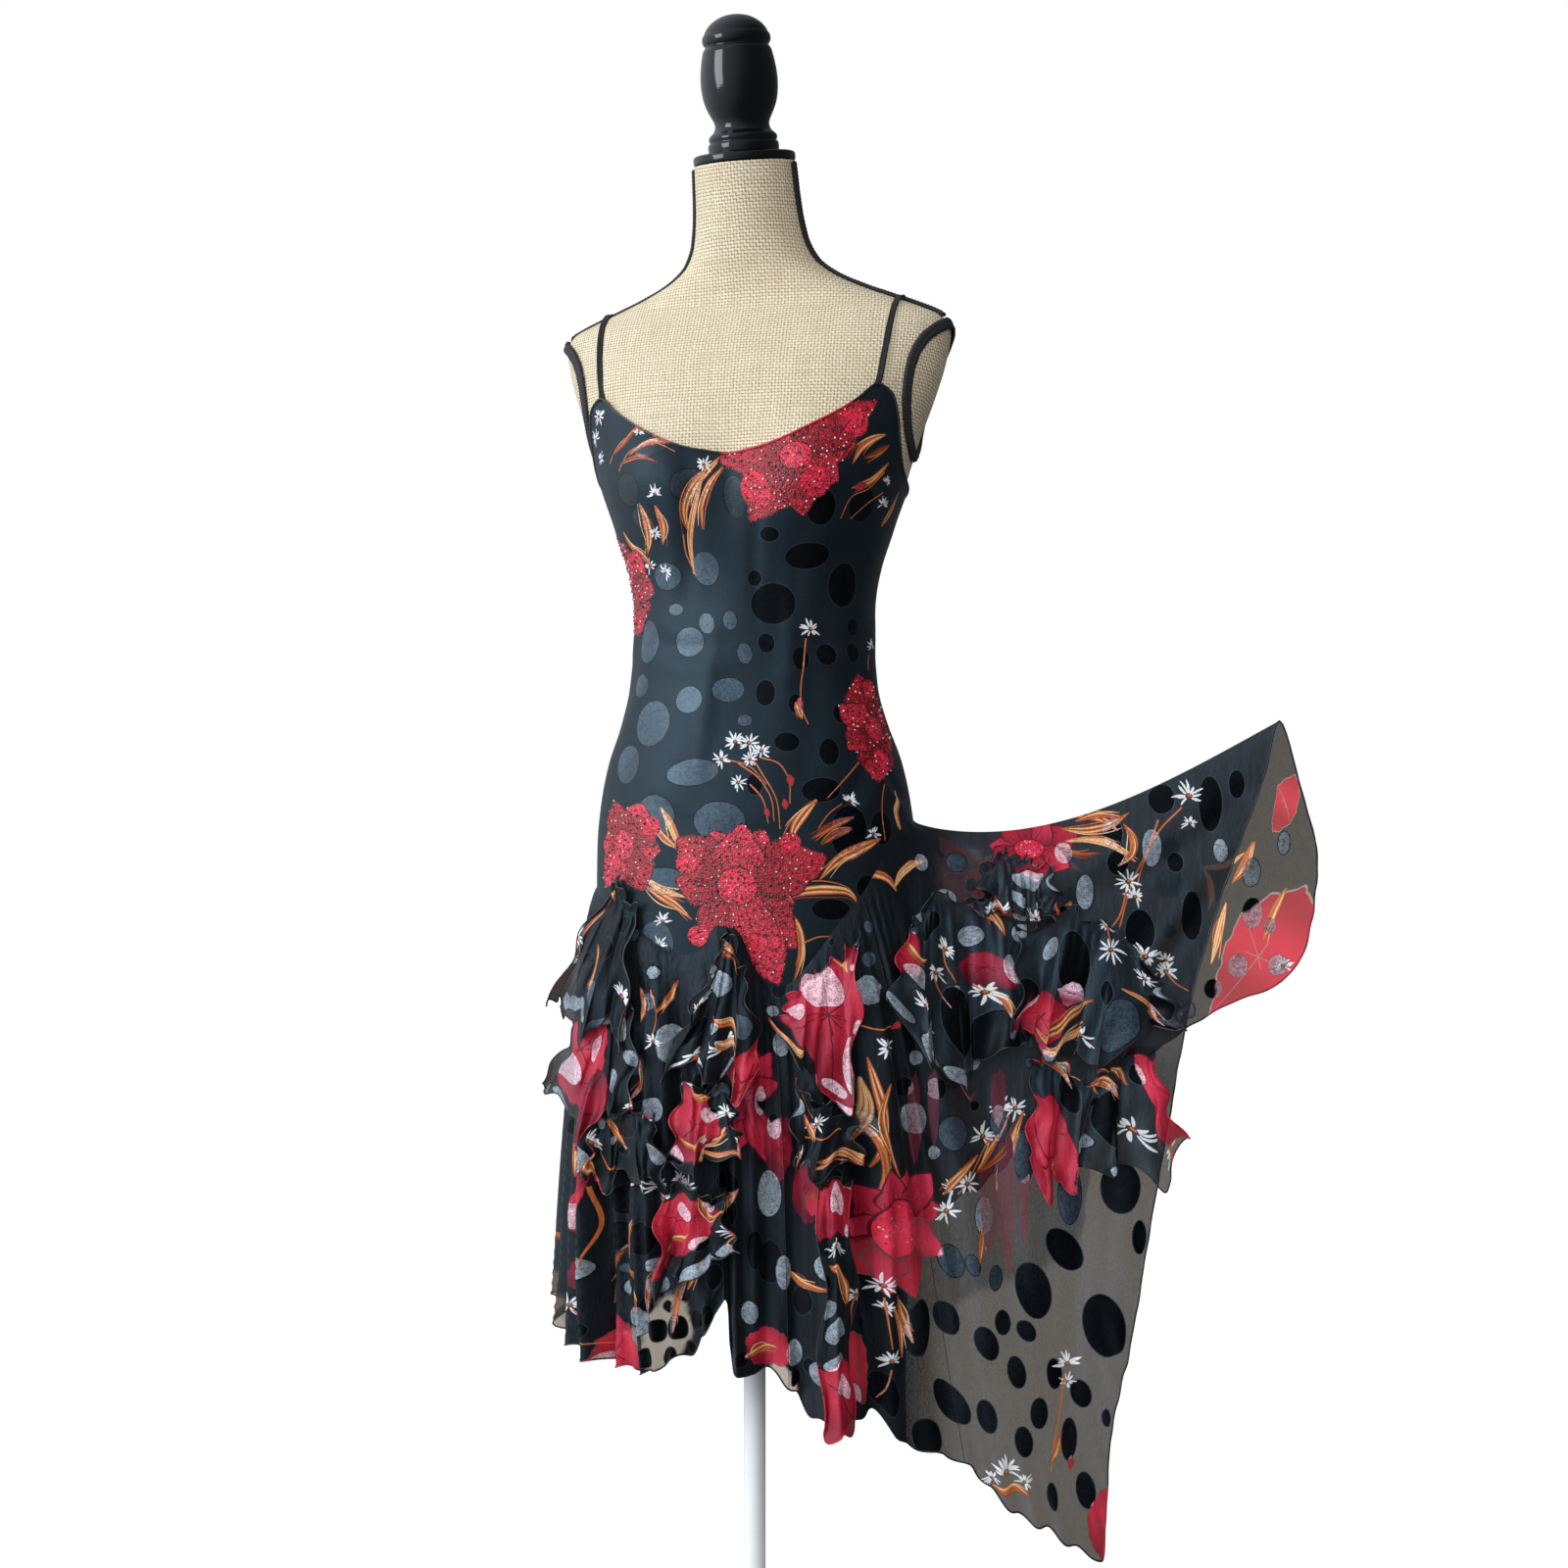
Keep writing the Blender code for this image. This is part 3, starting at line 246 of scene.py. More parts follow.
# The same on the hidden side, finished plainly
BACK_RUFFLES = {
    "ruffle_back_left": dict(
        top=[(-0.128, 0.782), (-0.075, 0.752), (-0.030, 0.742)],
        low=[(-0.150, 0.672), (-0.085, 0.632), (-0.030, 0.650)],
        lift=(0.006, 0.020), folds=2.5, deep=0.008, cols=12, rows=6, start=0.3),
    "ruffle_back_right": dict(
        top=[(0.030, 0.742), (0.085, 0.764), (0.150, 0.800)],
        low=[(0.030, 0.650), (0.090, 0.625), (0.165, 0.660)],
        lift=(0.006, 0.020), folds=2.5, deep=0.008, cols=12, rows=6, start=0.8),
}


# ---------------------------------------------------------------- curves and tables
def smooth_table(xs, ys, x):
    """Monotone cubic through a table's rows; ys may hold several columns."""
    xs = np.asarray(xs, float)
    ys = np.asarray(ys, float)
    flat = ys.ndim == 1
    ys = ys.reshape(len(xs), -1)
    x = np.asarray(x, float)
    h = np.diff(xs)[:, None]
    d = np.diff(ys, axis=0) / h
    m = np.zeros_like(ys)
    a, b = d[:-1], d[1:]
    w1, w2 = 2 * h[1:] + h[:-1], h[1:] + 2 * h[:-1]
    same = a * b > 0
    safe_a, safe_b = np.where(same, a, 1.0), np.where(same, b, 1.0)
    m[1:-1] = np.where(same, (w1 + w2) / (w1 / safe_a + w2 / safe_b), 0.0)
    m[0], m[-1] = d[0], d[-1]
    i = np.clip(np.searchsorted(xs, x, side="right") - 1, 0, len(xs) - 2)
    hh = h[i]
    t = np.clip((x - xs[i]) / np.diff(xs)[i], 0.0, 1.0)[..., None]
    out = (
        (2 * t**3 - 3 * t**2 + 1) * ys[i]
        + (t**3 - 2 * t**2 + t) * hh * m[i]
        + (-2 * t**3 + 3 * t**2) * ys[i + 1]
        + (t**3 - t**2) * hh * m[i + 1]
    )
    return out[..., 0] if flat else out


TORSO_A = np.array(TORSO)
NECK_A = np.array(NECKLINE)
SKIRT_A = np.array(SKIRT)


def torso(deg, z):
    """Point on the form's skin: degrees round from the front (+X is 90), section height."""
    deg, z = np.broadcast_arrays(np.asarray(deg, float), np.asarray(z, float))
    col = smooth_table(TORSO_A[:, 0], TORSO_A[:, 1:], z)
    half, front, back, mid, square, tilt = (col[..., k] for k in range(6))
    a = np.radians(deg)
    s, c = np.sin(a), np.cos(a)
    x = half * np.sign(s) * np.abs(s) ** (2 / square)
    depth = np.where(c > 0, mid - front, back - mid)
    y = mid - depth * np.sign(c) * np.abs(c) ** (2 / square)
    lean = np.tan(np.radians(tilt)) * (y - mid)
    near = np.exp(
        -((np.abs(x) - BUST["x"]) ** 2) / (2 * BUST["wide"] ** 2)
        - (z - BUST["z"]) ** 2 / (2 * BUST["tall"] ** 2)
    )
    y = y - BUST["rise"] * near * np.clip(c * 1.6, 0, 1)
    return np.stack([x, y, z + lean], axis=-1)


def skin(deg, z, out):
    """A point moved out from the form's skin along its normal."""
    deg, z = np.broadcast_arrays(np.asarray(deg, float), np.asarray(z, float))
    p = torso(deg, z)
    da = torso(deg + 1.5, z) - torso(deg - 1.5, z)
    dz = torso(deg, z + 0.002) - torso(deg, z - 0.002)
    n = np.cross(da, dz)
    n /= np.linalg.norm(n, axis=-1, keepdims=True) + 1e-12
    return p + n * np.asarray(out, float)[..., None]


def neckline(deg):
    d = np.abs((np.asarray(deg, float) + 180.0) % 360.0 - 180.0)
    return smooth_table(NECK_A[:, 0], NECK_A[:, 1], d)


def wrap(deg):
    return (np.asarray(deg, float) + 180.0) % 360.0 - 180.0


def seam_z(deg):
    return smooth_table(SKIRT_A[:, 0], SKIRT_A[:, 1], wrap(deg))


def row_frame(u, w, z):
    """Turns (u, w, z) back to the form's own X, Y, Z."""
    c, s = math.cos(TURN), math.sin(TURN)
    return np.stack([u * c + w * s, u * s - w * c, z], axis=-1)


def turned(p):
    """(u, w, z) of points in X, Y, Z."""
    c, s = math.cos(TURN), math.sin(TURN)
    return np.stack([p[..., 0] * c + p[..., 1] * s, p[..., 0] * s - p[..., 1] * c, p[..., 2]], axis=-1)


def fold_wave(deg):
    total = 0.0
    for period, share, start in FOLDS:
        total = total + share * np.cos(2 * math.pi * (deg / period + start))
    return total


def skirt(deg, t, folds=1.0):
    """Point on the skirt: degrees round at the seam, t from the seam (0) to the hem (1)."""
    deg, t = np.broadcast_arrays(wrap(deg), np.asarray(t, float))
    col = smooth_table(SKIRT_A[:, 0], SKIRT_A[:, 1:], deg)
    z0, u1, w1, z1, belly, bend, fold = (col[..., k] for k in range(7))
    top = skin(deg, z0 - SEAM, np.full_like(deg, EASE))
    hem = row_frame(u1, w1, z1)
    g = t**bend  # sideways travel comes early where the cloth hangs free
    p = np.empty(deg.shape + (3,))
    p[..., :2] = top[..., :2] * (1 - g)[..., None] + hem[..., :2] * g[..., None]
    p[..., 2] = top[..., 2] * (1 - t) + hem[..., 2] * t
    span = np.clip((np.abs(deg) - 0) / 1.0, 0, 1)
    drawn = np.exp(-(((deg - 90.0) / 9.0) ** 2))
    p[..., 2] -= SAG * drawn * np.sin(math.pi * t**0.8) * span
    outward = row_frame(u1 * 0.35, w1, 0 * z1)
    side = np.exp(-(((deg - 90.0) / 14.0) ** 2))
    normal = outward / (np.linalg.norm(outward, axis=-1, keepdims=True) + 1e-9)
    facing = row_frame(0 * u1, np.sign(w1 - 0.03) + 0 * z1, 0 * z1)
    pulled = np.clip((u1 - 0.14) / 0.12, 0, 1)[..., None]
    normal = normal * (1 - pulled) + facing * pulled
    swell = belly * np.sin(math.pi * np.clip(t, 0, 1) ** 0.8)
    grow = np.clip(t, 0, 1) ** 0.9
    near_form = np.clip((p[..., 2] - FORM_FOOT + 0.03) / 0.08, 0, 1) * (1 - np.clip((np.abs(u1) - 0.2) / 0.1, 0, 1))
    wave = fold_wave(deg)
    push = folds * fold * grow * (wave * (1 - near_form) + (0.5 + 0.5 * wave) * near_form) * (1 - side)
    # The top fold is a soft round bend, its two leaves held apart
    off = deg - 90.0
    apart = FOLD_ROUND * np.sin(math.pi * t**0.9) * np.sign(-off) * (1 - np.exp(-((off / 2.2) ** 2))) * np.exp(-((off / 15.0) ** 2))
    return p + normal * (swell + push)[..., None] + row_frame(0 * t, apart, 0 * t)


def body_cloth(deg, v, out=0.0):
    """Point on the dress body: v from the top edge (0) to the hip seam (1)."""
    deg, v = np.broadcast_arrays(np.asarray(deg, float), np.asarray(v, float))
    z = neckline(deg) * (1 - v) + seam_z(deg) * v
    slack = 0.004 * np.exp(-(((z - 1.03) / 0.05) ** 2)) + 0.002 * np.exp(-(((z - 1.14) / 0.03) ** 2))
    return skin(deg, z, EASE + slack + out)

def grid_normals(p):
    du = np.gradient(p, axis=1)
    dv = np.gradient(p, axis=0)
    n = np.cross(du, dv)
    return n / (np.linalg.norm(n, axis=-1, keepdims=True) + 1e-12)
# ---------------------------------------------------------------- ruffles on the skirt
def depth_map(front=True):
    """How far forward the skirt and hips stand over (u, z), so that ruffles clear them."""
    d = np.linspace(-180, 180, 1441)
    t = np.linspace(0, 1, 241)
    D, T = np.meshgrid(d, t)
    s = turned(skirt(D, T)).reshape(-1, 3)
    D, V = np.meshgrid(np.linspace(-180, 180, 721), np.linspace(0.55, 1, 121))
    b = turned(body_cloth(D, V)).reshape(-1, 3)
    every = np.concatenate([s, b])
    step = 0.004
    us, zs = np.arange(-0.26, 0.62, step), np.arange(0.10, 1.02, step)
    iu = np.clip(((every[:, 0] - us[0]) / step).round().astype(int), 0, len(us) - 1)
    iz = np.clip(((every[:, 2] - zs[0]) / step).round().astype(int), 0, len(zs) - 1)
    w = every[:, 1] if front else -every[:, 1]
    best = np.full((len(zs), len(us)), -1.0)
    np.maximum.at(best, (iz, iu), w)
    for _ in range(30):  # fills outward from the cloth, so that a ruffle may overhang its edge
        padded = np.pad(best, 1, constant_values=-1.0)
        near = np.stack([padded[a : a + best.shape[0], b : b + best.shape[1]] for a in range(3) for b in range(3)])
        known = near > -0.9
        mean = (near * known).sum(axis=0) / np.maximum(known.sum(axis=0), 1)
        best = np.where(best > -0.9, best, np.where(known.any(axis=0), mean, -1.0))
    for _ in range(2):  # widens the crests
        padded = np.pad(best, 1, mode="edge")
        best = np.stack([padded[a : a + best.shape[0], b : b + best.shape[1]] for a in range(3) for b in range(3)]).max(axis=0)
    for _ in range(2):
        padded = np.pad(best, 1, mode="edge")
        best = np.stack([padded[a : a + best.shape[0], b : b + best.shape[1]] for a in range(3) for b in range(3)]).mean(axis=0)
    return us, zs, best


def read_map(field, u, z):
    us, zs, best = field
    fu = np.clip((u - us[0]) / (us[1] - us[0]), 0, len(us) - 1.001)
    fz = np.clip((z - zs[0]) / (zs[1] - zs[0]), 0, len(zs) - 1.001)
    i, j = fz.astype(int), fu.astype(int)
    a, b = fz - i, fu - j
    return (
        best[i, j] * (1 - a) * (1 - b) + best[i + 1, j] * a * (1 - b) + best[i, j + 1] * (1 - a) * b + best[i + 1, j + 1] * a * b
    )


def ruffle_grid(field, sign, row, cols, rows):
    """Points of a ruffle: across from its left edge, down from its gathered top."""
    top, low = np.array(row["top"]), np.array(row["low"])
    s, t = np.meshgrid(np.linspace(0, 1, cols), np.linspace(0, 1, rows))
    a = smooth_table(np.linspace(0, 1, len(top)), top, s)
    b = smooth_table(np.linspace(0, 1, len(low)), low, s)
    uz = a * (1 - t)[..., None] + b * t[..., None]
    wave = 0.5 - 0.5 * np.cos(2 * math.pi * (row["folds"] * s + row["start"]))
    flare = row["lift"][0] + (row["lift"][1] - row["lift"][0]) * t**1.3
    w = read_map(field, uz[..., 0], uz[..., 1]) + flare + row["deep"] * t * (wave - 0.5)
    return row_frame(uz[..., 0], sign * w, uz[..., 1])


# ---------------------------------------------------------------- the photograph's view
EYE_U, EYE_W, EYE_Z, PX = 0.0291, 1.62, 0.90, 1670.0


def to_px(p, sign=1.0):
    """Where points are seen in the photograph; with sign -1, in the same view from behind."""
    q = turned(np.asarray(p, float))
    k = PX / (EYE_W - sign * q[..., 1])
    return np.stack([800 + sign * (q[..., 0] - EYE_U) * k, 800 - (q[..., 2] - EYE_Z) * k], axis=-1)


def linear(c):
    """A colour given in 0-255 as it is seen, as linear light."""
    c = np.asarray(c, float) / 255
    return np.where(c < 0.04045, c / 12.92, ((c + 0.055) / 1.055) ** 2.4)


SIDEWAYS = row_frame(1.0, 0.0, 0.0)


# ---------------------------------------------------------------- printed and woven figures
# A figure is a list of shapes. A shape is (outline in metres, kind, colour function), kind
# "ink" for print, "satin" for a woven dot, "bead" for the beaded print.
def spaced(points, step):
    points = np.asarray(points, float)
    long = np.r_[0, np.cumsum(np.linalg.norm(np.diff(points, axis=0), axis=1))]
    count = max(2, int(math.ceil(long[-1] / step)) + 1)
    at = np.linspace(0, long[-1], count)
    return np.stack([np.interp(at, long, points[:, k]) for k in range(points.shape[1])], axis=1)


def curve_through(points, count=24):
    points = np.asarray(points, float)
    if len(points) == 2:
        return spaced(points, np.linalg.norm(points[1] - points[0]) / (count - 1) * 1.0001)
    long = np.r_[0, np.cumsum(np.linalg.norm(np.diff(points, axis=0), axis=1))]
    at = np.linspace(0, long[-1], count)
    tangent = np.gradient(points, long, axis=0)
    i = np.clip(np.searchsorted(long, at, side="right") - 1, 0, len(long) - 2)
    h = (long[i + 1] - long[i])[:, None]
    t = ((at - long[i]) / (long[i + 1] - long[i]))[:, None]
    return (
        (2 * t**3 - 3 * t**2 + 1) * points[i] + (t**3 - 2 * t**2 + t) * h * tangent[i]
        + (-2 * t**3 + 3 * t**2) * points[i + 1] + (t**3 - t**2) * h * tangent[i + 1]
    )


def band(points, half):
    """An outline with the given half widths along a line."""
    tangent = np.gradient(points, axis=0)
    tangent /= np.linalg.norm(tangent, axis=1, keepdims=True) + 1e-12
    side = np.stack([-tangent[:, 1], tangent[:, 0]], axis=1) * np.asarray(half)[:, None]
    return np.concatenate([points + side, (points - side)[::-1]])


def oval(cx, cy, rx, ry, turn=0.0, count=26):
    a = np.linspace(0, 2 * math.pi, count, endpoint=False)
    x, y = rx * np.cos(a), ry * np.sin(a)
    c, s = math.cos(turn), math.sin(turn)
    return np.stack([cx + x * c - y * s, cy + x * s + y * c], axis=1)


INK = {
    "red": (196, 34, 58), "red_deep": (150, 14, 40), "red_dark": (96, 8, 28), "red_bright": (226, 52, 82),
    "bead_red": (196, 29, 52), "bead_deep": (146, 10, 32), "bead_edge": (84, 4, 18), "disc": (214, 18, 50), "petal": (222, 46, 76),
    "orange": (200, 108, 52), "orange_deep": (142, 62, 28), "cream": (236, 196, 140), "white": (232, 236, 240),
    "grey": (150, 162, 172), "brown": (92, 44, 24), "pink": (232, 172, 200), "ghost": (92, 32, 46),
}
INK = {k: linear(v) / 1.18 for k, v in INK.items()}


def flat(name):
    c = INK[name]
    return lambda x, y: np.broadcast_to(c, x.shape + (3,))


def shade(one, two, along):
    """From one colour to another by along(x, y), 0 to 1."""
    a, b = INK[one], INK[two]
    return lambda x, y: a + (b - a) * np.clip(along(x, y), 0, 1)[..., None]


def petal(angle, length, width, rand, kind="bead", plain=False):
    """One broad petal with a waved edge and a short point, about the origin."""
    t = 1 - (1 - np.linspace(0, 1, 21)) ** 1.35
    body = (0.40 + 0.60 * np.sin(0.5 * math.pi * np.clip(t / 0.58, 0, 1)) ** 1.5) * np.clip((1 - t) / 0.40, 0, 1) ** 0.74
    lobe = rand.uniform(0, 6.28)
    left = width / 2 * body * (1 + 0.09 * np.sin(11.0 * t + lobe) + 0.04 * np.sin(23 * t + rand.uniform(0, 6.28)))
    right = width / 2 * body * (1 + 0.09 * np.sin(10.0 * t + lobe + 2.2) + 0.04 * np.sin(21 * t + rand.uniform(0, 6.28)))
    left[-1] = right[-1] = 0.0004
    sweep = rand.uniform(-0.10, 0.10) * length
    x = length * t
    y0 = sweep * t**2
    pts = np.concatenate([np.stack([x, y0 + left], 1), np.stack([x, y0 - right], 1)[::-1]])
    c, s = math.cos(angle), math.sin(angle)
    turn = lambda q: np.stack([q[:, 0] * c - q[:, 1] * s, q[:, 0] * s + q[:, 1] * c], axis=1)
    along = lambda px, py: ((px * c + py * s) / length - 0.15) / 0.85
    across = lambda px, py: np.abs(-px * s + py * c) / (width * 0.5)
    pre = "bead_" if kind == "bead" else "red_"
    rim_share, rim_wide = (0.955, 0.0004) if kind == "bead" else (0.94, 0.0006)
    inner = np.concatenate([np.stack([x, y0 + left * rim_share - rim_wide], 1), np.stack([x, y0 - right * rim_share + rim_wide], 1)[::-1]]) * np.array([0.982, 1.0])
    base, tip = ("bead_red", "petal") if kind == "bead" else ("red_deep", "red_bright")
    ends = (base, tip) if rand.random() < 0.40 else (("bead_deep", "bead_red") if kind == "bead" else ("red_deep", "red"))
    shapes = [
        (turn(pts), kind, flat("bead_edge" if kind == "bead" else "red_dark")),
        (turn(inner), kind, shade(ends[0], ends[1], lambda px, py: along(px, py) * (1 - 0.5 * across(px, py)))),
    ]
    if not plain:
        for off, reach in ((0.0, rand.uniform(0.6, 0.85)), (0.42, rand.uniform(0.4, 0.75)), (-0.42, rand.uniform(0.4, 0.75)), (0.75, 0.5), (-0.75, 0.5)):
            m = np.linspace(0.10, reach, 7)
            line = np.stack([length * m, y0[0] + sweep * m**2 + off * width * 0.5 * np.sin(math.pi * m) + 0.0008 * np.sin(9 * m + off * 7)], 1)
            shapes.append((turn(band(line, 0.00034 * (1.25 - m))), kind, flat("bead_edge" if kind == "bead" else "red_dark")))
    return shapes


def flower(petals, disc, seed, kind="bead", scale=1.0):
    """petals: (angle in degrees, length, width) in metres; the first lie under the later."""
    rand = random.Random(seed)
    shapes = []
    for angle, length, width in petals:
        shapes += petal(math.radians(angle), length * scale * 1.02, width * scale * 1.16, rand, kind)
    if disc:
        rx, ry = disc
        shapes.append((oval(0, 0, rx * 1.08, ry * 1.08), kind, flat("bead_edge" if kind == "bead" else "red_dark")))
        shapes.append((oval(0, 0, rx, ry), kind, shade("disc", "red_bright", lambda x, y: 1.2 - np.hypot(x / rx, y / ry))))
        if kind == "ink":
            # A seeded scatter of pale and dark specks over the disc
            for i in range(46):
                r, a = math.sqrt((i + 0.5) / 46) * 0.93, 2.39996 * i + rand.uniform(-0.25, 0.25)
                speck = rand.uniform(0.0005, 0.0010)
                shapes.append((oval(r * rx * math.cos(a), r * ry * math.sin(a), speck, speck, 0, 6), kind, flat(rand.choice(("red_dark", "pink", "red_dark", "red_deep")))))
    return shapes


def leaf(points, width, style=0):
    """A long leaf with paler streaks: style 0 orange, 1 cream, 2 brown."""
    line = curve_through(points, 20)
    t = np.linspace(0, 1, 20)
    half = 0.84 * width / 2 * np.sin(math.pi * np.clip(t, 0.004, 0.996) ** 0.9) ** 0.95 + 0.0002
    edge, fill, streak = (("orange_deep", "orange", "cream"), ("orange", "cream", "orange"), ("brown", "orange_deep", "orange"))[style]
    shapes = [(band(line, half + 0.0004), "ink", flat(edge)), (band(line, np.maximum(half - 0.0003, 0.0001)), "ink", flat(fill))]
    if width > 0.0035:
        tangent = np.gradient(line, axis=0)
        tangent /= np.linalg.norm(tangent, axis=1, keepdims=True) + 1e-12
        side = np.stack([-tangent[:, 1], tangent[:, 0]], axis=1)
        rows = ((0.40, 0.20, streak), (-0.38, 0.10, edge)) if width < 0.009 else ((0.55, 0.16, streak), (0.05, 0.12, edge), (-0.45, 0.14, streak))
        for off, wide, ink in rows:
            mid = line + side * (half * off)[:, None]
            shapes.append((band(mid[2:-2], np.maximum(half[2:-2] * wide, 0.0002)), "ink", flat(ink)))
        # Loose brush strokes that leave the leaf on either side
        loose = random.Random(int(abs(line[0, 0] * 7e5 + line[-1, 1] * 3e5)) % 99991)
        for ink in (edge, fill, streak):
            off = loose.choice((-1, 1)) * loose.uniform(0.6, 1.7)
            first, last = loose.randint(0, 5), loose.randint(13, 19)
            drift = np.linspace(0.15, 1.0, last - first + 1) if loose.random() < 0.6 else np.sin(np.linspace(0.3, 2.9, last - first + 1))
            mid = line[first : last + 1] + side[first : last + 1] * (width / 2 * off * drift)[:, None]
            shapes.append((band(mid, 0.00012 + 0.00042 * np.sin(np.linspace(0.1, 3.0, len(mid)))), "ink", flat(ink)))
    return shapes


def stem(points, width=0.0011, ink="orange"):
    line = curve_through(points, max(8, 5 * len(points)))
    return [(band(line, np.linspace(width * 0.62, width * 0.38, len(line))), "ink", flat(ink))]


def daisy(radius, turn, seed, opening=300.0):
    """A small flower of thin white petals, most of them on its upper side."""
    rand = random.Random(seed)
    shapes = []
    count = 10
    opening = opening * rand.choice((0.70, 0.85, 1.0))
    for i in range(count):
        a = math.radians(turn + (i / (count - 1) - 0.5) * opening + rand.uniform(-9, 9))
        r = radius * rand.uniform(0.66, 1.22)
        r0 = radius * 0.20
        bend = rand.uniform(-0.25, 0.25)
        t = np.linspace(0, 1, 6)
        ang = a + bend * t
        line = np.stack([(r0 + (r - r0) * t) * np.cos(ang), (r0 + (r - r0) * t) * np.sin(ang)], 1)
        half = radius * rand.uniform(0.062, 0.100) * np.sin(math.pi * np.clip(t * 0.9 + 0.08, 0, 1)) ** 0.7 + 0.0001
        shapes.append((band(line, half), "ink", flat("white")))
    shapes.append((oval(0, 0, radius * 0.24, radius * 0.20, 0, 10), "ink", flat("brown")))
    shapes.append((oval(radius * 0.03, radius * 0.04, radius * 0.13, radius * 0.10, 0, 8), "ink", flat("orange")))
    return shapes


def bud(length, turn, width):
    c, s = math.cos(math.radians(turn)), math.sin(math.radians(turn))
    shapes = []
    for out, wide, ink in ((1.0, 1.0, "orange_deep"), (0.86, 0.62, "red")):
        t = np.linspace(0, 1, 9)
        line = np.stack([t * length * out * c, t * length * out * s], 1)
        shapes.append((band(line, width / 2 * wide * np.sin(math.pi * np.clip(t, 0.02, 0.98)) ** 0.8), "ink", flat(ink)))
    return shapes


# Painted light: the dots are one satin, and each tone is its colour painted lighter or darker for how it catches the
# light, from black in shade to a painted glint at the brightest.
DOT_TONES = {"black": (0.0014, 0.0017, 0.0024), "coal": (0.0036, 0.0044, 0.0058), "dull": (0.0075, 0.0100, 0.0135), "lit": (0.026, 0.040, 0.056), "silver": (0.165, 0.195, 0.225)}


def dot(wide, tall, turn=0.0, tone="dull", grow=(0.0, 0.0)):
    """A woven dot with its light painted in: its tone is the satin's colour painted lighter or darker for how it lies
    to the light, and grow paints one side of it paler, a painted highlight.
    """
    rx, ry = wide / 2, tall / 2
    dark, pale = np.array(DOT_TONES[tone]), np.array(DOT_TONES[tone]) * 1.6
    gx, gy = grow
    paint = lambda x, y: dark * 0.75 + (pale - dark * 0.75) * np.clip(0.5 + gx * x / rx + gy * y / ry, 0, 1)[..., None]
    # The rim round each dot is painted lighter round the darkest dots, a painted glint, and darker round the others, an
    # outline.
    return [(oval(0, 0, rx + 0.0007, ry + 0.0007, turn, 30), "rim", {"black": 2.4, "coal": 1.8}.get(tone, 0.30)), (oval(0, 0, rx - 0.0001, ry - 0.0001, turn, 30), "satin", paint)]


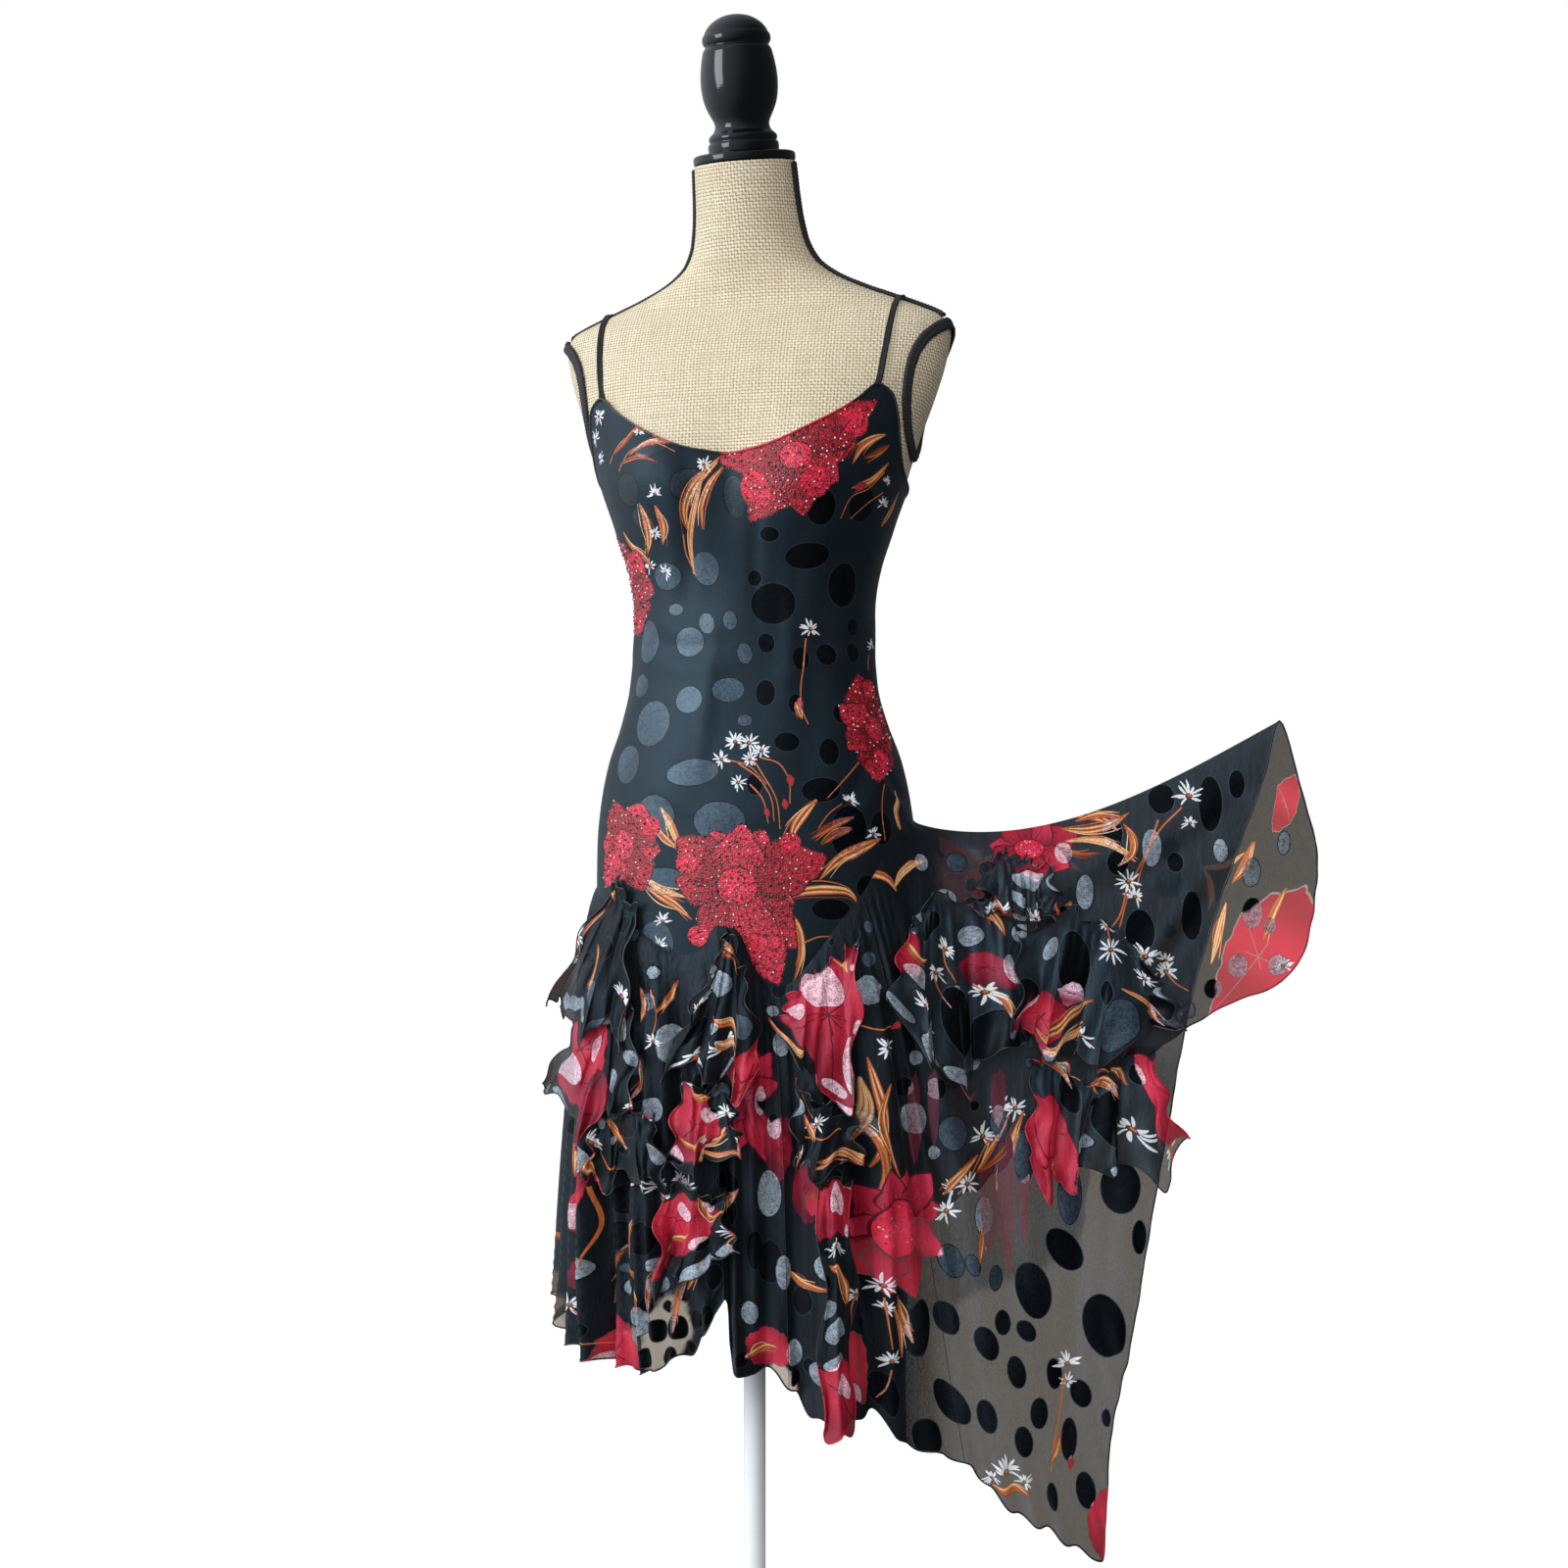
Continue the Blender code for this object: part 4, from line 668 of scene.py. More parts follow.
# ---------------------------------------------------------------- cloth surfaces
class Patch:
    """A piece of cloth over a rectangle of (a, b), base its smooth form and full its form with every crease."""

    def __init__(self, name, base, full, a, b, cells, sign=1.0, step=0.0050, edge=0.0025, close=(0.0, 0.0)):
        self.name, self.base, self.full, self.a, self.b, self.sign = name, base, full, a, b, sign
        na, nb = cells
        self.A, self.B = np.meshgrid(np.linspace(a[0], a[1], na), np.linspace(b[0], b[1], nb))
        P = base(self.A, self.B)
        self.P = P
        self.wide = np.linalg.norm(np.diff(P, axis=1), axis=-1).sum(axis=1)
        self.tall = np.linalg.norm(np.diff(P, axis=0), axis=-1).sum(axis=0)
        self.sa = self.wide.mean() / (a[1] - a[0])
        self.sb = self.tall.mean() / (b[1] - b[0])
        at = np.arange(na * nb).reshape(nb, na)
        quads = np.stack([at[:-1, :-1], at[:-1, 1:], at[1:, 1:], at[1:, :-1]], axis=-1).reshape(-1, 4)
        self.tris = np.concatenate([quads[:, [0, 1, 2]], quads[:, [0, 2, 3]]])
        self.ab = np.stack([self.A, self.B], axis=-1).reshape(-1, 2)
        flatp = P.reshape(-1, 3)
        self.near = BVHTree.FromPolygons([tuple(p) for p in flatp], [tuple(map(int, t)) for t in self.tris], all_triangles=True)
        px = to_px(flatp, sign)
        c = px[self.tris]
        area = (c[:, 1, 0] - c[:, 0, 0]) * (c[:, 2, 1] - c[:, 0, 1]) - (c[:, 2, 0] - c[:, 0, 0]) * (c[:, 1, 1] - c[:, 0, 1])
        keep = (np.sign(area) == np.sign(area.sum())) & (np.abs(area) > 0.02)
        self.seen = self.tris[keep]
        self.px = px
        self.view = BVHTree.FromPolygons([(p[0], p[1], 0.0) for p in px], [tuple(map(int, t)) for t in self.seen], all_triangles=True)
        self.shapes = []  # (polygon in a, b, layer, kind, colour function, origin, e1, e2)
        self.step, self.edge = step, edge
        self.pale = (0.10, 0.04)  # how much a dot pales red print, and other print
        self.veil = 1.0  # how solid print is on sheer cloth

    def _mix(self, corners, where, tris, idx):
        """(a, b) at points of triangles, by their place among the corners."""
        t = tris[idx]
        p0, p1, p2 = corners[t[:, 0]], corners[t[:, 1]], corners[t[:, 2]]
        v0, v1, v2 = p1 - p0, p2 - p0, where - p0
        d00, d01, d11 = (v0 * v0).sum(-1), (v0 * v1).sum(-1), (v1 * v1).sum(-1)
        d20, d21 = (v2 * v0).sum(-1), (v2 * v1).sum(-1)
        den = d00 * d11 - d01 * d01
        den = np.where(np.abs(den) < 1e-18, 1e-18, den)
        v = np.clip((d11 * d20 - d01 * d21) / den, 0, 1)
        w = np.clip((d00 * d21 - d01 * d20) / den, 0, 1)
        over = np.maximum(v + w, 1.0)
        v, w = v / over, w / over
        return self.ab[t[:, 0]] * (1 - v - w)[:, None] + self.ab[t[:, 1]] * v[:, None] + self.ab[t[:, 2]] * w[:, None]

    def anchor(self, x, y):
        """The cloth seen at a pixel: (origin, right, up, metres per pixel, share of its width that is seen)."""
        loc, _, idx, far = self.view.find_nearest((x, y, 0.0))
        ab = self._mix(self.px, np.array([[loc[0], loc[1]]]), self.seen, np.array([idx]))[0]
        return self.anchor_ab(ab[0], ab[1]) + (far,)

    def far(self, x, y):
        """How many pixels the cloth seen is from this one."""
        return self.view.find_nearest((x, y, 0.0))[3]

    def anchor_ab(self, a, b):
        da, db = (self.a[1] - self.a[0]) * 0.01, (self.b[1] - self.b[0]) * 0.01
        a_lo, a_hi = np.clip([a - da, a + da], *self.a)
        b_lo, b_hi = np.clip([b - db, b + db], *self.b)
        p = self.base(np.array([a, a_lo, a_hi, a, a]), np.array([b, b, b, b_lo, b_hi]))
        n = np.cross(p[2] - p[1], p[4] - p[3])
        n /= np.linalg.norm(n) + 1e-12
        e1 = np.cross(n, [0.0, 0.0, 1.0])
        e1 /= np.linalg.norm(e1) + 1e-12
        if e1 @ SIDEWAYS * self.sign < 0:
            e1 = -e1
        e2 = np.cross(n, e1)
        e2 /= np.linalg.norm(e2) + 1e-12
        if e2[2] < 0:
            e2 = -e2
        k = (EYE_W - self.sign * turned(p[0])[1]) / PX
        return p[0], e1, e2, k, max(abs(e1 @ SIDEWAYS), 0.42)

    def place(self, origin, e1, e2, outline):
        want = origin + outline[:, :1] * e1 + outline[:, 1:2] * e2
        loc, idx = np.empty_like(want), np.empty(len(want), int)
        for i, p in enumerate(want):
            hit = self.near.find_nearest(p)
            loc[i], idx[i] = hit[0], hit[2]
        flatp = self.P.reshape(-1, 3)
        return self._mix(flatp, loc, self.tris, idx)

    def put(self, shapes, x=None, y=None, ab=None, layer="ink"):
        """Adds a figure's shapes at a pixel, or at (a, b)."""
        if ab is None:
            origin, e1, e2, k, seen, far = self.anchor(x, y)
            if far > 14:
                return
        else:
            origin, e1, e2, k, seen = self.anchor_ab(*ab)
        for outline, kind, ink in shapes:
            poly = self.place(origin, e1, e2, np.asarray(outline, float))
            self.shapes.append((poly, kind, ink, origin, e1, e2))

    def px_frame(self, x, y):
        origin, e1, e2, k, seen, far = self.anchor(x, y)
        return k, seen, far


def tidy(poly, least):
    """Drops points nearer than least to the one before, and gives None for a sliver."""
    kept = [poly[0]]
    for p in poly[1:]:
        if np.hypot(*(p - kept[-1])) > least:
            kept.append(p)
    if len(kept) > 2 and np.hypot(*(kept[0] - kept[-1])) <= least:
        kept.pop()
    if len(kept) < 3:
        return None
    kept = np.array(kept)
    x, y = kept[:, 0], kept[:, 1]
    area = 0.5 * float(np.sum(x * np.roll(y, -1) - np.roll(x, -1) * y))
    if abs(area) < 4e-8:
        return None
    return kept if area > 0 else kept[::-1]


def within(points, outline):
    """Which points lie inside an outline, by its winding round them."""
    x, y = points[:, 0][:, None], points[:, 1][:, None]
    x0, y0 = outline[:, 0][None], outline[:, 1][None]
    x1, y1 = np.roll(outline[:, 0], -1)[None], np.roll(outline[:, 1], -1)[None]
    left = (x1 - x0) * (y - y0) - (x - x0) * (y1 - y0)
    up = (y0 <= y) & (y1 > y) & (left > 0)
    down = (y0 > y) & (y1 <= y) & (left < 0)
    return (up.sum(axis=1) - down.sum(axis=1)) != 0


def build_patch(patch, ground, name=None, collection=None):
    """The patch as a mesh whose faces follow its figures. ground(points) gives rgb and opacity."""
    scale = np.array([patch.sa, patch.sb])
    lo = np.array([patch.a[0], patch.b[0]]) * scale
    hi = np.array([patch.a[1], patch.b[1]]) * scale
    span = hi - lo
    nx, ny = max(2, int(span[0] / patch.edge)), max(2, int(span[1] / patch.edge))
    xs, ys = np.linspace(lo[0], hi[0], nx + 1), np.linspace(lo[1], hi[1], ny + 1)
    ring = np.concatenate([
        np.stack([xs, np.full_like(xs, lo[1])], 1)[:-1], np.stack([np.full_like(ys, hi[0]), ys], 1)[:-1],
        np.stack([xs[::-1], np.full_like(xs, hi[1])], 1)[:-1], np.stack([np.full_like(ys, lo[0]), ys[::-1]], 1)[:-1],
    ])
    coords = [ring]
    count = len(ring)
    edges = [(i, (i + 1) % count) for i in range(count)]
    used, outlines = [], []
    base_at = count
    for poly, kind, ink, origin, e1, e2 in patch.shapes:
        q = tidy(np.clip(poly * scale, lo, hi), 0.00016)
        if q is None:
            continue
        coords.append(q)
        edges += [(base_at + i, base_at + (i + 1) % len(q)) for i in range(len(q))]
        used.append((kind, ink, origin, e1, e2))
        outlines.append(q)
        base_at += len(q)
    mx, my = max(2, int(span[0] / patch.step)), max(2, int(span[1] / patch.step))
    gx, gy = np.meshgrid((np.arange(1, mx)) / mx, (np.arange(1, my)) / my)
    gx = gx + np.where(np.arange(1, my)[:, None] % 2 == 0, 0.25 / mx, -0.25 / mx)
    inner = np.stack([lo[0] + gx.ravel() * span[0], lo[1] + gy.ravel() * span[1]], axis=1)
    coords.append(inner)
    every = np.concatenate(coords)
    verts, _, tris, _, _, _ = delaunay_2d_cdt([Vector(p) for p in every], edges, [], 0, 1e-7, False)
    xy = np.array([(v[0], v[1]) for v in verts])
    tri = np.array([t for t in tris if len(t) == 3], int)
    ab = np.clip(xy / scale, [patch.a[0], patch.b[0]], [patch.a[1], patch.b[1]])
    base = patch.base(ab[:, 0], ab[:, 1])
    full = patch.full(ab[:, 0], ab[:, 1])
    top = np.full(len(tri), -1)
    weave = np.full(len(tri), -1)
    rim_lightness = np.ones(len(tri))
    satin = np.zeros(len(tri), bool)
    rim = np.zeros(len(tri), bool)
    middle = xy[tri].mean(axis=1)
    order = np.argsort(middle[:, 1], kind="stable")
    sorted_y = middle[order, 1]
    for m, q in enumerate(outlines):
        i0, i1 = np.searchsorted(sorted_y, [q[:, 1].min(), q[:, 1].max()])
        rows = order[i0:i1]
        c = middle[rows]
        rows = rows[(c[:, 0] >= q[:, 0].min()) & (c[:, 0] <= q[:, 0].max())]
        if not len(rows):
            continue
        rows = rows[within(middle[rows], q)]
        kind = used[m][0]
        if kind == "satin":
            satin[rows] = True
            weave[rows] = m
        elif kind == "rim":
            rim[rows] = True
            rim_lightness[rows] = used[m][1]
        else:
            top[rows] = m
    rgb, opacity = ground(base)
    ink = np.empty((len(tri), 3, 4))
    ink[..., :3] = rgb[tri]
    ink[..., 3] = opacity[tri]
    for m in np.unique(top[top >= 0]):
        rows = np.nonzero(top == m)[0]
        kind, paint, origin, e1, e2 = used[m]
        rel = base[tri[rows]] - origin
        ink[rows, :, :3] = paint(rel @ e1, rel @ e2)
    printed = top >= 0
    beaded = np.array([t >= 0 and used[t][0] == "bead" for t in top])
    satin &= ~beaded
    rim &= ~beaded & ~satin
    # Rims: the ground is painted lighter round the darkest dots, a painted glint, and darker round the others, an
    # outline; over print the rim is darker still.
    ink[..., :3] *= np.where(rim & ~printed, rim_lightness, 1.0)[:, None, None]
    ink[rim & printed, :, :3] *= 0.7
    shine = np.zeros((len(tri), 3, 3))
    for m in np.unique(weave[weave >= 0]):
        rows = np.nonzero(weave == m)[0]
        _, paint, origin, e1, e2 = used[m]
        rel = base[tri[rows]] - origin
        shine[rows] = paint(rel @ e1, rel @ e2)
    dotted = satin & ~printed
    ink[dotted, :, :3] = shine[dotted]
    # Print shows through a dot, paler where the satin catches the light
    both = satin & printed
    red = (ink[..., 0] > 0.12) & (ink[..., 2] > ink[..., 1] * 1.15)
    share = np.where(red, patch.pale[0], patch.pale[1])[..., None]
    ink[both, :, :3] = (ink[..., :3] * (1 - 0.75 * share) + np.array([0.74, 0.62, 0.70]) * share)[both]
    ink[satin | rim | beaded, :, 3] = 1.0
    sheer_print = printed & ~satin & ~beaded
    ink[sheer_print, :, 3] = np.maximum(ink[sheer_print, :, 3], np.minimum(1.0, ink[sheer_print, :, 3] * 0.6 + 0.42)) * patch.veil
    made = add_mesh(name or patch.name, full, tri)
    corner = made.data.color_attributes.new("ink", "FLOAT_COLOR", "CORNER")
    corner.data.foreach_set("color", ink.reshape(-1).astype(np.float32))
    uv = made.data.uv_layers.new(name="cut")
    uv.data.foreach_set("uv", xy[tri].reshape(-1).astype(np.float32))
    slot = np.where(beaded, 2, np.where(satin, 1, 0)).astype(np.int32)
    made.data.polygons.foreach_set("material_index", slot)
    patch.mesh = dict(ab=ab, xy=xy, tri=tri, full=full, ink=ink)
    return made


def add_mesh(name, points, faces, smooth=True):
    mesh = bpy.data.meshes.new(name)
    points = np.ascontiguousarray(points, np.float32)
    faces = np.ascontiguousarray(faces, np.int32)
    mesh.vertices.add(len(points))
    mesh.vertices.foreach_set("co", points.ravel())
    mesh.loops.add(faces.size)
    mesh.loops.foreach_set("vertex_index", faces.ravel())
    mesh.polygons.add(len(faces))
    size = faces.shape[1]
    mesh.polygons.foreach_set("loop_start", np.arange(0, faces.size, size, dtype=np.int32))
    mesh.polygons.foreach_set("loop_total", np.full(len(faces), size, np.int32))
    mesh.update(calc_edges=True)
    mesh.validate(clean_customdata=False)
    mesh.polygons.foreach_set("use_smooth", np.full(len(mesh.polygons), smooth))
    obj = bpy.data.objects.new(name, mesh)
    bpy.context.scene.collection.objects.link(obj)
    return obj


def join_meshes(name, parts, smooth=True):
    """One mesh of many (points, faces) with faces of one size."""
    at, points, faces = 0, [], []
    for p, f in parts:
        points.append(p)
        faces.append(np.asarray(f) + at)
        at += len(p)
    return add_mesh(name, np.concatenate(points), np.concatenate(faces), smooth)


def tube_mesh(path, radius, sides=6, closed=False, squash=1.0, up=None):
    """Points and quads of a tube along a path; up squashes it along one direction."""
    path = np.asarray(path, float)
    tangent = np.gradient(path, axis=0)
    if closed:
        tangent = np.roll(path, -1, axis=0) - np.roll(path, 1, axis=0)
    tangent /= np.linalg.norm(tangent, axis=1, keepdims=True) + 1e-12
    ref = np.tile([0.0, 0.0, 1.0], (len(path), 1)) if up is None else np.asarray(up, float)
    flatish = np.abs((tangent * ref).sum(1)) > 0.97
    ref = np.where(flatish[:, None], np.array([0.0, 1.0, 0.0]), ref)
    side = np.cross(tangent, ref)
    side /= np.linalg.norm(side, axis=1, keepdims=True) + 1e-12
    for i in range(1, len(side)):
        if side[i] @ side[i - 1] < 0:
            side[i] = -side[i]
    other = np.cross(side, tangent)
    a = np.linspace(0, 2 * math.pi, sides, endpoint=False)
    r = np.broadcast_to(np.asarray(radius, float), (len(path),))
    pts = path[:, None] + side[:, None] * (np.cos(a)[None, :, None] * r[:, None, None]) + other[:, None] * (np.sin(a)[None, :, None] * r[:, None, None] * squash)
    count = len(path)
    faces = []
    last = count if closed else count - 1
    i, j = np.meshgrid(np.arange(last), np.arange(sides), indexing="ij")
    i, j = i.ravel(), j.ravel()
    i2, j2 = (i + 1) % count, (j + 1) % sides
    faces = np.stack([i * sides + j, i * sides + j2, i2 * sides + j2, i2 * sides + j], axis=1)
    return pts.reshape(-1, 3), faces


def grid_mesh(points):
    rows, cols = points.shape[:2]
    at = np.arange(rows * cols).reshape(rows, cols)
    return points.reshape(-1, 3), np.stack([at[:-1, :-1], at[:-1, 1:], at[1:, 1:], at[1:, :-1]], axis=-1).reshape(-1, 4)


def hem(patch, name, side="low", radius=0.0008, lift=0.0):
    """A rolled edge along one side of a built patch, in the print's colour there."""
    m = patch.mesh
    scale = np.array([patch.sa, patch.sb])
    lo, hi = np.array([patch.a[0], patch.b[0]]) * scale, np.array([patch.a[1], patch.b[1]]) * scale
    axis, value, run = {"low": (1, hi[1], 0), "top": (1, lo[1], 0), "left": (0, lo[0], 1), "right": (0, hi[0], 1)}[side]
    on = np.nonzero(np.abs(m["xy"][:, axis] - value) < 1e-6)[0]
    on = on[np.argsort(m["xy"][on, run])]
    path = m["full"][on]
    keep = np.r_[True, np.linalg.norm(np.diff(path, axis=0), axis=1) > 0.0004]
    on, path = on[keep], path[keep]
    colour = np.zeros((len(m["full"]), 4))
    colour[m["tri"].ravel()] = m["ink"].reshape(-1, 4)
    tone = colour[on, :3]
    red = (tone[:, 0] > 0.06) & (tone[:, 0] > 2.5 * tone[:, 2])
    ink = np.where(red[:, None], np.array([0.42, 0.012, 0.03]), np.array([0.010, 0.010, 0.012]))
    pts, faces = tube_mesh(path, radius)
    return pts, faces, np.repeat(ink, 6, axis=0)


# ---------------------------------------------------------------- where the figures are
# In the photograph's pixels. Angles are in degrees, anticlockwise from the right.
#  D x y wide tall turn           a woven dot, as wide as it is seen
#  F x y seed kind (rx, ry) [(angle, length, width) ...]   a flower, with its disc
#  L wide style (x, y) ...        a leaf      S wide (x, y) ...      a stem
#  Y x y radius turn              a daisy     B x y length turn wide  a bud
#  P ink (x, y) ...               a part of a larger flower that runs off the piece
#  E x y wide tall turn           a brighter dot under a flower's beading
BODY = [
    ("D", 665, 455, 40, 22, 12), ("D", 705, 495, 44, 34, 0), ("D", 750, 507, 22, 44, 8), ("D", 838, 517, 30, 38, 0), ("D", 880, 515, 26, 36, 0),
    ("D", 658, 528, 30, 26, 0), ("D", 720, 580, 27, 35, 10), ("D", 681, 588, 28, 28, 0), ("D", 824, 567, 46, 27, 8), ("D", 860, 597, 28, 45, 0),
    ("D", 893, 597, 16, 45, 0), ("D", 789, 616, 46, 42, 0), ("D", 703, 655, 30, 30, 0), ("D", 721, 636, 16, 22, 20), ("D", 745, 633, 14, 20, 10),
    ("D", 760, 667, 15, 22, 15), ("D", 782, 656, 17, 20, 10), ("D", 817, 672, 17, 24, 0), ("D", 843, 668, 20, 22, 0), ("D", 870, 666, 13, 20, 0),
    ("D", 662, 655, 20, 44, 0), ("D", 703, 714, 28, 28, 0), ("D", 743, 704, 33, 25, 0), ("D", 781, 707, 20, 27, 0), ("D", 665, 738, 36, 48, 12),
    ("D", 706, 788, 54, 27, 6), ("D", 803, 757, 26, 20, 0), ("D", 846, 767, 20, 28, 0), ("D", 838, 806, 40, 25, 4), ("D", 734, 838, 54, 40, 0),
    ("D", 668, 832, 40, 42, 0), ("D", 675, 899, 50, 27, 4), ("D", 848, 928, 40, 22, -4), ("D", 867, 850, 38, 56, 0), ("D", 812, 718, 15, 20, 0),
    ("D", 667, 965, 36, 46, -14), ("D", 640, 500, 22, 34, 0), ("D", 870, 640, 12, 18, 0), ("D", 770, 590, 14, 16, 0), ("D", 785, 545, 20, 15, 0),
    ("D", 640, 780, 24, 40, 0), ("D", 655, 700, 14, 24, 0), ("D", 690, 622, 14, 12, 0), ("D", 858, 728, 16, 20, 0), ("D", 760, 735, 15, 12, 0),
    ("D", 900, 845, 22, 34, 8), ("D", 884, 905, 20, 24, 0), ("D", 905, 690, 12, 26, 0), ("D", 905, 560, 16, 30, 0), ("D", 770, 800, 16, 22, 0),
    # leaves and stems about the left strap
    ("S", 1.2, (612, 470), (628, 452), (650, 440), (678, 436)), ("S", 1.2, (614, 478), (640, 456), (668, 452), (690, 462)),
    ("L", 6, 2, (622, 455), (638, 446), (655, 430), (664, 428)), ("L", 6, 0, (640, 462), (660, 452), (684, 452)), ("L", 5, 2, (628, 470), (650, 466), (672, 474)),
    ("Y", 611, 425, 9, 90), ("Y", 608, 448, 9, 120), ("Y", 613, 468, 8, 60), ("Y", 652, 440, 7, 80),
    # leaves from the bust flower to the middle
    ("L", 10, 0, (738, 463), (722, 480), (706, 498), (698, 520), (700, 545)), ("L", 5, 1, (722, 478), (713, 505), (706, 530), (702, 556), (704, 586)),
    ("L", 6, 0, (740, 474), (724, 494), (716, 516), (716, 540)), ("S", 1.3, (700, 545), (700, 566), (708, 588)), ("Y", 718, 474, 9, 110),
    ("L", 11, 0, (662, 512), (664, 530), (662, 548), (655, 566)), ("L", 9, 0, (672, 515), (676, 535), (672, 556)), ("S", 1.2, (664, 560), (656, 575), (650, 588)),
    ("Y", 668, 504, 9, 90), ("Y", 668, 544, 8, 70), ("Y", 663, 578, 9, 100), ("Y", 680, 584, 9, 40), ("L", 8, 0, (640, 540), (646, 556), (655, 566), (662, 580)),
    # right of the bust
    ("L", 9, 0, (906, 440), (892, 446), (878, 458), (870, 474)), ("L", 8, 2, (908, 452), (896, 462), (882, 470)), ("L", 7, 0, (905, 470), (892, 488), (872, 502)),
    ("S", 1.2, (905, 478), (888, 496), (868, 508), (862, 530)), ("B", 872, 498, 16, 20, 9), ("S", 1.2, (900, 500), (884, 515), (872, 532)), ("Y", 901, 515, 9, 90),
    ("Y", 905, 492, 7, 60), ("L", 6, 0, (912, 500), (910, 520), (902, 540)),
    # the single daisy on its stem
    ("Y", 827, 642, 11, 90), ("S", 1.4, (823, 650), (820, 680), (817, 705), (818, 725), (824, 740)), ("B", 815, 712, 13, -80, 7), ("L", 5, 0, (812, 716), (814, 726), (819, 734)),
    ("Y", 889, 660, 9, 100), ("S", 1.2, (888, 668), (886, 684)),
    # daisies over the middle flower
    ("S", 1.3, (764, 768), (778, 790), (792, 815), (796, 846)), ("S", 1.3, (775, 772), (796, 780), (805, 796), (806, 820)), ("S", 1.3, (752, 778), (775, 795), (787, 815), (790, 838)),
    ("S", 1.2, (765, 800), (778, 815), (784, 840)), ("S", 1.1, (742, 775), (765, 782), (782, 800)), ("Y", 750, 757, 11, 110), ("Y", 764, 758, 11, 80), ("Y", 777, 766, 10, 60),
    ("Y", 736, 775, 10, 130), ("Y", 753, 799, 9, 110), ("Y", 765, 775, 9, 90), ("B", 805, 790, 12, -75, 8), ("B", 800, 815, 11, -80, 7), ("B", 781, 824, 10, -70, 6),
    ("Y", 883, 769, 10, 100), ("S", 1.2, (880, 776), (862, 795), (843, 815)), ("Y", 868, 817, 9, 60), ("S", 1.1, (860, 820), (846, 830), (835, 845)), ("Y", 891, 851, 9, 80),
    ("S", 1.3, (903, 800), (900, 830), (902, 857)), ("Y", 885, 775, 7, 20),
    # leaves about the hips
    ("L", 11, 0, (926, 800), (920, 820), (922, 845), (934, 866)), ("L", 8, 1, (918, 806), (914, 826), (918, 850)), ("L", 12, 0, (834, 816), (822, 828), (812, 842), (806, 860)),
    ("L", 9, 2, (872, 834), (850, 842), (828, 856)), ("L", 14, 0, (906, 856), (880, 866), (855, 878), (836, 898)), ("L", 8, 2, (870, 846), (852, 852), (838, 862)),
    ("L", 9, 1, (673, 824), (682, 838), (690, 856), (698, 874)), ("L", 7, 0, (665, 836), (676, 852), (694, 868)), ("L", 10, 0, (655, 905), (672, 914), (690, 924), (706, 938)),
    ("L", 8, 1, (654, 895), (676, 908), (700, 915)), ("L", 11, 0, (794, 919), (818, 910), (846, 908), (868, 912), (880, 926)), ("L", 8, 0, (800, 925), (814, 945), (818, 970), (810, 1004)),
    ("L", 6, 0, (690, 955), (698, 985), (698, 1015), (692, 1045)), ("S", 1.4, (820, 962), (836, 956), (850, 956)), ("L", 8, 0, (835, 940), (856, 946), (875, 936)),
    ("L", 6, 1, (806, 975), (824, 966), (846, 964), (862, 950)), ("Y", 676, 940, 10, 90), ("Y", 670, 968, 10, 70), ("Y", 656, 1000, 11, 110),
    ("L", 7, 0, (905, 800), (916, 790), (926, 770), (926, 750)), ("L", 6, 0, (892, 872), (905, 868), (922, 872), (938, 884)),
    # beaded flowers
    ("F", 812, 464, 11, "bead", (17, 14), [(18, 80, 44), (150, 60, 42), (96, 44, 40), (60, 66, 44), (182, 80, 46), (238, 88, 46), (282, 72, 42), (333, 62, 42), (38, 112, 46)]),
    ("F", 636, 862, 12, "bead", (11, 15), [(70, 46, 36), (-10, 36, 34), (180, 30, 36), (112, 46, 30), (-62, 50, 34), (-118, 50, 32), (36, 42, 30)]),
    ("F", 752, 905, 13, "bead", (20, 19), [(60, 64, 46), (118, 62, 44), (-20, 60, 44), (172, 66, 46), (22, 98, 52), (141, 80, 46), (86, 64, 44), (-48, 86, 46), (-117, 78, 44), (-72, 108, 50)]),
    ("F", 893, 744, 14, "bead", (9, 12), [(0, 24, 40), (180, 26, 38), (100, 58, 30), (-96, 56, 30), (48, 34, 30), (136, 38, 26), (-140, 34, 26)]),
    ("F", 634, 600, 15, "bead", (9, 13), [(0, 26, 34), (180, 30, 40), (94, 54, 30), (-78, 54, 32), (42, 34, 28), (-30, 34, 26), (-120, 36, 30)]),
    # woven dots under the beading, where the red is brightest
    ("E", 771, 500, 28, 40, 20), ("E", 832, 490, 32, 34, 0), ("E", 872, 430, 28, 32, 0), ("E", 774, 962, 18, 22, 0), ("E", 712, 955, 20, 20, 0), ("E", 806, 860, 22, 20, 0),
    ("E", 642, 596, 20, 28, 0), ("E", 646, 630, 14, 20, 0), ("E", 664, 843, 20, 20, 0), ("E", 627, 880, 14, 20, 0), ("E", 887, 703, 14, 18, 0), ("E", 900, 778, 16, 26, 0), ("E", 700, 880, 22, 22, 0),
]

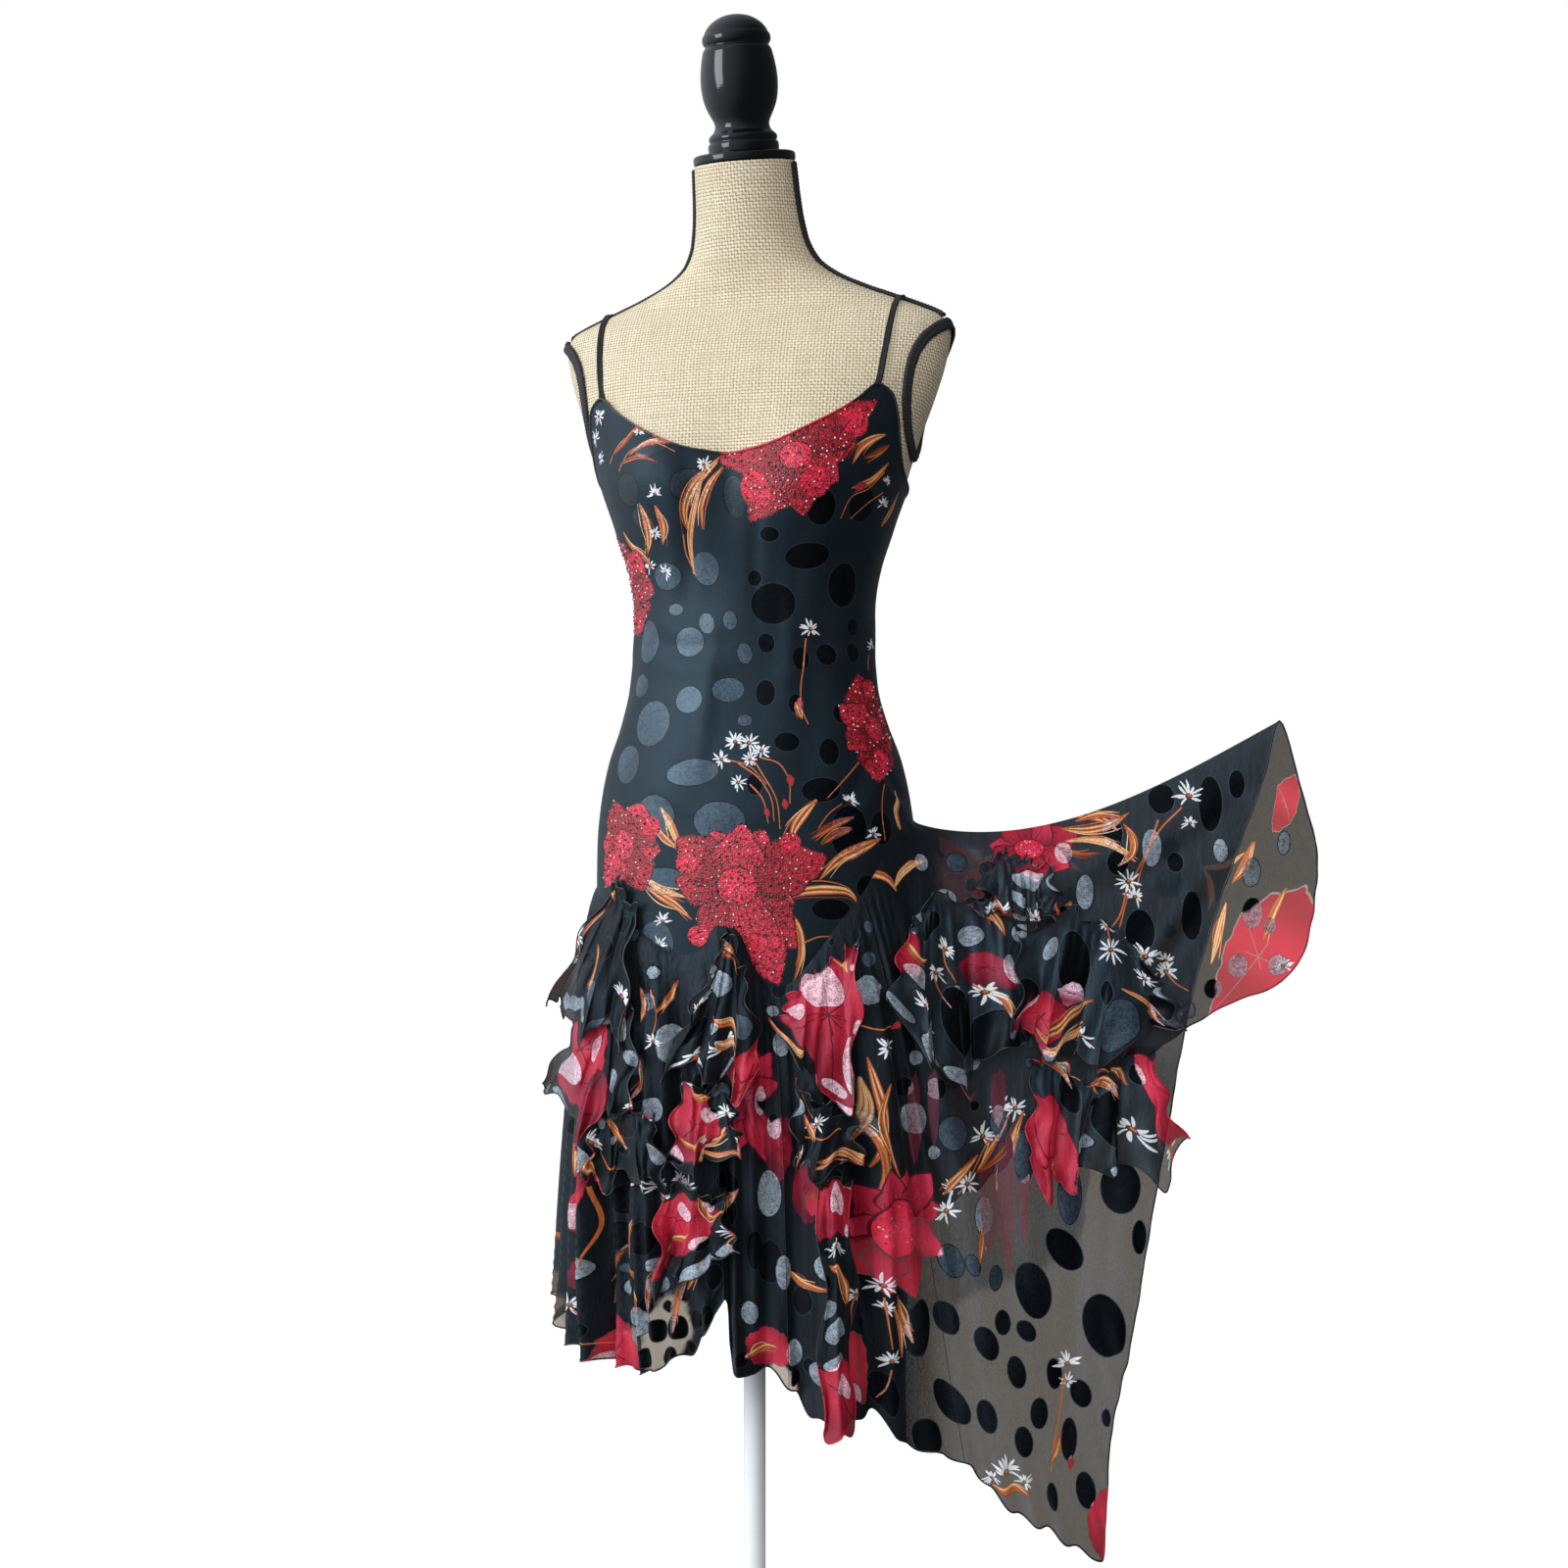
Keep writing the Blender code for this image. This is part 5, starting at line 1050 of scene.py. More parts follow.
SKIRT_FRONT = [
    # left side, between the ruffles
    ("D", 663, 1022, 17, 18, 0), ("D", 684, 1065, 28, 40, 10), ("D", 735, 1000, 26, 26, 0), ("D", 717, 1103, 15, 20, 0), ("D", 600, 1180, 20, 30, 0), ("D", 640, 1200, 16, 26, 0),
    ("D", 700, 1180, 18, 24, 0), ("D", 590, 1240, 18, 26, 0), ("D", 628, 1262, 18, 30, 0), ("D", 655, 1345, 26, 30, 0, "silver"), ("D", 690, 1356, 20, 26, 0, "black"), ("D", 712, 1346, 15, 22, 0, "black"), ("D", 698, 1322, 13, 16, 0, "black"), ("D", 704, 1374, 12, 12, 0, "black"), ("D", 680, 1334, 10, 12, 0, "black"), ("D", 672, 1356, 16, 22, 20, "black"), ("D", 662, 1384, 14, 20, 0, "black"), ("D", 684, 1384, 13, 18, 0, "black"), ("D", 664, 1330, 12, 16, 0, "black"), ("D", 572, 1340, 10, 14, 0, "black"),
    ("D", 583, 1352, 14, 18, 0, "black"), ("D", 604, 1352, 15, 18, 0, "black"), ("D", 672, 1310, 20, 18, 0), ("D", 730, 1300, 16, 26, 0), ("D", 605, 1290, 14, 22, 0), ("D", 745, 1235, 14, 28, 0), ("D", 724, 1336, 11, 18, 0, "black"), ("D", 814, 1412, 12, 18, 0, "black"), ("D", 828, 1396, 12, 16, 0, "black"),
    ("P", "red", (592, 1195), (606, 1190), (604, 1240), (598, 1265), (588, 1255)), ("P", "red", (618, 1352), (630, 1342), (640, 1356), (652, 1388), (650, 1412), (630, 1404), (614, 1410), (610, 1380)),
    ("L", 8, 2, (634, 1270), (622, 1300), (616, 1334)), ("L", 7, 2, (676, 1282), (668, 1310), (664, 1340)), ("L", 6, 0, (646, 1240), (640, 1262), (642, 1284)), ("L", 9, 2, (700, 1300), (690, 1328), (686, 1362)), ("L", 8, 0, (720, 1270), (712, 1296), (700, 1318)), ("S", 1.6, (608, 1210), (612, 1250), (606, 1290)), ("P", "red_deep", (590, 1285), (604, 1290), (600, 1318), (588, 1312)), ("D", 632, 1226, 20, 30, 0, "black"), ("D", 660, 1262, 22, 34, 0, "black"), ("D", 786, 1290, 26, 44, 0, "black"), ("S", 1.4, (664, 1010), (672, 1034), (668, 1060)),
    ("Y", 668, 1062, 10, 90), ("L", 7, 0, (690, 1000), (682, 1020), (672, 1034)), ("L", 6, 0, (650, 1080), (656, 1100), (650, 1120)),
    ("F", 762, 1118, 71, "ink", (0.1, 0.1), [(84, 62, 26), (112, 52, 24), (58, 50, 24), (-96, 56, 26), (-70, 74, 26), (-128, 40, 22), (20, 34, 22)]),
    ("L", 8, 0, (744, 1052), (756, 1072), (762, 1098)), ("P", "red_deep", (780, 1150), (800, 1140), (808, 1180), (794, 1206), (782, 1186)), ("D", 776, 1124, 12, 30, 0),
    ("P", "red", (608, 905), (630, 912), (640, 950), (634, 990), (618, 985), (612, 950)), ("L", 8, 0, (650, 1006), (658, 1024), (654, 1044)), ("L", 7, 0, (728, 1036), (740, 1048), (754, 1064)),
    ("Y", 655, 1206, 11, 80), ("Y", 672, 1210, 10, 100), ("Y", 691, 1206, 10, 60), ("Y", 590, 1330, 11, 90), ("L", 9, 0, (754, 1212), (742, 1226), (730, 1242)), ("L", 8, 0, (596, 1140), (590, 1170), (592, 1200)),
    ("L", 9, 0, (700, 1260), (690, 1285), (670, 1300)), ("L", 7, 0, (640, 1295), (652, 1315), (654, 1340)), ("L", 7, 1, (712, 1225), (720, 1245), (716, 1270)), ("S", 1.4, (590, 1338), (600, 1358), (622, 1368)),
    # middle, under the big flower
    ("D", 785, 1220, 24, 48, 0), ("D", 795, 1005, 15, 24, 0), ("D", 797, 1065, 17, 26, 0), ("D", 770, 1275, 16, 40, 0), ("D", 800, 1300, 16, 36, 0), ("D", 832, 1178, 14, 48, 0),
    ("D", 853, 1215, 17, 44, 0), ("D", 765, 1340, 18, 24, 0), ("D", 820, 1330, 18, 30, 0), ("D", 840, 1290, 20, 26, 0), ("D", 812, 1385, 18, 28, 0), ("D", 838, 1400, 22, 26, 0), ("D", 866, 1420, 20, 26, 0),
    ("D", 790, 1150, 14, 26, 0), ("D", 852, 1262, 20, 26, 0), ("D", 757, 1388, 14, 18, 0), 
    ("P", "red", (760, 1366), (778, 1356), (800, 1362), (806, 1392), (790, 1396), (766, 1392)), ("P", "red", (858, 1352), (876, 1360), (888, 1410), (884, 1428), (866, 1424), (856, 1390)),
    ("P", "red_deep", (812, 1190), (826, 1180), (832, 1215), (824, 1250), (812, 1235)), ("B", 828, 1240, 26, 90, 13), ("L", 10, 0, (846, 1290), (858, 1302), (864, 1322)), ("L", 8, 1, (852, 1300), (862, 1330), (858, 1350)),
    ("L", 8, 0, (760, 1388), (776, 1378), (796, 1376)), ("Y", 836, 1146, 10, 100), ("Y", 836, 1180, 8, 90), ("Y", 853, 1278, 9, 90), ("L", 7, 0, (806, 1300), (822, 1312), (842, 1312)),
    # the long leaves right of the deep fold
    ("L", 12, 0, (884, 1078), (890, 1105), (896, 1135), (894, 1165), (886, 1190)), ("L", 10, 0, (876, 1140), (890, 1160), (898, 1190), (892, 1225), (880, 1260)), ("L", 9, 1, (880, 1100), (884, 1130), (878, 1160), (872, 1190)),
    ("L", 8, 0, (905, 1105), (895, 1140), (902, 1170), (914, 1200)), ("L", 7, 0, (889, 1240), (886, 1270), (880, 1292)), ("S", 1.6, (875, 1045), (895, 1050), (910, 1048)), ("Y", 902, 1068, 12, 100), ("B", 910, 1050, 16, 30, 7),
    ("L", 9, 0, (912, 1320), (920, 1345), (930, 1370)), ("L", 8, 0, (905, 1330), (916, 1355), (920, 1385)), ("D", 885, 1010, 26, 30, 0), ("D", 895, 1007, 8, 8, 0),
    ("F", 914, 1253, 21, "ink", (25, 29), [(78, 60, 36), (130, 52, 34), (20, 52, 36), (-30, 58, 36), (190, 42, 34), (232, 58, 36), (-72, 72, 40), (102, 62, 30), (50, 66, 34), (-108, 66, 34)]),
    ("Y", 897, 1310, 12, 80), ("Y", 899, 1333, 9, 60), ("S", 1.4, (898, 1322), (902, 1350), (906, 1375)), ("Y", 906, 1387, 12, 100), ("S", 1.3, (906, 1396), (903, 1415), (897, 1432)),
    # the drawn-out panel, top to bottom
    ("D", 976, 880, 22, 20, 0), ("D", 964, 918, 24, 22, 0), ("D", 1013, 903, 17, 13, 0), ("D", 960, 967, 20, 18, 0), ("D", 1107, 910, 18, 36, 0), ("D", 1135, 850, 20, 36, 0),
    ("D", 1175, 865, 20, 40, 0), ("D", 1185, 815, 26, 32, 0), ("D", 1235, 820, 24, 58, 0), ("D", 1163, 950, 30, 44, 0), ("D", 1216, 934, 22, 50, 0), ("D", 1045, 892, 36, 26, 0),
    ("D", 1140, 880, 22, 26, 0), ("D", 1200, 880, 16, 20, 0), ("D", 1245, 868, 14, 24, 0), ("D", 1262, 800, 16, 30, 0), ("D", 1085, 870, 18, 24, 0), ("D", 940, 880, 14, 18, 0),
    ("F", 1050, 866, 22, "ink", (15, 11), [(170, 40, 30), (20, 52, 34), (-30, 44, 32), (210, 46, 32), (60, 40, 30), (120, 40, 28), (-90, 34, 32)]),
    ("L", 11, 0, (1080, 834), (1102, 830), (1124, 836), (1140, 848)), ("L", 10, 0, (1084, 846), (1108, 848), (1132, 842), (1152, 828)), ("L", 9, 1, (1088, 858), (1110, 856), (1134, 862), (1158, 880)),
    ("L", 9, 0, (1148, 838), (1156, 852), (1154, 872), (1140, 884)), ("L", 8, 0, (1098, 840), (1120, 832), (1146, 834)), ("L", 7, 2, (1080, 864), (1100, 872), (1122, 870)),
    ("L", 8, 0, (1094, 920), (1084, 934), (1076, 946)), ("Y", 1213, 812, 15, 100), ("Y", 1214, 840, 9, 80), ("S", 1.6, (1208, 822), (1185, 845), (1165, 880), (1150, 915), (1140, 950)), ("S", 1.5, (1183, 835), (1170, 870), (1160, 905)),
    ("Y", 1152, 900, 13, 110), ("Y", 1158, 915, 11, 70), ("Y", 1136, 966, 15, 90), ("Y", 1168, 976, 15, 60), ("Y", 1190, 980, 10, 30), ("S", 1.6, (1150, 910), (1142, 935), (1120, 960)),
    # the sheer corner's big dots lean with the weave
    ("Y", 930, 1010, 10, 80), ("D", 1143, 1211, 40, 52, 0), ("D", 1087, 1276, 30, 50, 38), ("D", 1054, 1316, 36, 58, 18), ("D", 1127, 1353, 42, 64, 12), ("D", 937, 1355, 32, 56, -8),
    ("D", 969, 1347, 20, 34, 18), ("D", 1006, 1369, 22, 36, 26), ("D", 1023, 1349, 16, 24, 10), ("D", 1047, 1357, 16, 24, 44), ("D", 1037, 1399, 18, 32, 14), ("D", 1076, 1402, 16, 30, 6),
    ("D", 1104, 1424, 20, 28, 20), ("D", 973, 1433, 24, 54, 38), ("D", 1007, 1445, 18, 34, 14), ("D", 1060, 1441, 18, 30, 0), ("D", 1044, 1469, 18, 30, 12), ("D", 1091, 1469, 17, 40, -4),
    ("D", 1129, 1447, 8, 18, 0), ("D", 1108, 1521, 20, 36, 12), ("D", 1073, 1524, 10, 26, 8), ("D", 902, 1421, 26, 44, 20), ("D", 946, 1467, 26, 40, 18), ("D", 971, 1287, 22, 36, 26, "lit"),
    ("D", 992, 1289, 14, 22, 20, "lit"), ("D", 1016, 1304, 14, 24, 0, "lit"), ("D", 1004, 1240, 20, 38, 0, "silver"), ("D", 935, 1142, 24, 32, 0, "silver"), ("D", 972, 1155, 30, 34, 0, "lit"),
    ("D", 1020, 1147, 18, 38, 0, "lit"), ("D", 1045, 1180, 20, 54, 0, "lit"), ("D", 1092, 1220, 24, 60, 0, "lit"), ("D", 1162, 1262, 14, 34, 0, "black"), ("D", 955, 1110, 20, 22, 0), ("D", 925, 1110, 16, 20, 0),
    ("Y", 1003, 1160, 14, 70), ("Y", 1021, 1131, 12, 100), ("Y", 1036, 1131, 12, 60), ("S", 1.6, (1012, 1165), (995, 1190), (975, 1215)), ("S", 1.5, (1030, 1140), (1018, 1165), (1000, 1190)), ("Y", 966, 1236, 14, 120),
    ("Y", 986, 1206, 13, 80), ("Y", 972, 1212, 10, 140), ("L", 10, 0, (1046, 1134), (1034, 1165), (1022, 1200), (1014, 1232)), ("L", 9, 0, (1000, 1180), (980, 1196), (962, 1218)), ("L", 7, 1, (1038, 1150), (1030, 1180), (1024, 1205)),
    ("L", 8, 0, (1008, 1240), (1002, 1262), (998, 1286)), ("Y", 1090, 1394, 14, 100), ("Y", 1090, 1412, 9, 60), ("S", 1.8, (1090, 1408), (1084, 1440), (1076, 1470), (1070, 1500)), ("L", 6, 0, (1084, 1462), (1078, 1478), (1070, 1492)),
    ("Y", 1026, 1500, 16, 90), ("Y", 1044, 1508, 9, 60), ("Y", 1012, 1512, 9, 120), ("L", 9, 0, (1012, 1520), (1030, 1516), (1050, 1522)), ("P", "red", (1108, 1545), (1130, 1518), (1136, 1560), (1124, 1590), (1112, 1572)),
    ("P", "ghost", (1000, 1200), (1008, 1176), (1016, 1200), (1014, 1262), (1006, 1276), (1000, 1240)), ("P", "ghost", (1020, 1170), (1030, 1160), (1036, 1190), (1034, 1262), (1028, 1298), (1020, 1270), (1018, 1220)), ("P", "ghost", (1041, 1206), (1048, 1200), (1050, 1240), (1044, 1272), (1040, 1244)), ("P", "ghost", (1012, 1100), (1022, 1092), (1026, 1124), (1018, 1150), (1012, 1130)), ("P", "ghost", (930, 1110), (937, 1096), (940, 1150), (936, 1190), (930, 1150)), ("P", "ghost", (948, 1100), (953, 1092), (957, 1140), (952, 1172), (948, 1140)),
    ("P", "ghost", (985, 975), (1020, 965), (1034, 1010), (1016, 1050), (994, 1030)), ("P", "red_deep", (1080, 1100), (1104, 1110), (1112, 1150), (1100, 1180), (1086, 1150)), ("B", 1092, 1500, 14, 80, 8),
]
SIDE_BACK = [
    ("P", "red", (1236, 1040), (1250, 965), (1268, 930), (1330, 905), (1330, 1000), (1280, 1020)), ("D", 1278, 932, 20, 32, 0), ("D", 1262, 985, 20, 24, 0), ("D", 1303, 985, 20, 22, 0), ("D", 1277, 890, 18, 30, 0),
    ("D", 1310, 860, 12, 24, 0), ("L", 9, 0, (1278, 858), (1270, 880), (1258, 902)), ("L", 8, 0, (1312, 905), (1300, 930), (1290, 960)), ("D", 1236, 1008, 16, 20, 0), ("D", 1212, 1030, 12, 18, 0), ("L", 8, 1, (1250, 920), (1244, 950), (1236, 985)),
    ("P", "red", (1302, 800), (1318, 790), (1318, 840), (1304, 850)), ("Y", 1308, 985, 10, 90), ("D", 1296, 945, 12, 18, 0),
]

RUFFLE_PRINT = {
    "ruffle_left_upper": [("D", 585, 1024, 26, 16, 0), ("D", 616, 965, 16, 26, 0), ("L", 8, 0, (600, 962), (606, 985), (600, 1010)), ("Y", 628, 1008, 9, 90), ("D", 606, 1004, 14, 20, 0), ("D", 634, 940, 12, 18, 0)],
    "ruffle_left_lower": [("P", "red", (560, 1040), (604, 1034), (614, 1060), (600, 1120), (560, 1116)), ("D", 578, 1092, 24, 30, 0), ("D", 606, 1070, 16, 24, 0), ("P", "red_deep", (590, 1100), (612, 1096), (608, 1150), (592, 1150)), ("D", 626, 1110, 14, 20, 0)],
    "ruffle_left_third": [("D", 640, 1150, 20, 24, 0), ("Y", 660, 1140, 9, 80), ("L", 7, 0, (612, 1140), (626, 1152), (640, 1170)), ("D", 665, 1172, 12, 16, 0)],
    "ruffle_centre_upper": [("D", 735, 1003, 26, 26, 0), ("L", 8, 0, (730, 1036), (744, 1046), (754, 1062)), ("Y", 716, 1010, 9, 100), ("D", 712, 1050, 18, 24, 0), ("D", 762, 1030, 14, 22, 0), ("P", "red", (752, 1058), (770, 1050), (786, 1075), (780, 1100), (758, 1096)), ("L", 6, 1, (736, 1060), (744, 1072), (756, 1080))],
    "ruffle_centre_lower": [("P", "red", (696, 1108), (708, 1110), (730, 1150), (716, 1176), (684, 1172)), ("L", 7, 0, (704, 1112), (716, 1118), (726, 1112)), ("D", 722, 1135, 15, 18, 0), ("Y", 737, 1140, 10, 90), ("L", 6, 0, (690, 1160), (704, 1164), (722, 1160))],
    "ruffle_centre_end": [("P", "red", (664, 1230), (690, 1224), (728, 1226), (720, 1262), (690, 1290), (668, 1286)), ("L", 8, 0, (712, 1222), (724, 1236), (740, 1240)), ("D", 700, 1240, 16, 14, 0), ("L", 6, 0, (676, 1280), (694, 1270), (708, 1258))],
    "ruffle_front_upper": [("P", "red", (788, 1036), (806, 1000), (836, 972), (860, 950), (884, 975), (880, 1040), (880, 1090), (868, 1110), (842, 1120), (822, 1075), (806, 1050)), ("D", 838, 1010, 40, 42, 0), ("D", 860, 1080, 24, 52, 0), ("D", 812, 1030, 14, 18, 0), ("L", 6, 1, (846, 960), (858, 972), (864, 990))],
    "ruffle_front_lower": [("Y", 836, 1146, 11, 100), ("S", 1.6, (826, 1160), (842, 1162), (862, 1158)), ("D", 856, 1136, 14, 18, 0), ("L", 6, 0, (820, 1138), (830, 1150), (836, 1166))],
    "ruffle_front_tail": [("P", "red", (836, 1200), (864, 1196), (866, 1260), (842, 1262)), ("P", "red", (840, 1396), (868, 1392), (872, 1470), (846, 1474)), ("D", 854, 1228, 14, 30, 0), ("L", 8, 0, (846, 1290), (858, 1306), (862, 1330)), ("Y", 852, 1276, 9, 90), ("D", 852, 1360, 16, 24, 0), ("D", 858, 1420, 12, 22, 0)],
    "ruffle_side_upper_left": [("D", 978, 1036, 30, 66, 4, "black"), ("D", 1010, 1062, 34, 60, -8, "black"), ("D", 930, 985, 20, 24, 0), ("D", 948, 945, 24, 22, 0), ("D", 990, 955, 26, 22, 0), ("D", 1024, 985, 16, 30, 0), ("Y", 930, 1012, 11, 90), ("Y", 950, 1066, 11, 90), ("P", "red_deep", (976, 982), (1002, 972), (1030, 984), (1022, 1004), (988, 1002)),
        ("L", 8, 0, (996, 1006), (1012, 1020), (1016, 1040)), ("Y", 1004, 1014, 12, 60), ("D", 940, 1045, 22, 28, 0), ("P", "red", (888, 940), (914, 934), (918, 985), (900, 992)), ("L", 7, 0, (920, 950), (930, 965), (944, 975))],
    "ruffle_side_gather": [("D", 1048, 895, 34, 20, 0), ("D", 1076, 905, 14, 18, 0), ("L", 7, 0, (1094, 920), (1084, 932), (1076, 944)), ("P", "red_deep", (1030, 884), (1060, 878), (1080, 884), (1062, 896))],
    "ruffle_side_upper_right": [("D", 1102, 985, 32, 58, 4), ("D", 1052, 1010, 24, 40, 0), ("P", "red", (1048, 1028), (1072, 1012), (1100, 1030), (1088, 1062), (1058, 1072)), ("L", 10, 0, (1062, 1060), (1084, 1052), (1104, 1036), (1124, 1020)), ("L", 9, 1, (1070, 1070), (1096, 1066), (1118, 1048)), ("D", 1150, 1040, 20, 50, 0),
        ("D", 1180, 1020, 18, 40, 0), ("Y", 1136, 966, 14, 90), ("Y", 1170, 978, 14, 60), ("D", 1136, 1010, 16, 24, 0), ("Y", 1196, 1075, 11, 90), ("D", 1076, 970, 16, 22, 0), ("L", 8, 0, (1150, 1004), (1168, 1022), (1178, 1050)), ("P", "pink", (1090, 1010), (1104, 1004), (1112, 1022), (1098, 1028))],
    "ruffle_side_lower": [("D", 1092, 1112, 22, 34, 0), ("D", 1132, 1140, 28, 54, 0), ("L", 10, 0, (1110, 1092), (1128, 1102), (1142, 1122)), ("L", 8, 0, (1120, 1086), (1140, 1092), (1152, 1110)), ("Y", 1158, 1150, 13, 100), ("P", "red_bright", (1160, 1080), (1186, 1078), (1204, 1120), (1210, 1150), (1188, 1180), (1172, 1140)),
        ("P", "red", (1044, 1120), (1068, 1116), (1094, 1150), (1092, 1200), (1060, 1212), (1046, 1170)), ("D", 1160, 1100, 14, 18, 0), ("D", 1112, 1168, 18, 20, 0), ("L", 7, 1, (1072, 1176), (1080, 1190), (1082, 1206))],
}


def draw(patches, rows, seed=0, over=()):
    """Puts the rows' figures on the cloth that is seen there, and on over the seams of its neighbours."""
    patches = patches if isinstance(patches, (list, tuple)) else [patches]
    for number, row in enumerate(rows):
        kind, rest = row[0], row[1:]
        if kind in "LS":
            points = np.array(rest[2:] if kind == "L" else rest[1:], float)
            x, y = points[len(points) // 2]
        elif kind == "P":
            points = np.array(rest[1:], float)
            x, y = points.mean(axis=0)
        else:
            x, y = rest[0], rest[1]
        best = min(patches, key=lambda p: p.far(x, y))
        origin, e1, e2, k, seen, far = best.anchor(x, y)
        if far > 16:
            continue
        # Where the cloth turns away, long figures aren't let out as far as dots
        lean_out = max(seen, 0.62) if kind in "LSYB" else seen
        local = lambda q: np.stack([(q[:, 0] - x) * k / lean_out, (y - q[:, 1]) * k], axis=1)
        if kind == "D":
            wide, tall, turn = rest[2:5]
            # A dot's tone is painted light, given in its row or picked by where it lies, and its painted highlight
            # leans up and to the left, towards the key light, by a seeded amount.
            tone = rest[5] if len(rest) > 5 else best.tone(x, y, wide, tall)
            lean = random.Random(int(x * 31 + y * 17))
            shapes = dot(wide * k / seen, tall * k, math.radians(turn), tone, (lean.uniform(-0.7, 0.1), lean.uniform(-0.3, 0.5)))
        elif kind == "E":
            rx, ry, turn = rest[2] * k / seen / 2, rest[3] * k / 2, math.radians(rest[4])
            shapes = [(oval(0, 0, rx * 1.07, ry * 1.07, turn, 30), "bead", flat("bead_deep")), (oval(0, 0, rx, ry, turn, 30), "bead", shade("disc", "petal", lambda a, b, r=rx: 0.4 + 0.4 * a / r))]
        elif kind == "F":
            _, _, flower_seed, look, disc, petals = rest
            shapes = flower(petals, (disc[0] * k, disc[1] * k), flower_seed, look, scale=k)
            shapes = [(s[0] * np.array([1 / seen, 1.0]), s[1], (lambda f, g: (lambda a, b: f(a * g, b)))(s[2], seen)) for s in shapes]
        elif kind == "L":
            shapes = leaf(local(points), rest[0] * k, rest[1])
        elif kind == "S":
            shapes = stem(local(points), rest[0] * k)
        elif kind == "Y":
            shapes = daisy(rest[2] * k, rest[3], seed + number)
        elif kind == "B":
            shapes = bud(rest[2] * k, rest[3], rest[4] * k)
        else:
            outline = curve_through(local(np.concatenate([points, points[:1]])), 12 * len(points))[:-1]
            turn = np.linspace(0, 2 * math.pi, len(outline), endpoint=False)
            outline = outline * (1 + 0.035 * np.sin(11 * turn + x) + 0.02 * np.sin(23 * turn + y))[:, None]
            if rest[0] == "ghost":
                shapes = [(outline, "ink", flat("ghost"))]
            else:
                corners = local(points)
                low, high = ("red_deep", rest[0]) if rest[0] != "red_deep" else ("red_dark", "red_deep")
                reach = np.abs(corners).max() + 1e-6
                shapes = [(outline, "ink", flat("red_dark")), (outline * 0.965, "ink", shade(low, high, lambda a, b, g=reach: 0.62 + 0.55 * np.sin(2.1 * a / g + 3.3 * b / g + 0.8)))]
                for i in range(0, len(corners), 2):
                    vein = curve_through(np.stack([corners[i] * -0.25, corners[i] * 0.35 + np.array([0.0010, 0.0007]), corners[i] * 0.86]), 9)
                    shapes.append((band(vein, 0.00034 * np.linspace(1.2, 0.4, 9)), "ink", flat("red_dark")))
        for p in list(patches) + list(over):
            for outline, look, paint in shapes:
                outline = np.asarray(outline, float)
                want = origin + outline[:, :1] * e1 + outline[:, 1:2] * e2
                if p is not best:
                    probe = want[:: max(1, len(want) // 8)]
                    if min(p.near.find_nearest(q)[3] for q in probe) > 0.006:
                        continue
                poly = p.place(origin, e1, e2, outline)
                p.shapes.append((poly, look, paint, origin, e1, e2))


def scatter(patches, box, seed, dots=0, daisies=0, leaves=0, flowers=0, taken=(), sizes=(12, 44), look="ink", over=()):
    """Seeded figures inside a box of pixels, clear of the places already taken."""
    rand = random.Random(seed)
    x0, y0, x1, y1 = box
    held = [(t[0], t[1], t[2]) for t in taken]
    rows = []

    def spot(radius, tries=60):
        for _ in range(tries):
            x, y = rand.uniform(x0, x1), rand.uniform(y0, y1)
            if all(math.hypot(x - a, y - b) > radius + r for a, b, r in held):
                if min(p.far(x, y) for p in patches) < 1.0:
                    held.append((x, y, radius))
                    return x, y
        return None

    for _ in range(flowers):
        at = spot(62)
        if at:
            turn = rand.uniform(0, 60)
            petals = [(turn + 60 * i + rand.uniform(-10, 10), rand.uniform(52, 80), rand.uniform(38, 48)) for i in range(6)]
            petals += [(turn + 30 + 120 * i, rand.uniform(44, 56), 34) for i in range(3)]
            rows.append(("F", at[0], at[1], rand.randrange(1000), look, (rand.uniform(15, 20), rand.uniform(15, 20)), petals))
            for _ in range(3):
                a = rand.uniform(0, 6.28)
                sx, sy = at[0] + 58 * math.cos(a), at[1] + 58 * math.sin(a)
                bend = rand.uniform(-0.9, 0.9)
                pts = [(sx + 17 * i * math.cos(a + bend * i / 3), sy + 17 * i * math.sin(a + bend * i / 3)) for i in range(4)]
                rows.append(("L", rand.uniform(7, 12), rand.choice((0, 0, 1, 2))) + tuple(pts))
    for _ in range(leaves):
        at = spot(20)
        if at:
            a = rand.uniform(0, 6.28)
            for turn in (0.0, rand.uniform(0.4, 0.8)):
                bend = rand.uniform(-0.8, 0.8)
                pts = [(at[0] + 15 * i * math.cos(a + turn + bend * i / 3), at[1] + 15 * i * math.sin(a + turn + bend * i / 3)) for i in range(4)]
                rows.append(("L", rand.uniform(6, 11), rand.choice((0, 0, 1, 2))) + tuple(pts))
    for _ in range(daisies):
        at = spot(13)
        if at:
            rows.append(("Y", at[0], at[1], rand.uniform(9, 13), rand.uniform(50, 130)))
            a = rand.uniform(-2.2, -0.9)
            rows.append(("S", 1.3, at, (at[0] + 14 * math.cos(a), at[1] - 14 * math.sin(a)), (at[0] + 30 * math.cos(a + 0.2), at[1] - 30 * math.sin(a + 0.2))))
    for _ in range(dots):
        size = rand.uniform(*sizes) * rand.choice((0.5, 0.75, 1.0, 1.0))
        at = spot(size * 0.55)
        if at:
            rows.append(("D", at[0], at[1], size * rand.uniform(0.7, 1.1), size * rand.uniform(0.8, 1.25), rand.uniform(-30, 30)))
    draw(patches, rows, seed, over)
    return rows


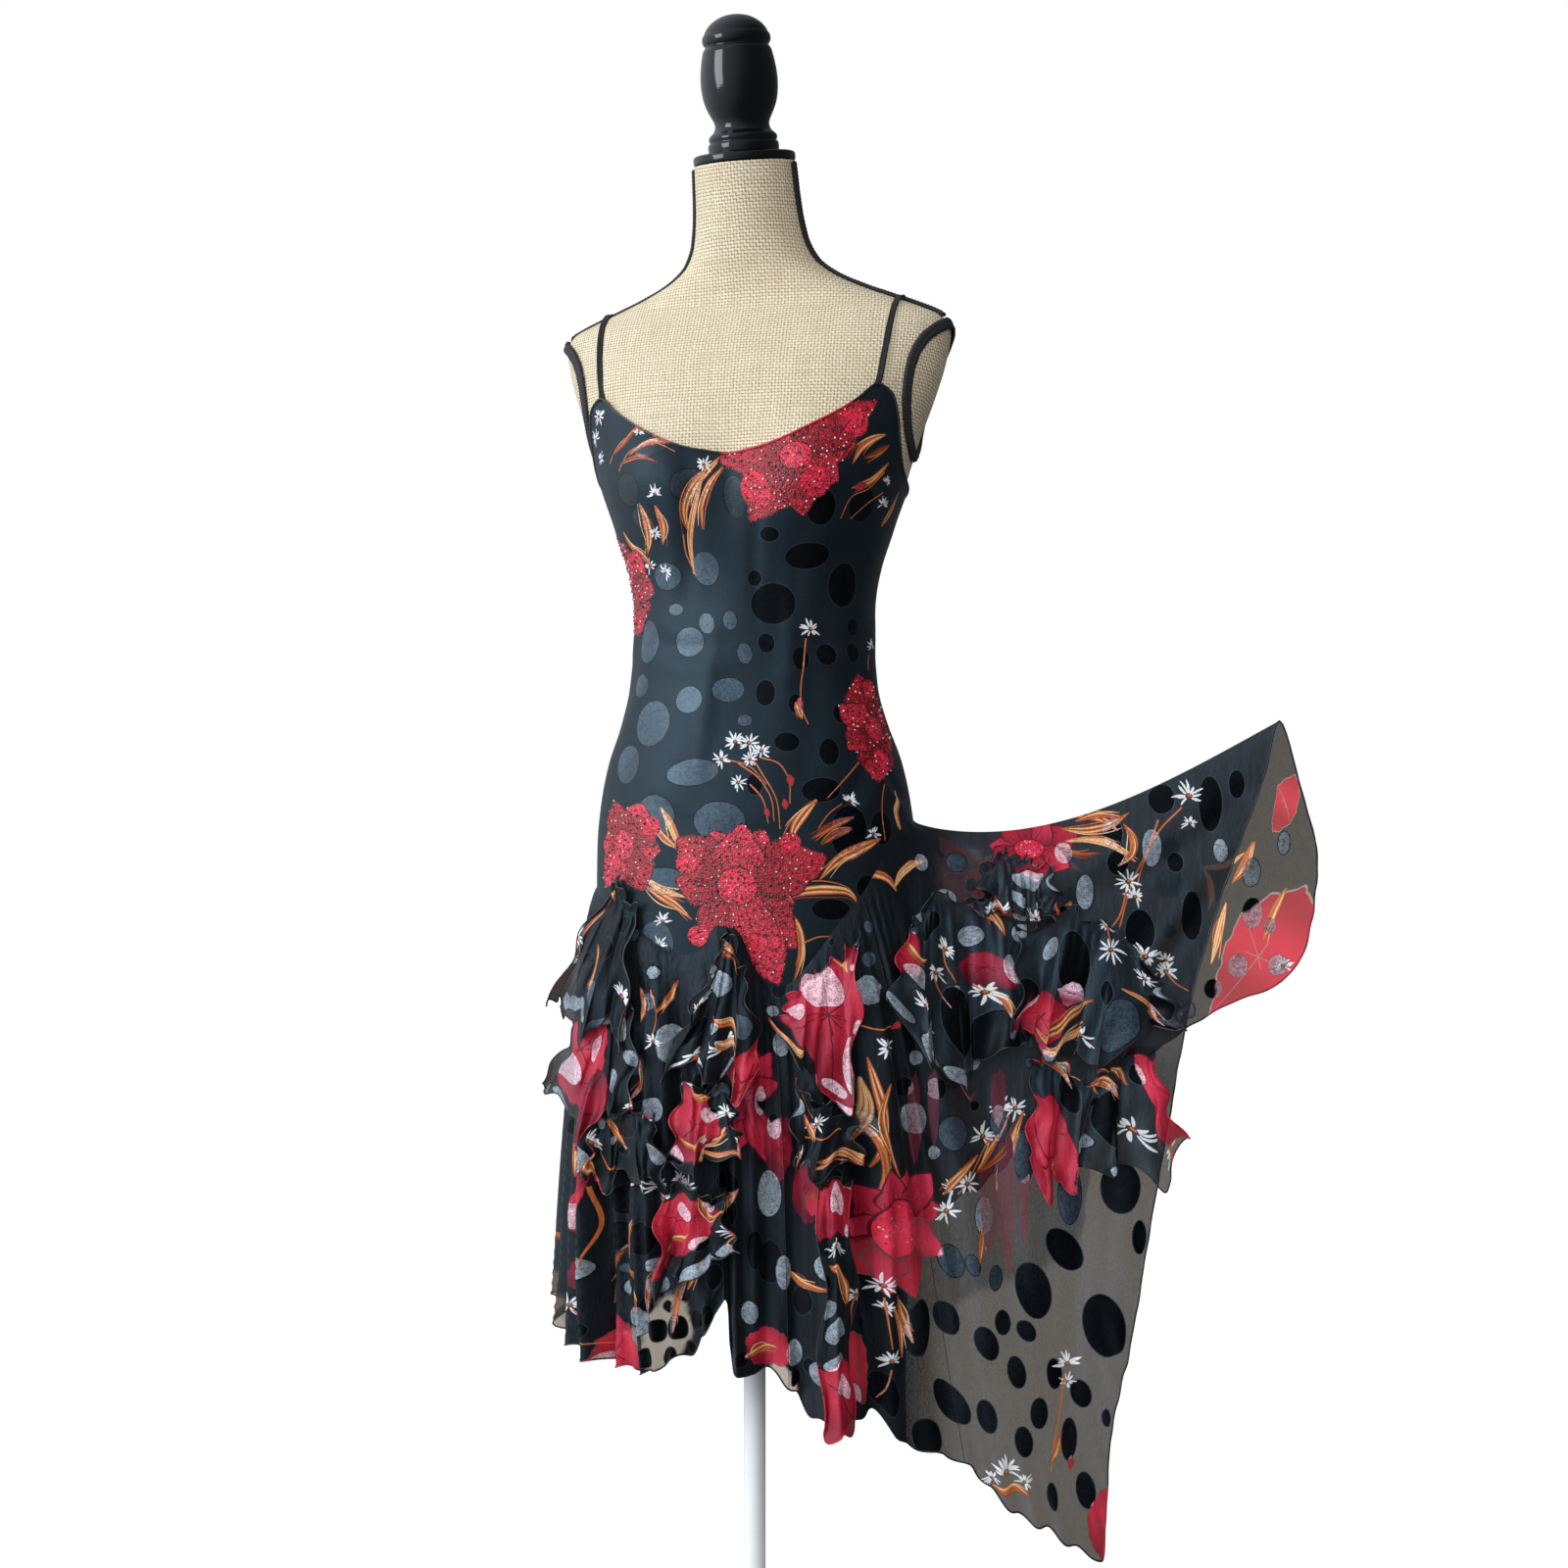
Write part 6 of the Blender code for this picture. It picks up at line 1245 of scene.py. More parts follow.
# ---------------------------------------------------------------- materials
def add(tree, kind, settings=None, **sockets):
    made = tree.nodes.new("ShaderNode" + kind)
    for key, value in (settings or {}).items():
        setattr(made, key, value)
    for key, value in sockets.items():
        socket = made.inputs[int(key[1:])] if key[0] == "i" and key[1:].isdigit() else made.inputs[key.replace("_", " ")]
        if isinstance(value, bpy.types.NodeSocket):
            tree.links.new(value, socket)
        else:
            socket.default_value = value
    return made


def new_material(name):
    made = bpy.data.materials.new(name)
    made.use_nodes = True
    made.node_tree.nodes.clear()
    return made, made.node_tree


def finish_material(tree, shader):
    out = tree.nodes.new("ShaderNodeOutputMaterial")
    tree.links.new(shader, out.inputs["Surface"])


def maths(tree, operation, a, b=0.5, c=0.5, clamp=False):
    made = add(tree, "Math", {"operation": operation, "use_clamp": clamp}, i0=a, i1=b, i2=c)
    return made.outputs[0]


def ramp(tree, value, lo, hi, to_lo=0.0, to_hi=1.0):
    return add(tree, "MapRange", {"clamp": True}, i0=value, i1=lo, i2=hi, i3=to_lo, i4=to_hi).outputs[0]


def mixed(tree, share, a, b, blend="MIX"):
    made = tree.nodes.new("ShaderNodeMix")
    made.data_type = "RGBA"
    made.blend_type = blend
    for socket, value in ((made.inputs[0], share), (made.inputs[6], a), (made.inputs[7], b)):
        if isinstance(value, bpy.types.NodeSocket):
            tree.links.new(value, socket)
        else:
            socket.default_value = value
    return made.outputs[2]


def noise(tree, where, scale, detail=3.0, rough=0.55, stretch=None):
    if stretch is not None:
        where = add(tree, "Mapping", None, Vector=where, Scale=stretch).outputs[0]
    return add(tree, "TexNoise", None, Vector=where, Scale=scale, Detail=detail, Roughness=rough).outputs[0]


def chiffon_material(name, crush):
    """Printed chiffon: crinkled, matt, and sheer by the ink attribute's alpha."""
    made, tree = new_material(name)
    ink = add(tree, "Attribute", {"attribute_name": "ink", "attribute_type": "GEOMETRY"})
    place = add(tree, "TexCoord").outputs["Object"]
    crepe = noise(tree, place, 900.0, 2.0, 0.6)
    cloud = noise(tree, place, 46.0, 3.0, 0.5)
    tone = maths(tree, "MULTIPLY", ramp(tree, crepe, 0.30, 0.70, 0.74, 1.26), ramp(tree, cloud, 0.30, 0.70, 0.84, 1.16))
    grey = add(tree, "CombineColor", None, Red=tone, Green=tone, Blue=tone).outputs[0]
    # The ink attribute's colour is the print and the ground, with the painted sheen and painted light that the grounds
    # give in places.
    colour = mixed(tree, 1.0, ink.outputs["Color"], grey, "MULTIPLY")
    # Soft upright crushing over a fine crepe
    crushed = add(tree, "Bump", None, Strength=crush, Distance=0.0035, Height=noise(tree, place, 70.0, 3.0, 0.5, (1.7, 1.7, 0.38))).outputs[0]
    bump = add(tree, "Bump", None, Strength=0.35, Distance=0.0006, Height=noise(tree, place, 620.0, 3.0, 0.6), Normal=crushed).outputs[0]
    cloth = add(tree, "BsdfPrincipled", None, Base_Color=colour, Roughness=ramp(tree, crepe, 0.2, 0.8, 0.46, 0.62), Normal=bump)
    cloth.inputs["Specular IOR Level"].default_value = 0.50
    # The deepest blacks are the most crinkled, and shine least
    blues = add(tree, "SeparateColor", None, Color=ink.outputs["Color"]).outputs[2]
    tree.links.new(mixed(tree, ramp(tree, blues, 0.0088, 0.0130), (0.30, 0.42, 0.52, 1.0), (0.52, 0.80, 1.0, 1.0)), cloth.inputs["Specular Tint"])
    cloth.inputs["Sheen Weight"].default_value = 0.04
    cloth.inputs["Sheen Roughness"].default_value = 0.40
    cloth.inputs["Sheen Tint"].default_value = (0.62, 0.80, 1.0, 1.0)
    reds = add(tree, "SeparateColor", None, Color=ink.outputs["Color"]).outputs[0]
    bright = mixed(tree, 1.0, ink.outputs["Color"], (2.6, 2.6, 2.6, 1.0), "MULTIPLY")
    clear = add(tree, "BsdfTransparent", None, Color=mixed(tree, ramp(tree, reds, 0.06, 0.25, 0.0, 0.85), (1.0, 0.87, 0.72, 1.0), bright))
    solid = maths(tree, "ADD", ink.outputs["Alpha"], ramp(tree, crepe, 0.25, 0.75, -0.035, 0.035), clamp=True)
    solid = maths(tree, "MAXIMUM", solid, maths(tree, "GREATER_THAN", ink.outputs["Alpha"], 0.985))
    mix = add(tree, "MixShader", None, i0=solid)
    tree.links.new(clear.outputs[0], mix.inputs[1])
    tree.links.new(cloth.outputs[0], mix.inputs[2])
    finish_material(tree, mix.outputs[0])
    return made


def satin_material():
    """The woven dots: satin with a fine broken grain."""
    made, tree = new_material("satin_dots")
    ink = add(tree, "Attribute", {"attribute_name": "ink", "attribute_type": "GEOMETRY"})
    place = add(tree, "TexCoord").outputs["Object"]
    grain = noise(tree, place, 900.0, 2.0, 0.7)
    broad = noise(tree, place, 260.0, 2.0, 0.6)
    tone = ramp(tree, maths(tree, "ADD", grain, maths(tree, "MULTIPLY", broad, 0.5)), 0.58, 0.95, 0.30, 1.75)
    grey = add(tree, "CombineColor", None, Red=tone, Green=tone, Blue=tone).outputs[0]
    # The colour is the ink attribute, which holds the dots' painted light tones, under a random grain.
    colour = mixed(tree, 1.0, ink.outputs["Color"], grey, "MULTIPLY")
    bump = add(tree, "Bump", None, Strength=0.5, Distance=0.0005, Height=grain).outputs[0]
    cloth = add(tree, "BsdfPrincipled", None, Base_Color=colour, Roughness=ramp(tree, grain, 0.3, 0.7, 0.26, 0.44), Normal=bump)
    cloth.inputs["Specular IOR Level"].default_value = 0.60
    blues = add(tree, "SeparateColor", None, Color=ink.outputs["Color"]).outputs[2]
    tree.links.new(mixed(tree, ramp(tree, blues, 0.004, 0.022), (0.14, 0.17, 0.20, 1.0), (0.62, 0.84, 1.0, 1.0)), cloth.inputs["Specular Tint"])
    finish_material(tree, cloth.outputs[0])
    return made


def bead_material():
    """The beaded flowers: print under fine glittering sequins."""
    made, tree = new_material("beaded_print")
    ink = add(tree, "Attribute", {"attribute_name": "ink", "attribute_type": "GEOMETRY"})
    place = add(tree, "TexCoord").outputs["Object"]
    cells = add(tree, "TexVoronoi", {"feature": "F1"}, Vector=place, Scale=520.0, Randomness=0.85)
    fine = noise(tree, place, 1300.0, 2.0, 0.6)
    # Each cell is brighter or darker at random: partly the sequins' own tones, partly painted glitter.
    spark = add(tree, "SeparateColor", None, Color=cells.outputs["Color"]).outputs[0]
    tone = ramp(tree, spark, 0.0, 1.0, 0.32, 1.62)
    tone = maths(tree, "MULTIPLY", tone, ramp(tree, fine, 0.3, 0.7, 0.75, 1.25))
    specks = add(tree, "TexVoronoi", {"feature": "F1"}, Vector=place, Scale=175.0, Randomness=0.7).outputs["Distance"]
    tone = maths(tree, "MULTIPLY", tone, ramp(tree, specks, 0.16, 0.26, 0.12, 1.0))
    grey = add(tree, "CombineColor", None, Red=tone, Green=tone, Blue=tone).outputs[0]
    colour = mixed(tree, 1.0, ink.outputs["Color"], grey, "MULTIPLY")
    bump = add(tree, "Bump", None, Strength=0.7, Distance=0.0012, Height=maths(tree, "ADD", cells.outputs["Distance"], maths(tree, "MULTIPLY", spark, 0.6))).outputs[0]
    cloth = add(tree, "BsdfPrincipled", None, Base_Color=colour, Roughness=ramp(tree, spark, 0.0, 1.0, 0.28, 0.55), Normal=bump)
    cloth.inputs["Specular IOR Level"].default_value = 0.6
    finish_material(tree, cloth.outputs[0])
    return made


def small_material(name, attribute=None, colour=(0.02, 0.02, 0.02), rough=0.5, specular=0.5, scale=900.0, depth=0.0003, spread=0.2, metallic=0.0):
    """A plain surface with fine grain, its colour from an attribute or set here."""
    made, tree = new_material(name)
    place = add(tree, "TexCoord").outputs["Object"]
    grain = noise(tree, place, scale, 3.0, 0.6)
    tone = ramp(tree, grain, 0.25, 0.75, 1 - spread, 1 + spread)
    grey = add(tree, "CombineColor", None, Red=tone, Green=tone, Blue=tone).outputs[0]
    source = add(tree, "Attribute", {"attribute_name": attribute, "attribute_type": "GEOMETRY"}).outputs["Color"] if attribute else (*colour, 1.0)
    base = mixed(tree, 1.0, source, grey, "MULTIPLY")
    bump = add(tree, "Bump", None, Strength=0.4, Distance=depth, Height=grain).outputs[0]
    shader = add(tree, "BsdfPrincipled", None, Base_Color=base, Roughness=ramp(tree, grain, 0.2, 0.8, max(rough - 0.08, 0.03), rough + 0.08), Normal=bump)
    shader.inputs["Specular IOR Level"].default_value = specular
    shader.inputs["Metallic"].default_value = metallic
    finish_material(tree, shader.outputs[0])
    return made


def burlap_material():
    """Plain-woven jute: slubby threads over and under, each a little different."""
    made, tree = new_material("woven_burlap")
    uv = add(tree, "UVMap", {"uv_map": "cut"}).outputs[0]
    wander = add(tree, "TexNoise", None, Vector=uv, Scale=22.0, Detail=3.0)
    bent = add(tree, "VectorMath", {"operation": "MULTIPLY_ADD"}, i0=wander.outputs["Color"], i1=(0.0030, 0.0030, 0.0), i2=uv).outputs[0]
    parts = add(tree, "SeparateXYZ", None, Vector=bent)
    pitch = 0.0031
    warp = maths(tree, "DIVIDE", parts.outputs[0], pitch)
    weft = maths(tree, "DIVIDE", parts.outputs[1], pitch)
    across = maths(tree, "ABSOLUTE", maths(tree, "SINE", maths(tree, "MULTIPLY", warp, math.pi)))
    along = maths(tree, "ABSOLUTE", maths(tree, "SINE", maths(tree, "MULTIPLY", weft, math.pi)))
    over = maths(tree, "PINGPONG", maths(tree, "ADD", maths(tree, "FLOOR", warp), maths(tree, "FLOOR", weft)), 1.0)
    height = add(tree, "Mix", {"data_type": "FLOAT"}, i0=over, i2=maths(tree, "POWER", across, 0.6), i3=maths(tree, "POWER", along, 0.6)).outputs[0]
    slub_a = noise(tree, bent, 60.0, 3.0, 0.6, (7.0, 0.35, 1.0))
    slub_b = noise(tree, bent, 60.0, 3.0, 0.6, (0.35, 7.0, 1.0))
    slub = add(tree, "Mix", {"data_type": "FLOAT"}, i0=over, i2=slub_a, i3=slub_b).outputs[0]
    fibre = noise(tree, bent, 2400.0, 2.0, 0.6)
    gap = maths(tree, "MULTIPLY", maths(tree, "SUBTRACT", 1.0, across), maths(tree, "SUBTRACT", 1.0, along))
    colour = mixed(tree, ramp(tree, slub, 0.35, 0.65), (0.585, 0.468, 0.302, 1.0), (0.785, 0.708, 0.535, 1.0))
    colour = mixed(tree, ramp(tree, fibre, 0.3, 0.7, 0.0, 0.30), colour, (0.84, 0.78, 0.62, 1.0))
    colour = mixed(tree, ramp(tree, gap, 0.10, 0.60, 0.0, 0.92), colour, (0.20, 0.13, 0.065, 1.0))
    # Painted shade: each thread is darkened towards its edges, where it rounds away from the light.
    colour = mixed(tree, ramp(tree, height, 0.0, 0.6, 0.55, 0.0), colour, (0.32, 0.22, 0.12, 1.0))
    relief = maths(tree, "ADD", height, maths(tree, "MULTIPLY", slub, 0.5))
    bump = add(tree, "Bump", None, Strength=0.85, Distance=0.0009, Height=relief).outputs[0]
    cloth = add(tree, "BsdfPrincipled", None, Base_Color=colour, Roughness=0.93, Normal=bump)
    cloth.inputs["Specular IOR Level"].default_value = 0.15
    finish_material(tree, cloth.outputs[0])
    return made


def braid_material():
    made, tree = new_material("black_braid")
    place = add(tree, "TexCoord").outputs["Object"]
    fibre = noise(tree, place, 1400.0, 3.0, 0.7)
    colour = mixed(tree, ramp(tree, fibre, 0.35, 0.75), (0.010, 0.010, 0.012, 1.0), (0.045, 0.045, 0.050, 1.0))
    bump = add(tree, "Bump", None, Strength=0.6, Distance=0.0005, Height=fibre).outputs[0]
    cloth = add(tree, "BsdfPrincipled", None, Base_Color=colour, Roughness=0.72, Normal=bump)
    cloth.inputs["Specular IOR Level"].default_value = 0.4
    finish_material(tree, cloth.outputs[0])
    return made


def lacquer_material():
    """Gloss black paint over turned wood: faint turning marks and a little wear."""
    made, tree = new_material("gloss_black_lacquer")
    place = add(tree, "TexCoord").outputs["Object"]
    rings = noise(tree, place, 40.0, 3.0, 0.6, (0.3, 0.3, 9.0))
    worn = noise(tree, place, 120.0, 5.0, 0.65)
    colour = mixed(tree, ramp(tree, worn, 0.66, 0.78), (0.0026, 0.0033, 0.0046, 1.0), (0.016, 0.018, 0.022, 1.0))
    bump = add(tree, "Bump", None, Strength=0.12, Distance=0.0010, Height=rings).outputs[0]
    shader = add(tree, "BsdfPrincipled", None, Base_Color=colour, Roughness=ramp(tree, worn, 0.3, 0.75, 0.07, 0.16), Normal=bump)
    shader.inputs["Specular IOR Level"].default_value = 0.30
    shader.inputs["Coat Weight"].default_value = 0.20
    shader.inputs["Coat Roughness"].default_value = 0.08
    finish_material(tree, shader.outputs[0])
    return made


CHIFFON, SATIN, BEADED = chiffon_material("printed_chiffon", 0.55), satin_material(), bead_material()
BODICE = chiffon_material("printed_bodice_crepe", 0.07)
HEM_MATERIAL = small_material("rolled_hem", "ink", rough=0.42, specular=0.7)
BEAD_MATERIAL = small_material("glass_beads", "ink", rough=0.14, specular=0.8, scale=1800.0, depth=0.0001, spread=0.25)
STRAP_MATERIAL = small_material("strap_cord", None, (0.004, 0.004, 0.005), 0.42, 0.35, 1500.0, 0.0003, 0.35)
BURLAP, BRAID, LACQUER = burlap_material(), braid_material(), lacquer_material()
STAND = small_material("stand_white_enamel", None, (0.86, 0.86, 0.86), 0.40, 0.4, 60.0, 0.0004, 0.03)


# ---------------------------------------------------------------- the cloth's form
SEAM = 0.0  # the visible cloth is sewn edge to edge


def step_up(x, lo, hi):
    t = np.clip((np.asarray(x, float) - lo) / (hi - lo), 0, 1)
    return t * t * (3 - 2 * t)


def crease_height(rows, p, sign=1.0):
    """Soft troughs (negative) and ridges: rows of (height in mm, half width in mm, pixel points)."""
    px = to_px(p, sign)
    total = np.zeros(p.shape[:-1])
    for height, half, *points in rows:
        line = curve_through(points, 9 if len(points) > 2 else 5)
        half_px = half / 0.91
        best = np.full(total.shape, 1e9)
        where = np.zeros(total.shape)
        for i in range(len(line) - 1):
            a, d = line[i], line[i + 1] - line[i]
            t = np.clip(((px - a) @ d) / (d @ d), 0, 1)
            far = np.hypot(px[..., 0] - a[0] - t * d[0], px[..., 1] - a[1] - t * d[1])
            closer = far < best
            where = np.where(closer, (i + t) / (len(line) - 1), where)
            best = np.minimum(best, far)
        total += height * (1.35 if rows is BODY_CREASES else 1.0) / 1000 * np.exp(-((best / half_px) ** 2)) * np.sin(math.pi * np.clip(where * 0.94 + 0.03, 0, 1)) ** 0.6
    return total


def pushed(fn, height, da, db, flip=1.0):
    """fn with its points moved along the cloth's normal."""
    def made(a, b):
        p = fn(a, b)
        n = np.cross(fn(a + da, b) - fn(a - da, b), fn(a, b + db) - fn(a, b - db))
        n /= np.linalg.norm(n, axis=-1, keepdims=True) + 1e-12
        return p + n * (flip * height(a, b, p))[..., None]
    return made


BODY_CREASES = [
    (1.6, 5, (905, 742), (880, 790), (850, 842)), (-1.6, 5, (912, 770), (890, 812), (868, 850)), (1.5, 6, (700, 455), (706, 540), (700, 620)), (-1.0, 6, (682, 470), (686, 560), (680, 640)),
    (1.3, 7, (640, 640), (690, 660), (750, 655)), (-1.2, 6, (640, 665), (700, 684), (770, 672)), (1.0, 6, (905, 640), (860, 655), (800, 650)), (-1.2, 5, (900, 665), (850, 672), (790, 690)),
    (1.2, 6, (780, 470), (770, 560), (772, 640)), (-1.0, 7, (800, 560), (806, 640), (800, 720)), (1.8, 5, (945, 838), (910, 800), (888, 742)), (-2.0, 4, (948, 850), (918, 822), (892, 782)),
    (1.2, 7, (660, 760), (720, 800), (790, 815)), (-1.0, 6, (660, 800), (720, 832), (780, 842)), (1.4, 5, (880, 930), (905, 905), (940, 870)), (-1.6, 5, (872, 950), (900, 925), (935, 895)),
    (1.2, 5, (812, 1000), (850, 962), (884, 930)), (-1.0, 8, (730, 640), (720, 720), (712, 800)),
]


def body_full(deg, v):
    slack = pushed(body_cloth, lambda a, b, p: crease_height(BODY_CREASES, p) * np.clip(np.cos(np.radians(a)) * 3, 0, 1)
                   + 0.0007 * np.sin(2 * math.pi * (a / 34.0 + 2.2 * b)) * np.sin(math.pi * b), 0.5, 0.004)
    return slack(deg, v)


HEM_DEG = np.linspace(-180, 180, 2881)
HEM_LINE = skirt(HEM_DEG, np.ones_like(HEM_DEG))
HEM_RUN = np.r_[0, np.cumsum(np.linalg.norm(np.diff(HEM_LINE, axis=0), axis=1))]


def hem_run(deg):
    return np.interp(wrap(deg), HEM_DEG, HEM_RUN)


SKIRT_CREASES = [
    # the drawn-out panel: pulled from the raised point and from the hip
    (5.0, 11, (1290, 760), (1180, 850), (1060, 900), (960, 900)), (-5.0, 9, (1290, 790), (1190, 880), (1080, 930)), (5.0, 10, (1270, 850), (1190, 950), (1130, 1080), (1100, 1200)),
    (-5.0, 10, (1240, 900), (1180, 1000), (1140, 1120)), (4.0, 12, (1180, 1100), (1150, 1230), (1140, 1400), (1120, 1540)), (-4.0, 10, (1110, 1150), (1100, 1300), (1090, 1480)),
    (5.0, 11, (940, 900), (960, 1050), (985, 1200), (1010, 1380)), (-5.0, 10, (915, 930), (930, 1100), (955, 1280), (985, 1440)), (4.5, 12, (1040, 1120), (1050, 1260), (1060, 1420)),
    (-4.5, 9, (1000, 1080), (1020, 1240), (1030, 1380)), (4.0, 9, (905, 960), (912, 1100), (925, 1260)), (-7.0, 8, (950, 845), (975, 860), (1000, 880)),
    # the deep fold by the long leaves
    (-20.0, 8, (862, 1000), (872, 1100), (876, 1230), (880, 1340)), (8.0, 9, (893, 990), (898, 1100), (902, 1240), (908, 1400)),
    # the left side and the middle
    (6.0, 8, (628, 930), (618, 1060), (608, 1200), (600, 1350)), (-7.0, 7, (648, 930), (640, 1080), (632, 1240), (628, 1380)), (7.0, 8, (672, 930), (668, 1060), (662, 1220), (660, 1390)),
    (-8.0, 7, (694, 1000), (690, 1120), (686, 1260), (684, 1380)), (7.0, 8, (716, 1000), (714, 1120), (708, 1260), (712, 1370)), (-9.0, 6, (742, 960), (744, 1080), (742, 1200), (742, 1320)),
    (7.0, 7, (762, 1000), (766, 1120), (770, 1260), (776, 1380)), (-7.0, 6, (782, 1020), (786, 1140), (792, 1280), (800, 1390)), (7.0, 7, (802, 1020), (808, 1150), (816, 1290), (824, 1420)),
    (-5.0, 5, (598, 960), (588, 1080), (584, 1220)), (-6.0, 6, (832, 1120), (838, 1220), (842, 1340)),
]


def skirt_extra(deg, t, p):
    """How far the small folds stand off the skirt: gathers, placed creases and the rolled edge's flutter."""
    d = wrap(deg)
    drawn = step_up(np.abs(d - 92.0), 46.0, 30.0)
    hang = 1 - drawn
    rise = step_up(t, 0.02, 0.40)
    gather = np.cos(2 * math.pi * d / 7.4 + 1.6 * np.sin(2 * math.pi * d / 39.0) + 1.1 * t) * 0.0038
    gather = gather + np.cos(2 * math.pi * d / 12.3 + 1.2 * np.sin(2 * math.pi * d / 61.0) - 0.8 * t) * 0.0042
    gather = gather + np.abs(np.cos(math.pi * d / 16.1 + 0.9 * np.sin(2 * math.pi * d / 53.0) + 0.4 * t)) ** 0.7 * 0.0036 - 0.0018
    height = gather * rise * hang
    near_hip = step_up(t, 0.0, 0.06) * step_up(t, 0.55, 0.10)
    height = height + 0.0012 * np.cos(2 * math.pi * d / 3.1 + 0.8 * np.sin(d / 5.0)) * near_hip * hang
    height = height + 0.0010 * np.cos(2 * math.pi * d / 7.9 + 5 * t + 2.2 * np.sin(2 * math.pi * d / 47.0)) * step_up(t, 0.02, 0.2) * drawn * step_up(t, 0.98, 0.6)
    front = (turned(p)[..., 1] > -0.02) & (d > -100) & (d < 90)
    creased = crease_height(SKIRT_CREASES, p) * step_up(t, 0.0, 0.14)
    height = height + np.where(front, creased, 0.0)
    s = hem_run(deg)
    flutter = np.cos(2 * math.pi * s / 0.047 + 1.7 * np.sin(2 * math.pi * s / 0.21)) + 0.6 * np.cos(2 * math.pi * s / 0.029 + 0.9)
    height = height + 0.0040 * flutter * step_up(t, 0.86, 1.0) * (1 - 0.72 * step_up(d, 56.0, 66.0) * step_up(d, 128.0, 118.0))
    return height


def skirt_full(deg, t):
    deg, t = np.broadcast_arrays(np.asarray(deg, float), np.asarray(t, float))
    p = skirt(deg, t)
    u1 = smooth_table(SKIRT_A[:, 0], SKIRT_A[:, 2], wrap(deg))
    w1 = smooth_table(SKIRT_A[:, 0], SKIRT_A[:, 3], wrap(deg))
    outward = row_frame(u1 * 0.55, w1, 0 * u1)
    outward = outward / (np.linalg.norm(outward, axis=-1, keepdims=True) + 1e-9)
    facing = row_frame(0 * u1, np.sign(w1 - 0.03), 0 * u1)
    pulled = np.clip((u1 - 0.14) / 0.12, 0, 1)[..., None]
    n = outward * (1 - pulled) + facing * pulled
    tip = np.exp(-(((wrap(deg) - 90.0) / 2.2) ** 2))
    q = p + n * (skirt_extra(deg, t, p) * (1 - tip))[..., None]
    s = hem_run(deg)
    edge = step_up(t, 0.90, 1.0)
    dip = 0.5 * np.cos(2 * math.pi * s / 0.058 + 1.4 * np.sin(2 * math.pi * s / 0.27) + 0.7) + 0.5 * np.cos(2 * math.pi * s / 0.033)
    calm = 1 - 0.75 * step_up(wrap(deg), 56.0, 66.0) * step_up(wrap(deg), 128.0, 118.0)
    q[..., 2] += 0.0045 * dip * edge * (1 - tip) * calm
    return q


def skirt_base(deg, t):
    return skirt(deg, t, 0.0)


def body_ground(p):
    z = p[..., 2]
    rgb = np.broadcast_to(np.array([0.0054, 0.0084, 0.0118]), p.shape).copy()
    return rgb, np.ones(z.shape)


def skirt_ground(p):
    q = turned(p)
    rgb = np.broadcast_to(np.array([0.0058, 0.0072, 0.0090]), p.shape).copy()
    sheer = 0.908 + 0.082 * step_up(q[..., 0], 0.20, 0.13)
    # Painted shade: under the torso the cloth is made solid, standing in for the torso's shadow there.
    near = step_up(q[..., 2], 0.615, 0.700) * step_up(np.abs(q[..., 0]), 0.19, 0.165)
    # Painted sheen: on the drawn-out side the cloth's colour is painted lighter and bluer.
    rgb *= 1 + np.array([1.15, 1.45, 1.60]) * step_up(q[..., 0], 0.16, 0.24)[..., None]
    # Single cloth shows here and there along the hem: the cloth is more sheer there, and painted brown for the light
    # that shines through it.
    edge = np.zeros(q.shape[:-1])
    for u, z, wide, tall, lean, much in ((-0.203, 0.388, 0.018, 0.022, 0.3, 0.26), (-0.080, 0.390, 0.019, 0.034, -0.35, 0.24), (0.026, 0.336, 0.014, 0.032, 0.2, 0.34), (-0.110, 0.374, 0.010, 0.016, 0.2, 0.18), (-0.040, 0.372, 0.008, 0.022, 0.0, 0.20)):
        du, dz = (q[..., 0] - u) / wide, (q[..., 2] - z) / tall
        far = np.hypot(du + lean * dz, dz) + 0.10 * np.sin(3.1 * du + 5 * dz) + 0.07 * np.sin(6.3 * dz - 2 * du)
        edge = np.maximum(edge, much * step_up(far, 1.16, 0.96))
    rgb = rgb + edge[..., None] * np.array([0.16, 0.105, 0.060])
    # A second layer hangs behind the upper part of the drawn-out corner
    px = to_px(p, 1.0)
    line = np.interp(px[..., 0], [900, 925, 960, 1000, 1060, 1105, 1116, 1200, 1400], [1440, 1396, 1344, 1314, 1300, 1262, 1160, 1120, 1060])
    second = step_up(line - px[..., 1], -5, 5) * (q[..., 1] > 0.0) * step_up(q[..., 0], 0.10, 0.14) * step_up(px[..., 1], 1030, 1110)
    sheer = sheer + (0.962 - sheer) * 0.85 * second * (sheer < 0.962)
    return rgb, (sheer + (1 - sheer) * near) * (1 - edge)


def side_ground(p):
    rgb, opacity = skirt_ground(p)
    return rgb, opacity


def ruffle_ground(p):
    rgb = np.broadcast_to(np.array([0.0055, 0.0068, 0.0086]), p.shape).copy()
    u = turned(p)[..., 0]
    # Painted sheen: the ruffles on the right are painted lighter and bluer; they are also a little more sheer.
    right = step_up(u, 0.09, 0.16)
    rgb *= 1 + np.array([0.90, 1.15, 1.30]) * right[..., None]
    return rgb, 0.955 - 0.060 * right


def pick_tone(x, y, shares):
    """One of the tones by a fixed mixing of the place, in the given shares."""
    value = math.modf(abs(math.sin(x * 12.9898 + y * 78.233) * 43758.5453))[0]
    for tone, share in shares:
        value -= share
        if value < 0:
            return tone
    return shares[-1][0]


